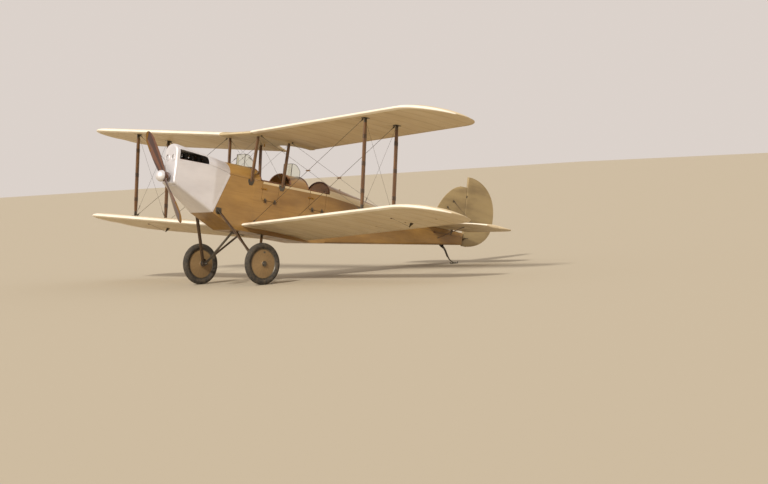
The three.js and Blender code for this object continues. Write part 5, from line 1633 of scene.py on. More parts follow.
ROLL_RADIUS, LACE_RADIUS = 12.5, 13.4


def padded_edge(name, route, body="airframe"):
    """A stuffed leather roll along an edge."""
    route = [Vector(p) for p in route]
    radii = [ROLL_RADIUS * (1 + 0.035 * math.sin(k * 0.9) + 0.02 * math.sin(k * 2.3))
             for k in range(len(route))]
    roll = add(name, tube(route, radii, 16), LEATHER, body)
    return roll


def laces(route, step=2):
    """Thongs that hold a leather roll to the skin under it."""
    shapes = []
    for i in range(1, len(route) - 1, step):
        at, line = Vector(route[i]), (Vector(route[i + 1]) - Vector(route[i - 1])).normalized()
        side, up = frame_along(line)
        ring = [at + (side * math.cos(t) + up * math.sin(t)) * LACE_RADIUS for t in turns(14)]
        shapes.append(tube(ring, 1.5, 6, around=True))
    return merge(*shapes)


EDGE_Z = LONGERON_Z + 8
edge_x = FUSELAGE_HALF - PANEL / 2
DOORS = [("front_cockpit_door", 455, 790), ("rear_cockpit_door", 1425, 1770)]
for (name, door_from, door_to), (start, end) in zip(DOORS, COCKPITS):
    label = name.split("_")[0]
    rim_start = sloped(start, EDGE_Z) + 8
    rim_end = end - 4 if end < 1500 else REAR_BULKHEAD_Y - 14
    over = [arch(sloped(start, z), a) + Vector((0, 4, 3)) for a, z in
            ((a, arch(sloped(start, 900), a).z) for a in (math.pi * k / 44 for k in range(1, 44)))]
    roll_routes = {
        "starboard": [(-edge_x, y, EDGE_Z) for y in steps_between(rim_start, rim_end, 20)],
        "port_front": [(edge_x, y, EDGE_Z) for y in steps_between(rim_start, door_from - 4, 14)],
        "port_rear": [(edge_x, y, EDGE_Z) for y in steps_between(door_to + 4, rim_end, 14)],
        "front": over,
        "rear": [arch(rim_end + 2, a) + Vector((0, 0, 3)) for a in (math.pi * k / 44 for k in range(2, 43))],
    }
    for place, route in roll_routes.items():
        padded_edge(f"{label}_cockpit_roll_{place}", route)
        add(f"{label}_cockpit_laces_{place}", laces(route, step=2 if len(route) > 20 else 1), LEATHER)
    door_route = [(edge_x, y, EDGE_Z) for y in steps_between(door_from + 12, door_to - 12, 16)]
    padded_edge(f"{label}_door_roll", door_route, name)
    add(f"{label}_door_laces", laces(door_route), LEATHER, name)

# Cowling

SLOT_BACK, COWL_CORNER_Y = -620, -481.3
cowl_front = NOSE_Y + NOSE_CAP + 0.3
cowl_back = FIREWALL_Y - 0.3


def edge_between(y, a, b):
    (ya, za), (yb, zb) = a, b
    return za + (zb - za) * (y - ya) / (yb - ya)


def cowl_hoop(y, edge):
    """Points of the cowl's top at y, from the height "edge" on the port side over to starboard."""
    _, _, shoulder, top = hull_at(y)
    start = math.asin(min(max((edge - shoulder) / (top - shoulder), 0), 0.99))
    hoop = [arch(y, start + (math.pi - 2 * start) * k / 48) for k in range(49)]
    if edge < shoulder:
        hoop[0].z = hoop[-1].z = edge
    return hoop


top_front = [cowl_hoop(y, edge_between(y, (NOSE_Y + NOSE_CAP, 1045), (SLOT_BACK, 1000)))
             for y in steps_between(cowl_front, SLOT_BACK - 0.6, 30)]
top_rear = [cowl_hoop(y, edge_between(y, (SLOT_BACK, 880.3), (FIREWALL_Y + 20, 795.3)))
            for y in [*steps_between(SLOT_BACK + 0.6, -480, 28), *steps_between(-480, cowl_back, 24)[1:]]]
add("top_cowl_front", sheet(top_front[::-1], COWL_SKIN), COWL, cad=["top_cowl"], bevel=1.2)
add("top_cowl_rear", sheet(top_rear[::-1], COWL_SKIN), COWL, cad=["top_cowl"], bevel=1.2)

CHIN_RISE = 35


def chin_edge(y):
    return edge_between(y, (-480, 135 + CHIN_RISE), (NOSE_Y, 500 + CHIN_RISE))


def cowl_low(y):
    if y < COWL_CORNER_Y:
        return chin_edge(y)
    return edge_between(y, (COWL_CORNER_Y, 170), (FIREWALL_Y + 4, 780))


def cowl_high(y):
    if y < SLOT_BACK:
        return edge_between(y, (NOSE_Y + NOSE_CAP, 890), (SLOT_BACK, 880))
    return edge_between(y, (SLOT_BACK, 880), (FIREWALL_Y + 4, 795))


COWL_BULGE = 5


def cowl_side_point(y, share, lift=0.0):
    low, high = cowl_low(y), cowl_high(y)
    z = low + (high - low) * share
    along = (y - cowl_front) / (cowl_back - cowl_front)
    bulge = COWL_BULGE * math.sin(math.pi * min(max(along, 0), 1)) * math.sin(math.pi * share)
    half, _, shoulder, top = hull_at(y)
    x = half if z < shoulder else half * math.sqrt(max(1 - ((z - shoulder) / (top - shoulder)) ** 2, 0))
    return Vector((x + bulge + lift, y, z))


side_y = [*steps_between(cowl_front, SLOT_BACK, 28), *steps_between(SLOT_BACK, COWL_CORNER_Y, 20)[1:],
          *steps_between(COWL_CORNER_Y, FIREWALL_Y - 2, 20)[1:]]
side_grid = [[cowl_side_point(y, share) for share in steps_between(0, 1, 1 / 22)] for y in side_y]
pair("cowl_side", sheet(side_grid, COWL_SKIN), COWL, cad=["cowl_side_{side}"], bevel=1.2)


def chin_ring(y):
    half, low, _, _ = hull_at(y)
    start = chin_edge(y) - 0.3
    side = [Vector((half, y, z)) for z in steps_between(start, low + 30, 3)]
    corner = [Vector((half - 30 + 30 * math.cos(t), y, low + 30 - 30 * math.sin(t)))
              for t in quarter(7, 1)]
    flat = [Vector((x, y, low)) for x in steps_between(half - 30, 0, 45)[1:]]
    return both_halves(side + corner + flat)


def resampled(row, count):
    """The same line with "count" points."""
    lengths = [0.0]
    for a, b in zip(row, row[1:]):
        lengths.append(lengths[-1] + (b - a).length)
    found = []
    k = 0
    for i in range(count):
        want = lengths[-1] * i / (count - 1)
        while k < len(row) - 2 and lengths[k + 1] < want:
            k += 1
        span = max(lengths[k + 1] - lengths[k], 1e-6)
        found.append(row[k].lerp(row[k + 1], min((want - lengths[k]) / span, 1)))
    return found


chin_rows = [resampled(chin_ring(y), 61) for y in steps_between(cowl_front, -480.3, 30)]
add("cowl_bottom", sheet(chin_rows, COWL_SKIN), COWL, cad=["cowl_bottom"], bevel=1.0)

# Nose of the cowling: rounded edges, a hole for the shaft and two inlets

NOSE_ROUND, NOSE_MIDDLE_Z, NOSE_STEPS = 36, 780, 96
SHAFT_HOLE = 44


def nose_outline(y):
    half, low, shoulder, _ = hull_at(y)
    port = [Vector((half - 30 + 30 * math.sin(t), y, low + 30 - 30 * math.cos(t))) for t in quarter(5)]
    port += [Vector((half, y, z)) for z in steps_between(low + 30, shoulder, 40)[1:]]
    port += [arch(y, math.pi / 2 * k / 14) for k in range(1, 15)]
    ring = both_halves(port)
    return resampled([*ring, ring[0]], NOSE_STEPS + 1)[:-1]


def nose_rings(skin):
    base = nose_outline(NOSE_Y + NOSE_ROUND)
    rings = [nose_outline(NOSE_Y + NOSE_CAP), base]
    centre = Vector((0, NOSE_Y + NOSE_ROUND, NOSE_MIDDLE_Z))
    for t in quarter(6, 1):
        inset = NOSE_ROUND * (1 - math.cos(t))
        ring = []
        for p in base:
            away = p - centre
            ring.append(p - away * (inset / away.length) - Vector((0, NOSE_ROUND * math.sin(t), 0)))
        rings.append(ring)
    face = rings[-1]
    for share in (0.3, 0.6, 0.85, 1.0):
        ring = []
        for p in face:
            away = Vector((p.x, 0, p.z - SHAFT_Z)).normalized()
            goal = Vector((away.x * SHAFT_HOLE, p.y + 3, SHAFT_Z + away.z * SHAFT_HOLE))
            ring.append(p.lerp(goal, share))
        rings.append(ring)
    shrink = [[p + (Vector((0, p.y, NOSE_MIDDLE_Z)) - p).normalized() * skin + Vector((0, skin, 0))
               for p in ring] for ring in rings]
    shrink[-1] = [Vector((p.x, p.y + skin, p.z)) for p in rings[-1]]
    shrink[0] = [Vector((p.x, rings[0][0].y, p.z)) for p in shrink[0]]
    return rings + shrink[::-1]


nose = add("nose_cowl", loft(nose_rings(COWL_SKIN), around=True), COWL, cad=["nose_cowl"], crease=50)
INLET = {"x": 78, "z": 905, "half_x": 40, "half_z": 52}


def inlet_outline(side, grow=0.0, y=NOSE_Y - 30):
    return [Vector((side * INLET["x"] + (INLET["half_x"] + grow) * math.cos(t), y,
                    INLET["z"] + (INLET["half_z"] + grow) * math.sin(t))) for t in turns(36)]


carve(nose, *[prism(inlet_outline(side), (0, 60, 0)) for side in (1, -1)])
lips = [tube(inlet_outline(side, 3, NOSE_Y - 0.5), 5, 10, around=True) for side in (1, -1)]
shaft_lip = lathe([(SHAFT_HOLE - 1, 0), (SHAFT_HOLE + 9, 0), (SHAFT_HOLE + 9, 5), (SHAFT_HOLE + 4, 8),
                   (SHAFT_HOLE - 1, 8)], (0, NOSE_Y + 6, SHAFT_Z), (0, -1, 0), 48, around=True)
add("inlet_lips", merge(*lips, shaft_lip), COWL)

GAUZE_WIRE = 1.5


def gauze(side):
    """Wire mesh behind an inlet."""
    wires = []
    y = NOSE_Y + 14
    for k in range(-7, 8):
        x = k * 5.4
        half = INLET["half_z"] * math.sqrt(max(1 - (x / (INLET["half_x"] + 1)) ** 2, 0)) + 3
        wires.append(rod((side * INLET["x"] + x, y, INLET["z"] - half),
                         (side * INLET["x"] + x, y, INLET["z"] + half), GAUZE_WIRE, 6))
    for k in range(-9, 10):
        z = k * 5.6
        half = INLET["half_x"] * math.sqrt(max(1 - (z / (INLET["half_z"] + 1)) ** 2, 0)) + 3
        wires.append(rod((side * INLET["x"] - half, y + GAUZE_WIRE, INLET["z"] + z),
                         (side * INLET["x"] + half, y + GAUZE_WIRE, INLET["z"] + z), GAUZE_WIRE, 6))
    return merge(*wires)


add("inlet_gauze", merge(gauze(1), gauze(-1)), COWL)

# Fuselage sides, doors and floor

SIDE_NOSE, SIDE_CORNER = (FIREWALL_Y + 5, LONGERON_Z + 8.6), (-480, 135)
BOTTOM_EDGE = [SIDE_CORNER, (FIREWALL_Y, 21), (10, FLOOR_Z), (1500, FLOOR_Z), (REAR_BULKHEAD_Y, -30)]
SIDE_OUTLINE = [SIDE_NOSE, *BOTTOM_EDGE, (REAR_BULKHEAD_Y, LONGERON_Z - 1)]
SIDE_SHOULDER = [(10, LONGERON_Z - 1)]
DOOR_BOTTOM, DOOR_ROUND = 470, 34
DOOR_AXIS_X, DOOR_AXIS_Z = FUSELAGE_HALF + 9, DOOR_BOTTOM + 3
LATCH_Z, LATCH_BACK, BOLT_X = LONGERON_Z - 122, FUSELAGE_HALF - 0.5, FUSELAGE_HALF + 7


def rounded_notch(start, end, bottom, radius):
    """The lower edge of a doorway or a door, from its rear top corner to its front top corner."""
    corners = [(end - radius, 0), (start + radius, 270)]
    line = [(end, LONGERON_Z - 1)]
    for middle, first in corners:
        for k in range(7):
            t = math.radians(first - 90 * k / 6)
            line.append((middle + radius * math.cos(t), bottom + radius + radius * math.sin(t)))
    return [*line, (start, LONGERON_Z - 1)]


notches = [p for _, start, end in reversed(DOORS) for p in rounded_notch(start, end, DOOR_BOTTOM, DOOR_ROUND)]


def side_panel(outline):
    return prism([(FUSELAGE_HALF - PANEL, y, z) for y, z in outline], (PANEL, 0, 0))


def door_latch(start):
    """A bolt in two staples on its plate, with a knob, and the catch beside the door."""
    staples = [block((FUSELAGE_HALF + 1, y, LATCH_Z - 8), (FUSELAGE_HALF + 12, y + 10, LATCH_Z + 8))
               for y in (start + 28, start + 62)]
    plate = block((LATCH_BACK, start + 22, LATCH_Z - 16), (FUSELAGE_HALF + 2, start + 96, LATCH_Z + 16))
    latch = merge(plate, rod((BOLT_X, start + 14, LATCH_Z), (BOLT_X, start + 84, LATCH_Z), 4.5, 14), *staples,
                  rod((BOLT_X, start + 50, LATCH_Z), (FUSELAGE_HALF + 22, start + 50, LATCH_Z), 3, 10),
                  dome((FUSELAGE_HALF + 20, start + 50, LATCH_Z), (1, 0, 0), 6.5, 8, 14))
    return latch, block((LATCH_BACK, start - 22, LATCH_Z - 13), (FUSELAGE_HALF + 12, start - 6, LATCH_Z + 13))


add("fuselage_side_port", side_panel(SIDE_OUTLINE + notches + SIDE_SHOULDER), PLY,
    cad=["fuselage_side_port"], bevel=1.2)
add("fuselage_side_starboard", mirror(side_panel(SIDE_OUTLINE + SIDE_SHOULDER)), PLY,
    cad=["fuselage_side_starboard"], bevel=1.2)
for name, start, end in DOORS:
    outline = rounded_notch(start + CLEAR, end - CLEAR, DOOR_BOTTOM + CLEAR, DOOR_ROUND - CLEAR)
    add(name, side_panel(outline), PLY, name, [name], bevel=1.2)
    fixed, moving = [], []
    for y in (start + 70, end - 70):
        still, turning = hinge((DOOR_AXIS_X, y, DOOR_AXIS_Z), (0, 1, 0), (0, 0, 1), (0, 0, -1), SHORT_REACH)
        low, high = DOOR_AXIS_Z - SHORT_REACH, DOOR_AXIS_Z + SHORT_REACH
        moving += [turning, block((FUSELAGE_HALF - 0.5, y - HINGE_HALF, DOOR_BOTTOM + 11),
                                  (DOOR_AXIS_X - 5, y + HINGE_HALF, high))]
        fixed.append(still)
        for side in (-1, 1):
            middle = y + side * (HINGE_HALF + HINGE_SIDE + HINGE_LUG / 2)
            fixed.append(block((FUSELAGE_HALF - 0.5, middle - 2.5, low),
                               (DOOR_AXIS_X - 5, middle + 2.5, DOOR_BOTTOM - 5)))
        moving += [dome((DOOR_AXIS_X + 6.3, y + dy, DOOR_BOTTOM + 27), (1, 0, 0), 3, 1.4) for dy in (-6, 6)]
    lining = [(FUSELAGE_HALF - PANEL - 7, y, z) for y, z in
              rounded_notch(start + 30, end - 30, DOOR_BOTTOM + 30, 14)]
    add(f"{name}_lining", prism(lining, (7.5, 0, 0)), LEATHER, name, bevel=2.0)
    latch, catch = door_latch(start)
    add(f"{name}_hinge_brackets", merge(*fixed), STEEL)
    add(f"{name}_hinge_barrels", merge(*moving), STEEL, name)
    add(f"{name}_latch", latch, BRASS, name, bevel=0.8)
    add(f"{name}_catch", catch, BRASS, bevel=0.8)
corner, crown = Vector((FUSELAGE_HALF - 0.4, *SIDE_CORNER)), Vector((FUSELAGE_HALF - 0.4, *SIDE_NOSE))
seam = (crown - corner).normalized()
seam_ahead = Vector((0, -seam.z, seam.y))
lap_low, lap_high = corner + seam * 4, crown - seam * 12
lap = prism([lap_low - seam_ahead * 13, lap_high - seam_ahead * 13, lap_high + seam_ahead * 15,
             lap_low + seam_ahead * 26], (2.6, 0, 0))
lap_rivets = [dome(lap_low.lerp(lap_high, k / 15) - seam_ahead * 6 + Vector((2.6, 0, 0)), (1, 0, 0), 3, 1.5,
                   8) for k in range(1, 15)]
pair("cowl_joint_strips", merge(lap, *lap_rivets), COWL, bevel=0.6)
finish_node("fuselage_floor", PLY, 1.0)
finish_node("firewall", SKIN_INSIDE, 1.2)


def hull_side(y, z):
    """A point of the port side at a height between the underside and the shoulder."""
    return Vector((hull_at(y)[0], y, z))


BAND_FROM, BAND_TO, BAND_LIFT, BAND_ROWS, BAND_CLEAR = 458, 3900, 2.0, 8, 3
BAND_BELOW, BAND_ABOVE = 40, 62


def band_point(y, height):
    """A point of the port side at a height above or below the shoulder, lifted off the skin."""
    half, _, shoulder, top = hull_at(y)
    if height < 0:
        return Vector((half + BAND_LIFT, y, shoulder + height))
    angle = math.asin(min(height / (top - shoulder), 0.9))
    out = Vector((math.cos(angle) / half, 0, math.sin(angle) / (top - shoulder))).normalized()
    return arch(y, angle) + out * BAND_LIFT


def trim_and_sheen_band(start, end, on_deck):
    """A cream band along the top longeron, which also covers the foot of the decking. Its colour is cream
    paint and partly painted highlight, standing in for the sheen along the shoulder of the decking.
    """
    rows = []
    for y in steps_between(start, end, 40):
        _, _, shoulder, top = hull_at(y)
        above = min(BAND_ABOVE, 0.45 * (top - shoulder)) if on_deck else -4
        rows.append([band_point(y, -BAND_BELOW + (BAND_BELOW + above) * k / BAND_ROWS)
                     for k in range(BAND_ROWS + 1)])
    return sheet([list(reversed(row)) for row in rows][::-1], BAND_LIFT + 0.6)


front_door, rear_door = DOORS
MIDDLE_DECK = (COCKPITS[0][1] + 12, COCKPITS[1][0] - 16)
on_door = [(door, start + CLEAR + BAND_CLEAR, end - CLEAR - BAND_CLEAR) for door, start, end in DOORS]
# On the doors too, the band's cream colour is paint and partly painted highlight.
for door, start, end in on_door:
    add(f"{door}_trim", trim_and_sheen_band(start, end, False), TRIM_AND_SHEEN, door, bevel=0.6)
rear_band = trim_and_sheen_band(REAR_BULKHEAD_Y + 2, BAND_TO, True)
middle_band = trim_and_sheen_band(*MIDDLE_DECK, True)
port_band = [trim_and_sheen_band(front_door[2] + BAND_CLEAR, MIDDLE_DECK[0], False), middle_band,
             trim_and_sheen_band(MIDDLE_DECK[1], rear_door[1] - BAND_CLEAR, False),
             trim_and_sheen_band(rear_door[2] + BAND_CLEAR, REAR_BULKHEAD_Y + 2, False), rear_band]
starboard_band = [trim_and_sheen_band(BAND_FROM, MIDDLE_DECK[0], False), middle_band,
                  trim_and_sheen_band(MIDDLE_DECK[1], REAR_BULKHEAD_Y + 2, False), rear_band]
add("trim_and_sheen_band_port", merge(*port_band), TRIM_AND_SHEEN)
add("trim_and_sheen_band_starboard", mirror(merge(*starboard_band)), TRIM_AND_SHEEN)


TACK_RADIUS, TACK_HEIGHT, TACK_STEP, SIDE_TOP = 2.6, 1.3, 42, 690
STRAP_WIDTH, STRAP_LIFT = 34, 1.3


def tacks(spots, normal=(1, 0, 0)):
    return merge(*[dome(spot, normal, TACK_RADIUS, TACK_HEIGHT, 6) for spot in spots])


def floor_height(y):
    for a, b in zip(BOTTOM_EDGE, BOTTOM_EDGE[1:]):
        if y <= b[0]:
            return edge_between(y, a, b)
    return BOTTOM_EDGE[-1][1]


spots = [(FUSELAGE_HALF, y, floor_height(y) + 17) for y in steps_between(-440, 1810, TACK_STEP)]
for y in (-190, 300, 860, 1360, 1816):
    spots += [(FUSELAGE_HALF, y, z) for z in steps_between(floor_height(y) + 60, SIDE_TOP, TACK_STEP)]
low_line = [(FUSELAGE_HALF - 7, y, floor_height(y) - 0.3) for y in steps_between(-440, 1810, TACK_STEP)]
pair("side_screws", merge(tacks(spots), tacks(low_line, normal=(0, 0, -1))), BRASS)
straps = [sheet([[(FUSELAGE_HALF + 1.2, y + dy, z) for dy in (15, -15)]
                 for z in steps_between(floor_height(y) + 4, SIDE_TOP, 60)], 1.8) for y in (300, 860, 1360)]
pair("side_joint_straps", merge(*straps), PLY, bevel=0.5)
rear_tacks = [hull_side(y, hull_at(y)[1] + 38) for y in steps_between(1860, 4960, 52)]
rear_tacks += [arch(y, 0.5, -0.2) for y in steps_between(1860, 3820, 52)]
for y in (2460, 2980, 3480, 3980, 4480):
    rear_tacks += [hull_side(y, z) for z in steps_between(hull_at(y)[1] + 60, hull_at(y)[2] - 90, 34)]
pair("rear_fuselage_tacks", tacks(rear_tacks), BRASS)


def hoop_strap(y):
    """A thin ply strap over a joint, round the whole rear fuselage."""
    rings = []
    a, b = rear_ring(y - STRAP_WIDTH / 2), rear_ring(y + STRAP_WIDTH / 2)
    centre = sum(a, Vector()) / len(a)
    for p, q in zip(a, b):
        out = Vector((p.x, 0, p.z - centre.z)).normalized()
        rings.append([p + out * STRAP_LIFT, q + out * STRAP_LIFT, q - out * 1.2, p - out * 1.2])
    return loft(rings, around=True)


add("rear_joint_straps", merge(*[hoop_strap(y) for y in (REAR_BULKHEAD_Y + 17.5, 2560, 3220, 3860)]), PLY,
    bevel=0.4)
latch_x = LOCKER["half"] - 16
latch_z = arch_above(lid_middle, latch_x)
lid_latch = merge(rod((latch_x, lid_middle, latch_z - 2), (latch_x, lid_middle, latch_z + 7), 12, 20),
                  shifted(block((-22, -4, 0), (22, 4, 5)), latch_x, lid_middle, latch_z + 6))
add("locker_latch", lid_latch, BRASS, "locker_lid", bevel=0.8)

# Cockpit interiors

DIALS = ((-150, 800, 38), (-56, 838, 46), (56, 838, 46), (150, 800, 38), (-110, 712, 30), (0, 730, 34),
         (110, 712, 30))


def dial(x, y, z, radius):
    """A round instrument facing the pilot: case, face, marks and hand."""
    case = lathe([(radius + 5, 0), (radius + 5, 7), (radius + 1, 10), (radius, 6), (0.5, 6)], (x, y, z),
                 (0, 1, 0), 32)
    face = Vector((x, y + 6.6, z))
    marks = []
    for k in range(12):
        t = math.radians(30 * k)
        out = Vector((math.sin(t), 0, math.cos(t)))
        marks.append(rod(face + out * radius * 0.68, face + out * radius * 0.9, 0.9, 4))
    hand = rod((x, y + 7.4, z), (x + radius * 0.45, y + 7.4, z + radius * 0.45), 1.1, 5)
    return case, merge(*marks, hand)


for label, (start, _) in zip(("front", "rear"), COCKPITS):
    y = start - BOARD_AHEAD + BOARD_THICKNESS
    faces, marks = zip(*[dial(x, y, z, r) for x, z, r in DIALS])
    add(f"{label}_instruments", merge(*faces), DIAL)
    add(f"{label}_instrument_marks", merge(*marks), MARK)
    switches = [merge(block((x - 14, y, 650), (x + 14, y + 7, 690)),
                      rod((x, y + 6, 670), (x, y + 20, 676), 3, 10)) for x in (-230, -196, 196)]
    add(f"{label}_switches", merge(*switches), BRASS, bevel=0.8)


def timber(a, b, size=(20, 20)):
    """A bar with a rectangular section."""
    a, b = Vector(a), Vector(b)
    side, up = frame_along(b - a)
    corners = [side * sx * size[0] / 2 + up * sy * size[1] / 2
               for sx, sy in ((-1, -1), (1, -1), (1, 1), (-1, 1))]
    return loft([[a + c for c in corners], [b + c for c in corners]])


INSIDE = FUSELAGE_HALF - PANEL - 12
LONGERON_AT, LONGERON_SIZE, BULKHEAD_Y = 742, (24, 24), 1822
frames = []
for y in (FIREWALL_Y + 30, 130, 440, 806, 1120, 1410, 1786):
    frames += [timber((side * INSIDE, y, floor_height(y) + 14), (side * INSIDE, y, 735)) for side in (-1, 1)]
    frames.append(timber((-INSIDE, y, floor_height(y) + 24), (INSIDE, y, floor_height(y) + 24)))
for x, start, end in ((-INSIDE, FIREWALL_Y + 20, 1815), (INSIDE, FIREWALL_Y + 20, 440), (INSIDE, 806, 1410),
                      (INSIDE, 1786, 1815)):
    frames.append(timber((x, start, LONGERON_AT), (x, end, LONGERON_AT), LONGERON_SIZE))
add("cockpit_frames", merge(*frames), VARNISHED, bevel=1.5)
bulkhead = [(-INNER, BULKHEAD_Y, -20), (INNER, BULKHEAD_Y, -20), (INNER, BULKHEAD_Y, 775)]
bulkhead += [arch(BULKHEAD_Y, math.pi * k / 30, 8) for k in range(1, 30)] + [(-INNER, BULKHEAD_Y, 775)]
add("seat_bulkhead", prism(bulkhead, (0, 7, 0)), VARNISHED)


def stick(y):
    floor = floor_height(y) + 12
    route = smooth_route([(0, y, floor), (0, y - 6, floor + 160), (0, y + 10, floor + 330),
                          (0, y + 22, floor + 440)])
    column = tube(route, 11, 16)
    grip = lathe([(12, 0), (15, 8), (15, 70), (17, 84), (12, 96), (0.5, 98)], (0, y + 18, floor + 420),
                 (0, 0.12, 1), 20)
    boot = lathe([(60, 0), (56, 10), (34, 26), (38, 36), (22, 54), (14, 66)], (0, y, floor), (0, 0, 1), 28)
    return column, grip, boot


def rudder_bar(y):
    floor = floor_height(y) + 12
    bar = timber((-185, y, floor + 60), (185, y, floor + 60), (34, 22))
    pivot = rod((0, y, floor), (0, y, floor + 84), 16, 20)
    pads = [lathe([(17, -28), (19, -22), (19, 22), (17, 28)], (side * 150, y, floor + 82), (1, 0, 0), 18)
            for side in (-1, 1)]
    return bar, merge(pivot, *pads)


THROTTLE_Z = 610


def throttle(y):
    """A lever on its quadrant, on the starboard side."""
    quadrant = [(INSIDE - 14, y + 60 * math.cos(t), THROTTLE_Z + 60 * math.sin(t)) for t in
                (math.radians(a) for a in range(0, 181, 12))]
    return mirror(merge(prism(quadrant, (6, 0, 0)),
                        rod((INSIDE - 18, y, THROTTLE_Z), (INSIDE - 26, y - 34, THROTTLE_Z + 94), 4.5, 12),
                        dome((INSIDE - 26, y - 34, THROTTLE_Z + 88), (-0.1, -0.3, 1), 12, 20, 16)))


for label, stick_y, bar_y in (("front", 520, 240), ("rear", 1372, 1180)):
    column, grip, boot = stick(stick_y)
    bar, pivot = rudder_bar(bar_y)
    add(f"{label}_stick", column, STEEL)
    add(f"{label}_stick_grip", grip, RUBBER)
    add(f"{label}_stick_boot", boot, LEATHER)
    add(f"{label}_rudder_bar", bar, VARNISHED, bevel=3)
    add(f"{label}_rudder_pivot", pivot, STEEL)
    add(f"{label}_throttle", throttle(stick_y + 30), BRASS, bevel=0.8)

# Seats

SEAT_HALF, SEAT_DEPTH, SEAT_WALL, SEAT_LEAN = 200, 420, 15, math.atan2(45, 460)
CUSHION_PULL, CUSHION_STEPS, CUSHION_ROUND, CUSHION_FACE = 5, 14, 34, 0.84
CLOTH_GRAIN, CLOTH_FRAMES, CLOTH_PRESSURE = 0.01, 20, 4.0


def seat_level(height):
    return FLOOR_Z + 12 + height


def stuffed(outline, thickness, matrix):
    """A closed cushion: its sides pull in between the corners and its top face is crowned."""
    rings = []
    for k in range(9):
        t = math.pi * k / 8
        spread = 0.90 + 0.10 * math.sin(t) ** 0.7 if 0 < k < 8 else CUSHION_FACE
        rise = -math.cos(t) * thickness / 2
        rings.append([Vector((p[0] * spread, p[1] * spread, rise)) for p in outline])
    top = [[Vector((p.x * s, p.y * s, thickness / 2 + (1 - s) * 4)) for p in rings[-1]]
           for s in (0.75, 0.5, 0.25, 0.06)]
    low = [[Vector((p.x * s, p.y * s, -thickness / 2)) for p in rings[0]] for s in (0.06, 0.3, 0.6, 0.85)]
    return placed(loft([*low, *rings, *top]), matrix)


def cushion_outline(half_x, half_y):
    """A rounded rectangle whose sides pull in."""
    centres = [Vector((sx * (half_x - CUSHION_ROUND), sy * (half_y - CUSHION_ROUND), 0))
               for sx, sy in ((1, 1), (-1, 1), (-1, -1), (1, -1))]
    outline = []
    for i, centre in enumerate(centres):
        first, then = math.radians(90 * i), math.radians(90 * (i + 1))
        turning = [first + math.pi / 2 * k / 6 for k in range(7)]
        outline += [centre + Vector((math.cos(t), math.sin(t), 0)) * CUSHION_ROUND for t in turning]
        last = outline[-1]
        after = centres[(i + 1) % 4] + Vector((math.cos(then), math.sin(then), 0)) * CUSHION_ROUND
        inward = -Vector(((last.x + after.x) / 2, (last.y + after.y) / 2, 0)).normalized()
        for k in range(1, CUSHION_STEPS):
            t = k / CUSHION_STEPS
            outline.append(last.lerp(after, t) + inward * CUSHION_PULL * math.sin(math.pi * t))
    return outline


def puff(piece, cap):
    """Swells a cushion with a short cloth simulation. No point moves further than "cap" millimetres."""
    mesh = piece.data
    remesh = piece.modifiers.new("even", "REMESH")
    remesh.mode = "VOXEL"
    remesh.voxel_size = CLOTH_GRAIN
    shown = piece.evaluated_get(bpy.context.evaluated_depsgraph_get())
    even = bpy.data.meshes.new_from_object(shown)
    piece.modifiers.remove(remesh)
    double = bpy.data.objects.new(f"{piece.name}_cloth", even)
    bpy.context.scene.collection.objects.link(double)
    double.matrix_world = piece.matrix_world.copy()
    start = [v.co.copy() for v in even.vertices]
    cloth = double.modifiers.new("cloth", "CLOTH")
    cloth.settings.use_pressure = True
    cloth.settings.uniform_pressure_force = CLOTH_PRESSURE
    cloth.settings.effector_weights.gravity = 0
    cloth.point_cache.frame_start, cloth.point_cache.frame_end = 1, CLOTH_FRAMES
    for step in range(1, CLOTH_FRAMES + 1):
        bpy.context.scene.frame_set(step)
    swollen = double.evaluated_get(bpy.context.evaluated_depsgraph_get())
    result = bpy.data.meshes.new_from_object(swollen)
    bpy.data.objects.remove(double)
    bpy.context.scene.frame_set(1)
    for vertex, before in zip(result.vertices, start):
        shift = vertex.co - before
        if shift.length > cap / 1000:
            vertex.co = before + shift * (cap / 1000 / shift.length)
    result.materials.clear()
    result.materials.append(mesh.materials[0])
    piece.data = result
    piece.data.shade_smooth()
    finer = piece.modifiers.new("smooth", "SUBSURF")
    finer.levels = finer.render_levels = 1


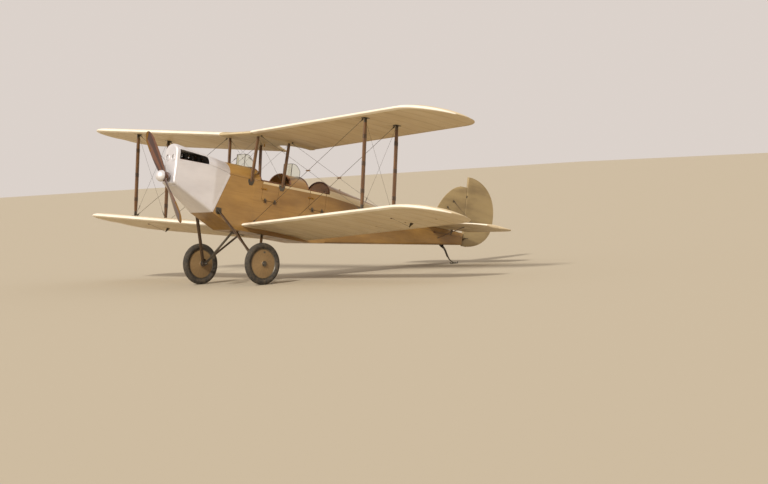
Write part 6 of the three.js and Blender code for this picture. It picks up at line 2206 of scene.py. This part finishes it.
def seat(label, back):
    front = back - SEAT_DEPTH
    floor = (floor_height(front) + 12.3, floor_height(back) + 12.3)
    pan, top = seat_level(190), seat_level(710)
    base = prism([(-SEAT_HALF, front, floor[0]), (-SEAT_HALF, back, floor[1]), (-SEAT_HALF, back - 26, pan),
                  (-SEAT_HALF, front, pan)], (2 * SEAT_HALF, 0, 0))
    board_low, board_high = Vector((0, back - 6, pan)), Vector((0, back + 40, top))
    rows = []
    for t in [k / 14 for k in range(15)]:
        at = board_low.lerp(board_high, t)
        width = SEAT_HALF * (1 - 0.22 * (max(t - 0.7, 0) / 0.3) ** 2)
        rows.append([Vector((x, at.y - 16 * (x / SEAT_HALF) ** 2, at.z)) for x in
                     steps_between(-width, width, 2 * width / 16)])
    board = sheet(rows, 7)
    wall = [(front + 14, pan - 6), (back, pan - 6), (back + 20, seat_level(530)),
            (back - 60, seat_level(505)), (back - 150, seat_level(452)), (back - 250, seat_level(415)),
            (front + 40, seat_level(352)), (front + 14, seat_level(330))]
    walls = [prism([(x, y, z) for y, z in wall], (SEAT_WALL - 5, 0, 0)) for x in
             (-SEAT_HALF, SEAT_HALF - SEAT_WALL + 5)]
    add(f"{label}_seat", merge(base, board, *walls), VARNISHED, cad=[f"{label}_seat"], bevel=2.0)
    rim = [[Vector((side * (SEAT_HALF - 5), y, z)) for y, z in wall[2:]] for side in (-1, 1)]
    rolls = [tube(smooth_route(route, 5), 7.5, 12) for route in (*rim, rows[-1])]
    add(f"{label}_seat_edging", merge(*rolls), LEATHER)
    middle_y = front + 18 + (SEAT_DEPTH - 62) / 2
    squab = stuffed(cushion_outline(SEAT_HALF - 22, (SEAT_DEPTH - 70) / 2), 58,
                    Matrix.Translation((0, middle_y, pan + 32)))
    squab_piece = add(f"{label}_seat_cushion", squab, LEATHER)
    puff(squab_piece, 9)
    lean = Matrix.Rotation(SEAT_LEAN, 4, (-1, 0, 0)) @ Matrix.Rotation(math.pi / 2, 4, (1, 0, 0))
    at = board_low.lerp(board_high, 0.56) + Vector((0, -36, 0))
    rest = stuffed(cushion_outline(SEAT_HALF - 30, 176), 42, Matrix.Translation(at) @ lean)
    rest_piece = add(f"{label}_seat_back_cushion", rest, LEATHER)
    puff(rest_piece, 7)
    belts = []
    thick = Vector((0, 0, 2.4))
    for side in (-1, 1):
        route = smooth_route([(side * (SEAT_HALF - 16), back - 60, pan + 66),
                              (side * 150, back - 90, pan + 76), (side * 90, back - 150, pan + 74),
                              (side * 40, back - 210, pan + 72)], 6)
        rings = []
        for i, p in enumerate(route):
            ahead = (route[min(i + 1, len(route) - 1)] - route[max(i - 1, 0)]).normalized()
            across = ahead.cross(Vector((0, 0, 1))).normalized() * 22
            rings.append([p - across, p + across, p + across + thick, p - across + thick])
        belts.append(loft(rings))
    add(f"{label}_seat_belt", merge(*belts), WEBBING)
    buckle = shifted(block((-30, -20, 0), (30, 20, 5)), 0, back - 212, pan + 73)
    add(f"{label}_belt_buckle", buckle, BRASS, bevel=2)


seat("front", 960)
seat("rear", 1780)

# Windscreens: three flat panes in a light frame

PANE_TOP, PANE_HALF, PANE_WIDE, PANE_DEEP = 1186, 110, 198, 110


def pane(corners, start, rise):
    """Outline of a pane between two plan points, standing on the deck, with a rounded free corner."""
    (x0, y0), (x1, y1) = corners
    low = [Vector((x0 + (x1 - x0) * t, y0 + (y1 - y0) * t, 0)) for t in (k / 14 for k in range(15))]
    for p in low:
        p.z = arch_above(p.y, p.x) + 2.5
    top = []
    for t in [1 - k / 14 for k in range(15)]:
        p = Vector((x0 + (x1 - x0) * t, y0 + (y1 - y0) * t, 0))
        p.z = start + (rise - start) * t
        if rise < start:
            p.z = start - (start - rise) * t ** 2.6
        top.append(p)
    return low + top


def windscreen(label, y):
    centre = pane([(-PANE_HALF, y), (PANE_HALF, y)], PANE_TOP, PANE_TOP)
    side = pane([(PANE_HALF, y), (PANE_WIDE, y + PANE_DEEP)], PANE_TOP, PANE_TOP - 120)
    other = [Vector((-p.x, p.y, p.z)) for p in side]
    outward = Vector((PANE_DEEP, -(PANE_WIDE - PANE_HALF), 0)).normalized()
    panes = [prism(centre, (0, 4, 0)), prism(side, outward * -4),
             prism(other, Vector((outward.x, -outward.y, 0)) * 4)]
    add(f"{label}_windscreen", merge(*panes), GLASS, cad=[f"{label}_windscreen"], hard=True)
    frames = [tube(outline + [outline[0]], 3.6, 8) for outline in (centre, side, other)]
    post_foot = arch_above(y, PANE_HALF) - 2
    posts = [rod((s * PANE_HALF, y + 2, post_foot), (s * PANE_HALF, y + 2, PANE_TOP + 3), 6, 12)
             for s in (-1, 1)]
    feet = []
    for x, at_y in ((-90, y), (0, y), (90, y)):
        z = arch_above(at_y, x)
        feet += [block((x - 13, at_y - 20, z - 2), (x + 13, at_y + 2, z + 3)),
                 dome((x, at_y - 12, z + 3), (0, 0, 1), 4, 3)]
    add(f"{label}_windscreen_frame", merge(*frames, *posts, *feet), STEEL)


windscreen("front", COCKPITS[0][0] - 150)
windscreen("rear", COCKPITS[1][0] - 160)

# Engine

CYLINDERS = [-1035 + 132 * k for k in range(4)]
CYLINDER_RADIUS, HEAD_TOP, CASE_TOP = 54, 1005, 800
finish_node("engine_crankcase", IRON, 4.0)


def cylinder(y):
    """A cast barrel with thin cooling fins, the head's fins wider apart."""
    profile = [(46, CASE_TOP + 4), (46, CASE_TOP + 13), (40, CASE_TOP + 15)]
    z = CASE_TOP + 20
    while z < 930:
        profile += [(40, z), (51.5, z + 0.6), (51.5, z + 2.2), (40, z + 3)]
        z += 7.5
    profile += [(42, 934), (47, 938)]
    z = 942
    while z < HEAD_TOP - 12:
        profile += [(46, z), (CYLINDER_RADIUS - 0.4, z + 0.8), (CYLINDER_RADIUS - 0.4, z + 3), (46, z + 4)]
        z += 10.5
    profile += [(46, HEAD_TOP - 6), (40, HEAD_TOP + 4), (0.5, HEAD_TOP + 4)]
    return lathe([(0.5, CASE_TOP + 4), *profile], (0, y, 0), (0, 0, 1), 36)


bank_front, bank_back = CYLINDERS[0] - CYLINDER_RADIUS, CYLINDERS[-1] + CYLINDER_RADIUS
rocker = block((-30, bank_front + 15, HEAD_TOP + 1), (30, bank_back - 15, HEAD_TOP + 22))
bank = [cylinder(y) for y in CYLINDERS] + [rocker, block((-60, bank_front, CASE_TOP + 0.3),
                                                         (60, bank_back, CASE_TOP + 14))]
add("cylinder_bank", merge(*bank), IRON, cad=["cylinder_bank"])
bits = []
for y in CYLINDERS:
    bits += [hexagon((x, y + dy, CASE_TOP + 14), (0, 0, 1), 5.5, 6) for x in (-52, 52) for dy in (-40, 40)]
    bits += [rod((40, y + dy, CASE_TOP + 4), (34, y + dy, HEAD_TOP + 2), 5.5, 12) for dy in (-16, 16)]
    bits += [hexagon((0, y + dy, HEAD_TOP + 22), (0, 0, 1), 6, 5) for dy in (-34, 34)]
add("engine_studs_and_tubes", merge(*bits), STEEL)
plugs = [lathe([(9, 0), (9, 9), (6, 10), (6, 26), (3, 28), (3, 34), (0.5, 34)], (46, y + 28, 968),
               (1, 0, 0.25), 14) for y in CYLINDERS]
add("spark_plugs", merge(*plugs), BRASS)
manifold = [tube(smooth_route([(96, CYLINDERS[0], 900), (100, CYLINDERS[1], 896), (100, CYLINDERS[2], 896),
                               (96, CYLINDERS[3], 900)]), 15, 18)]
manifold += [rod((44, y, 905), (96, y, 899), 13, 16) for y in CYLINDERS]
riser = smooth_route([(100, -905, 896), (112, -905, 850), (118, -900, 800), (118, -900, 760)])
manifold.append(tube(riser, 17, 18))
add("intake_manifold", merge(*manifold), COPPER)
carburettor = merge(lathe([(34, 0), (34, 60), (26, 70), (26, 92), (34, 98), (34, 104)], (118, -900, 664),
                          (0, 0, 1), 24),
                    rod((118, -945, 712), (118, -855, 712), 20, 20))
add("carburettor", carburettor, BRASS)
magneto = merge(block((-36, -352, 666), (36, -290, 742)), rod((0, -352, 705), (0, -290, 705), 42, 28))
add("magneto", magneto, IRON, bevel=3)

# Exhaust

EXHAUST_RADIUS, EXHAUST_X, EXHAUST_Z, PIPE_SIDES = 24, -118, 945, 26
exhaust_route = smooth_route([(EXHAUST_X, -800, EXHAUST_Z), (-200, -800, EXHAUST_Z), (-275, -785, 935),
                              (-318, -740, 890), (-340, -640, 760), (-348, -500, 560), (-348, -380, 380),
                              (-348, -250, 265), (-348, -90, 200)], 9)
pipe_points, _ = tube(exhaust_route, EXHAUST_RADIUS, PIPE_SIDES, caps=False)
pipe_rings = [pipe_points[i:i + PIPE_SIDES] for i in range(0, len(pipe_points), PIPE_SIDES)]
mouth = exhaust_route[-1]
mouth_line = (exhaust_route[-1] - exhaust_route[-2]).normalized()
bore = [mouth + (p - mouth) * 0.9 for p in pipe_rings[-1]]
pipe_rings += [bore, [p - mouth_line * 70 for p in bore]]
bank_length = bank_back - bank_front
gallery = lathe([(0.5, -8), (20, -6), (25, 0), (25, bank_length - 10), (20, bank_length - 4),
                 (0.5, bank_length - 2)], (EXHAUST_X, bank_front + 10, EXHAUST_Z), (0, 1, 0), 26)
stubs = [rod((-50, y, EXHAUST_Z), (EXHAUST_X, y, EXHAUST_Z), 16, 20) for y in CYLINDERS]
add("exhaust_pipe", merge(loft(pipe_rings), gallery, *stubs), RUST, cad=["exhaust_pipe"])


def clamp(index):
    at = exhaust_route[index]
    line = (exhaust_route[index + 1] - exhaust_route[index - 1]).normalized()
    band = lathe([(24.2, -9), (27, -9), (27, 9), (24.2, 9)], at, line, 30, around=True)
    side, up = frame_along(line)
    ear = at + up * 34
    outline = [ear + side * across + up * rise - line * 8
               for across, rise in ((-4, -9), (4, -9), (4, 8), (-4, 8))]
    return merge(band, prism(outline, line * 16), hexagon(ear + side * 4, side, 5, 4))


flanges = [lathe([(17, -3), (26, -3), (26, 3), (17, 3)], (-58, y, EXHAUST_Z), (1, 0, 0), 20, around=True)
           for y in CYLINDERS]
brackets = [clamp(i) for i in (30, 48, 66)]
for i in (48, 66):
    p = exhaust_route[i]
    y, z = p.y + 8, p.z + 6
    brackets.append(rod(p + Vector((22, 0, 0)), (-FUSELAGE_HALF + 2, y, z), 5, 12))
    brackets.append(rod((-FUSELAGE_HALF - 4, y, z), (-FUSELAGE_HALF + 1, y, z), 16, 20))
add("exhaust_clamps", merge(*brackets, *flanges), STEEL)

# Propeller

PROPELLER_Y, PROPELLER_RADIUS = -1262, 965
PROPELLER_REST = math.radians(-40)
BLADE_ROOT, ROOT_CHORD, BLADE_CHORD, ROOT_THICKNESS, TIP_THICKNESS, BLADE_PITCH = 70, 105, 165, 62, 9, 1300
BLADE_SIDES = 36


def blade_ring(radius, grow=0.0):
    out = max((radius - BLADE_ROOT) / (PROPELLER_RADIUS - BLADE_ROOT), 0)
    swell = math.sin(math.pi * min(out / 0.62, 1) / 2)
    closing = math.sqrt(max(1 - ((out - 0.75) / 0.26) ** 2, 0.012)) if out > 0.75 else 1
    chord = (ROOT_CHORD + (BLADE_CHORD - ROOT_CHORD) * swell) * closing + grow
    thickness = ROOT_THICKNESS + (TIP_THICKNESS - ROOT_THICKNESS) * math.sqrt(out) + grow
    angle = math.atan(BLADE_PITCH / (2 * math.pi * max(radius, 200)))
    flat = ease(out, 0.05, 0.3)
    ring = []
    for t in turns(BLADE_SIDES):
        u, v = math.cos(t) * chord / 2, math.sin(t) * thickness / 2
        if v > 0:
            v *= 1 - 0.55 * flat
        ring.append(Vector((u * math.cos(angle) - v * math.sin(angle),
                            u * math.sin(angle) + v * math.cos(angle), radius)))
    return ring


def on_shaft(shape):
    """Moves a shape drawn upright at the origin to the shaft, at the propeller's angle of rest."""
    return placed(shape, Matrix.Translation((0, PROPELLER_Y, SHAFT_Z))
                  @ Matrix.Rotation(PROPELLER_REST, 4, "Y"))


def turned_over(shape):
    return [Vector((-p[0], p[1], -p[2])) for p in shape[0]], shape[1]


blade_radii = [30 + (PROPELLER_RADIUS - 30) * k / 56 for k in range(53)]
blade_radii += [PROPELLER_RADIUS - 935 / 56 * 4 * (1 - math.sin(t)) for t in quarter(10, 1)]
blade = loft([blade_ring(r) for r in blade_radii])
BOSS_FRONT, BOSS_BACK, BOSS_RADIUS = 46, 60, 82
boss = lathe([(0.5, -BOSS_FRONT), (BOSS_RADIUS - 1, -BOSS_FRONT), (BOSS_RADIUS, -BOSS_FRONT + 1),
              (BOSS_RADIUS, BOSS_BACK - 12), (BOSS_RADIUS - 3, BOSS_BACK - 4), (BOSS_RADIUS - 12, BOSS_BACK),
              (0.5, BOSS_BACK)], (0, 0, 0), (0, 1, 0), 56)
add("propeller", on_shaft(merge(blade, turned_over(blade), boss)), AIRSCREW, "propeller", ["propeller"],
    crease=45)
SPINNER = [(92, 0, 0), (92, 8, 0), (88, 30, 0), (76, 56, 0), (56, 78, 0), (30, 92, 0), (8, 96, 0)]
spinner_line = [(p.x, p.y + BOSS_FRONT + 0.3) for p in [Vector(SPINNER[0]), *smooth_route(SPINNER[1:], 5)]]
spinner_line = [(0.5, spinner_line[0][1]), *spinner_line, (0.5, spinner_line[-1][1] + 0.6)]
spinner = lathe(spinner_line, (0, 0, 0), (0, -1, 0), 64)
add("propeller_spinner", on_shaft(spinner), COWL, "propeller", ["propeller_spinner"], crease=40)
spinner_screws = []
for t in turns(10, 0.5):
    out = Vector((math.cos(t), 0, math.sin(t)))
    spinner_screws.append(dome(out * 91.8 - Vector((0, BOSS_FRONT + 5, 0)), out, 3.2, 1.6, 10))
add("spinner_screws", on_shaft(merge(*spinner_screws)), STEEL, "propeller")


def sheathing():
    """Brass along the leading edge and over the tip of a blade."""
    rings = []
    for r in [PROPELLER_RADIUS * (0.62 + 0.38 * k / 26) for k in range(27)]:
        r = min(r, PROPELLER_RADIUS - 0.5)
        ring = blade_ring(r, 1.8)
        reach = 5 if r < PROPELLER_RADIUS * 0.86 else 5 + int((r / PROPELLER_RADIUS - 0.86) / 0.14 * 10)
        edge = [ring[BLADE_SIDES // 2 + k] for k in range(-reach, reach + 1)]
        rings.append(resampled(edge, 17))
    return sheet(rings, 1.2)


pins = []
for k in range(9):
    r = PROPELLER_RADIUS * (0.64 + 0.035 * k)
    ring = blade_ring(r, 2.4)
    for i in (14, 22):
        out = (ring[i] - Vector((0, 0, r))).normalized()
        pins.append(dome(ring[i], out, 2.2, 1.0, 6))
sheath = sheathing()
add("propeller_tip_sheaths", on_shaft(merge(sheath, turned_over(sheath))), BRASS, "propeller")
add("propeller_sheath_pins", on_shaft(merge(*pins, *[turned_over(p) for p in pins])), BRASS, "propeller")

# Undercarriage

COLLAR_FROM, COLLAR_TO, COLLAR_RADIUS, AXLE_RADIUS = 742, 782, 34, 20
LEG_SHORT, LEG_PLATE_Y, LEG_PLATE_Z = 30, -359, 180
LEG_PLATE = ((-52, 46), (-60, -20), (-24, -62), (34, -62), (62, -14), (52, 46))
LEG_BOLTS = ((-40, 30), (40, 30), (-36, -38), (34, -40))
hub_point = Vector((COLLAR_FROM + 20, AXLE_Y, AXLE_Z))
front_top = Vector((285, -385, 215)).lerp(hub_point, 0.03)
rear_top = Vector((262, 575, -20)).lerp(hub_point, 0.098)
collar = lathe([(AXLE_RADIUS + 0.6, COLLAR_FROM), (COLLAR_RADIUS - 2, COLLAR_FROM),
                (COLLAR_RADIUS, COLLAR_FROM + 2), (COLLAR_RADIUS, COLLAR_TO - 2),
                (COLLAR_RADIUS - 2, COLLAR_TO), (AXLE_RADIUS + 0.6, COLLAR_TO)],
               (0, AXLE_Y, AXLE_Z), (1, 0, 0), 40, around=True)
legs, feet = [], []
for top, chord, thickness in ((front_top, 64, 34), (rear_top, 52, 26)):
    end = top.lerp(hub_point, 1 - LEG_SHORT / (hub_point - top).length)
    legs.append(strut(top, end, chord, thickness, 0.22))
    feet.append(strut_end(top, hub_point, chord * 1.05, thickness * 1.1, 84))
    low = hub_point.lerp(top, LEG_SHORT / (top - hub_point).length)
    feet.append(strut_end(low, top, chord, thickness, 80))
pair("undercarriage_vee", merge(*legs, collar), GEAR, cad=["undercarriage_vee_{side}"])
feet.append(bowed([(0, LEG_PLATE_Y + dy, LEG_PLATE_Z + dz) for dy, dz in LEG_PLATE],
                  (FUSELAGE_HALF - 0.5, 0, 0), (1, 0, 0), 5))
feet += [hexagon((FUSELAGE_HALF + 4, LEG_PLATE_Y + dy, LEG_PLATE_Z + dz), (1, 0, 0), 6, 5)
         for dy, dz in LEG_BOLTS]
feet.append(block((240, 486, FLOOR_Z - 5), (FUSELAGE_HALF + 8, 600, FLOOR_Z + 0.5)))
feet += [hexagon((x, y, FLOOR_Z - 5), (0, 0, -1), 6, 5) for x in (256, 290) for y in (500, 586)]
pair("undercarriage_fittings", merge(*feet), STEEL, bevel=0.8)
loops = []
for k in range(5):
    x = COLLAR_FROM + 4.5 + k * 7.8
    route = [Vector((x, AXLE_Y + math.cos(t) * (COLLAR_RADIUS + 5),
                     AXLE_Z + 22 + math.sin(t) * (COLLAR_RADIUS + 27))) for t in turns(36)]
    loops.append(tube(route, 4.2, 10, around=True))
pair("axle_shock_cord", merge(*loops), RUBBER)
cross_tube = rod((45, AXLE_Y, FLOOR_Z + 2), (COLLAR_FROM - 52, AXLE_Y, AXLE_Z + 8), 19, 28)
stub_axle = lathe([(0.5, COLLAR_FROM - 64), (18, COLLAR_FROM - 64), (AXLE_RADIUS, COLLAR_FROM - 60),
                   (AXLE_RADIUS, TRACK_HALF + 70), (17, TRACK_HALF + 74), (17, TRACK_HALF + 78),
                   (0.5, TRACK_HALF + 78)], (0, AXLE_Y, AXLE_Z), (1, 0, 0), 32)
elbow = lathe([(0.5, -26), (16, -22), (24, -8), (24, 8), (16, 22), (0.5, 26)],
              (COLLAR_FROM - 58, AXLE_Y, AXLE_Z + 4), (1, 0, 0.3), 24)
pair("half_axle", merge(cross_tube, stub_axle, elbow), STEEL, cad=["half_axle_{side}"])
centre_fitting = merge(block((-84, AXLE_Y - 34, FLOOR_Z - 7), (84, AXLE_Y + 34, FLOOR_Z + 0.4)),
                       rod((-70, AXLE_Y, FLOOR_Z - 18), (70, AXLE_Y, FLOOR_Z - 18), 24, 26))
add("axle_centre_fitting", centre_fitting, STEEL, bevel=2)

# Wheels and tyres

RIM, HUB_RADIUS, HUB_HALF, SPOKES = 240, 50, 58, 20
WHEEL_STEPS, TYRE_STEPS = 120, 240


def about_axle(profile, steps):
    """A closed skin. profile gives points (radius, offset) at an angle round the wheel."""
    return loft([[Vector((TRACK_HALF + w, AXLE_Y + math.cos(t) * r, AXLE_Z + math.sin(t) * r))
                  for r, w in profile(t)] for t in turns(steps)], around=True)


def disc_profile(t):
    """A fabric cover stretched from the hub to the rim, sunk a little between the spokes."""
    side = [(RIM, 0), (RIM, 30), (RIM - 3, 30), (RIM - 8, 22)]
    for k in range(1, 10):
        s = k / 10
        sunk = 1.9 * math.sin(math.pi * s) * math.sin(t * SPOKES / 2) ** 2
        side.append((RIM - 8 - (RIM - 8 - HUB_RADIUS) * s, 22 + 24 * s - sunk))
    side += [(HUB_RADIUS, 46), (HUB_RADIUS, HUB_HALF - 3), (HUB_RADIUS - 3, HUB_HALF),
             (AXLE_RADIUS + 0.5, HUB_HALF)]
    return side + [(r, -w) for r, w in reversed(side[1:])]


# The wheel covers' dark brown is painted shade.
pair("wheel", about_axle(disc_profile, WHEEL_STEPS), SHADED_WHEEL_COVER, "wheel_{side}", ["wheel_{side}"], crease=35)
rim_ring = [lathe([(RIM - 9, 20), (RIM - 1, 27), (RIM + 2, 33), (RIM - 2, 34), (RIM - 12, 25)],
                  (TRACK_HALF, AXLE_Y, AXLE_Z), (side, 0, 0), 96, around=True) for side in (1, -1)]
valve_at = (TRACK_HALF + 27, AXLE_Y, AXLE_Z + 182)
valve = lathe([(20, -1), (20, 2), (17, 4), (0.5, 4)], valve_at, (1, 0, -0.12), 24)
hub_ring = lathe([(30, HUB_HALF), (44, HUB_HALF), (44, HUB_HALF + 3), (36, HUB_HALF + 8), (30, HUB_HALF + 8)],
                 (TRACK_HALF, AXLE_Y, AXLE_Z), (1, 0, 0), 40, around=True)
hub_nuts = [hexagon((TRACK_HALF + HUB_HALF + 3, AXLE_Y + 40 * math.cos(t), AXLE_Z + 40 * math.sin(t)),
                    (1, 0, 0), 4, 3.5) for t in turns(6)]
pair("wheel_rims", merge(*rim_ring, valve, hub_ring, *hub_nuts), STEEL, "wheel_{side}")
laces_made = []
for t in turns(48, 0.5):
    out = Vector((0, math.cos(t), math.sin(t)))
    along = Vector((0, -math.sin(t), math.cos(t)))
    a = Vector((TRACK_HALF + 24.5, AXLE_Y, AXLE_Z)) + out * (RIM - 22)
    b = Vector((TRACK_HALF + 30.5, AXLE_Y, AXLE_Z)) + out * (RIM - 6) + along * 7
    laces_made.append(tube([a, a.lerp(b, 0.5) + Vector((2.5, 0, 0)), b], 1.5, 6))
pair("wheel_cover_lacing", merge(*laces_made), WEBBING, "wheel_{side}")
washer_from, washer_to = TRACK_HALF + HUB_HALF + 9, TRACK_HALF + HUB_HALF + 13
end_nut = merge(lathe([(18, washer_from), (30, washer_from), (30, washer_to), (18, washer_to)],
                      (0, AXLE_Y, AXLE_Z), (1, 0, 0), 28, around=True),
                rod((TRACK_HALF + 74, AXLE_Y - 27, AXLE_Z), (TRACK_HALF + 74, AXLE_Y + 27, AXLE_Z), 2.5, 8))
pair("axle_end_washer", end_nut, STEEL)

TYRE_RADIUS, TYRE_HALF = 335, 50
TYRE_CENTRE = TYRE_RADIUS - TYRE_HALF
TREAD = [(-0.50, -0.40), (-0.30, -0.20), (-0.10, 0.10), (0.20, 0.30), (0.40, 0.50)]
BLOCKS, TYRE_OPENING = 60, math.radians(118)


def tyre_profile(t):
    """Round tyre with five ribs, the outer ones cut into blocks."""
    found = []
    block_gap = math.cos(t * BLOCKS) < -0.2
    for k in range(49):
        share = (k - 24) / 24
        angle = share * TYRE_OPENING
        on_rib = any(low - 0.01 <= share <= high + 0.01 for low, high in TREAD)
        radius = TYRE_HALF if on_rib or abs(share) > 0.55 else TYRE_HALF - 3
        if on_rib and abs(share) > 0.35 and block_gap:
            radius = TYRE_HALF - 3
        if 0.55 < abs(share) < 0.62:
            radius = TYRE_HALF - 1
        found.append((TYRE_CENTRE + math.cos(angle) * radius, math.sin(angle) * radius))
    return found + [(RIM + 0.3, 30), (RIM + 0.3, -30)]


pair("tyre", about_axle(tyre_profile, TYRE_STEPS), TYRE, "wheel_{side}", ["tyre_{side}"], crease=28)

# Tail fittings

HORN_ELEVATOR_X, HORN_REACH, HORN_Y = 170, 110, ELEVATOR_HINGE_Y + 10
RUDDER_HORN_X, RUDDER_HORN_Y, RUDDER_HORN_Z = 124, 5085, 520
RUDDER_HORN = ((-130, -9), (-124, -14), (-20, -20), (20, -20), (124, -14), (130, -9), (130, 9), (20, 40),
               (-20, 40), (-130, 9))
UPPER_RUN = (120, 3300, 700), (HORN_ELEVATOR_X, HORN_Y, TAIL_Z + HORN_REACH)
LOWER_RUN = (202, 3500, 545), (HORN_ELEVATOR_X, HORN_Y, TAIL_Z - HORN_REACH)
RUDDER_RUN = (125, 4300, RUDDER_HORN_Z), (RUDDER_HORN_X, RUDDER_HORN_Y, RUDDER_HORN_Z)

horns = [horn_plate(HORN_ELEVATOR_X, (HORN_Y - 16, TAIL_Z + way * 10), (HORN_Y + 46, TAIL_Z + way * 10),
                    (HORN_Y, TAIL_Z + way * HORN_REACH), way) for way in (1, -1)]
pair("elevator_horns", merge(*horns), STEEL, "elevator", bevel=0.6)
cable("elevator_cable_upper", straight(*UPPER_RUN, 40))
cable("elevator_cable_lower", straight(*LOWER_RUN, 40))
plate = prism([(x, RUDDER_HORN_Y + dy, RUDDER_HORN_Z - 2) for x, dy in RUDDER_HORN], (0, 0, 4))
eyes = [rod((x, RUDDER_HORN_Y, RUDDER_HORN_Z - 8), (x, RUDDER_HORN_Y, RUDDER_HORN_Z + 8), 4, 12)
        for x in (-RUDDER_HORN_X, RUDDER_HORN_X)]
add("rudder_horn", merge(plate, *eyes), STEEL, "rudder", bevel=0.6)
cable("rudder_cable", straight(*RUDDER_RUN, 30))
fairleads = []
for a, b in (UPPER_RUN, LOWER_RUN, RUDDER_RUN):
    a, b = Vector(a), Vector(b)
    fairleads.append(lathe([(4, -16), (9, -16), (11, -5), (11, 8), (8, 18), (4, 18)],
                           a + (b - a).normalized() * 14, b - a, 16, around=True))
pair("cable_fairleads", merge(*fairleads), LEATHER)

tail_strut_top = Vector((820, 4380, 0))
tail_strut_top.z = tailplane_skin(820, 0.5, -1).z + 0.5
tail_strut_low = Vector((62, 4420, 420)).lerp(Vector((820, 4380, 640)), 0.055)
pair("tailplane_strut", strut(tail_strut_low, tail_strut_top, 34, 16, 0.2), SPRUCE,
     cad=["tailplane_strut_{side}"])
ends_made = [strut_end(tail_strut_low, tail_strut_top, 36, 17, 60),
             strut_end(tail_strut_top, tail_strut_low, 36, 17, 60)]
pair("tailplane_strut_ends", merge(*ends_made), STEEL)
fin_side = Vector((17, 4760, 1130))
plane_top = tailplane_skin(880, 0.8, 1, 0.5)
tail_wire, tail_wire_ends = braced(fin_side, (1, 0, 0), plane_top, (0, 0, 1), flat=False)
front_wire, front_wire_ends = braced((14, 4640, 1010), (1, 0, 0), tailplane_skin(640, 0.35, 1, 0.5),
                                     (0, 0, 1), flat=False)
pair("fin_bracing_wires", merge(tail_wire, front_wire, tail_wire_ends, front_wire_ends), STEEL)

# Tail skid: three leaves, an iron shoe and a rubber-bound trunnion

def ground_z(y):
    return AXLE_Z + (y - AXLE_Y) * math.tan(PARKED_PITCH) - TYRE_RADIUS / math.cos(PARKED_PITCH)


SKID_Y, SKID_HALF = 4940, 17
shoe_z = ground_z(SKID_Y)
leaf_line = smooth_route([(0, 4520, 402), (0, 4600, 364), (0, 4700, 284), (0, 4820, 130),
                          (0, SKID_Y + 4, shoe_z + 14)], 8)
leaves = []
for k, share in enumerate((1.0, 0.72, 0.46)):
    count = max(int(len(leaf_line) * share), 3)
    rings = []
    for i, p in enumerate(leaf_line[:count]):
        ahead = (leaf_line[min(i + 1, len(leaf_line) - 1)] - leaf_line[max(i - 1, 0)]).normalized()
        normal = Vector((1, 0, 0)).cross(ahead).normalized()
        base = p - normal * (k * 11)
        half = Vector((SKID_HALF * (1 - 0.25 * (i / (len(leaf_line) - 1))), 0, 0))
        rings.append([base - half, base + half, base + half - normal * 10, base - half - normal * 10])
    leaves.append(loft(rings))
tilt = Matrix.Translation((0, SKID_Y, shoe_z)) @ Matrix.Rotation(PARKED_PITCH, 4, (1, 0, 0))
shoe_rings = []
for y in steps_between(-90, 90, 9):
    lift = 26 * max(abs(y) - 55, 0) ** 2 / 35 ** 2
    width = 23 * math.sqrt(max(1 - (abs(y) / 98) ** 4, 0.04))
    corners = ((-width, lift), (width, lift), (width, lift + 9), (-width, lift + 9))
    shoe_rings.append([tilt @ Vector((x, y, z)) for x, z in corners])
skid_shoe = merge(loft(shoe_rings), placed(block((-14, -34, 6), (14, 34, 26)), tilt))
add("tail_skid", merge(*leaves, skid_shoe), STEEL, cad=["tail_skid"], bevel=1.0)
wraps = []
for p, n in zip(leaf_line[6:12], leaf_line[7:13]):
    normal = Vector((1, 0, 0)).cross((n - p).normalized()).normalized()
    route = [p - normal * 16 + Vector((1, 0, 0)) * math.cos(t) * 26 + normal * math.sin(t) * 27
             for t in turns(24)]
    wraps.append(tube(route, 5, 8, around=True))
add("tail_skid_rubber", merge(*wraps), RUBBER)

# Cowl details: fasteners and rivets

cowl_bits = []
for share, last in ((0.045, SIDE_CORNER[0] - 30), (0.955, cowl_back - 40)):
    for y in steps_between(cowl_front + 24, last, 92):
        cowl_bits.append(fastener(cowl_side_point(y, share, 0.2), (1, 0, 0.05), 6))
pair("cowl_fasteners", merge(*cowl_bits), COWL)
nose_lap = [dome(cowl_side_point(NOSE_Y + NOSE_CAP + 10, share, 0.1), (1, -0.1, 0), 3.2, 1.6, 8)
            for share in steps_between(0.04, 0.96, 0.08)]
pair("cowl_edge_rivets", merge(*nose_lap), COWL)

# Scene: floor, light and air

def make_stage():
    floor_mesh = bpy.data.meshes.new("floor")
    half = 150.0
    floor_mesh.from_pydata([(-half, -half, 0), (half, -half, 0), (half, half, 0), (-half, half, 0)], [],
                           [(0, 1, 2, 3)])
    floor = bpy.data.objects.new("floor", floor_mesh)
    bpy.context.scene.collection.objects.link(floor)
    look = Look("floor", "", 0.9)
    look.shader.inputs["Base Color"].default_value = tone(180, 168, 145)
    floor_mesh.materials.append(look.material)
    sun_data = bpy.data.lights.new("sun", "SUN")
    sun_data.energy = 3.4
    sun_data.angle = math.radians(6)
    sun_data.color = (1.0, 0.97, 0.92)
    sun = bpy.data.objects.new("sun", sun_data)
    toward_sun = Vector((0.42, -0.85, 0.62)).normalized()
    sun.rotation_mode = "QUATERNION"
    sun.rotation_quaternion = toward_sun.to_track_quat("Z", "Y")
    bpy.context.scene.collection.objects.link(sun)
    world = bpy.data.worlds.new("sky")
    world.use_nodes = True
    back = world.node_tree.nodes["Background"]
    back.inputs["Color"].default_value = tone(230, 220, 213)
    back.inputs["Strength"].default_value = 0.9
    bpy.context.scene.world = world
    bpy.context.scene.view_settings.view_transform = "Standard"


make_stage()
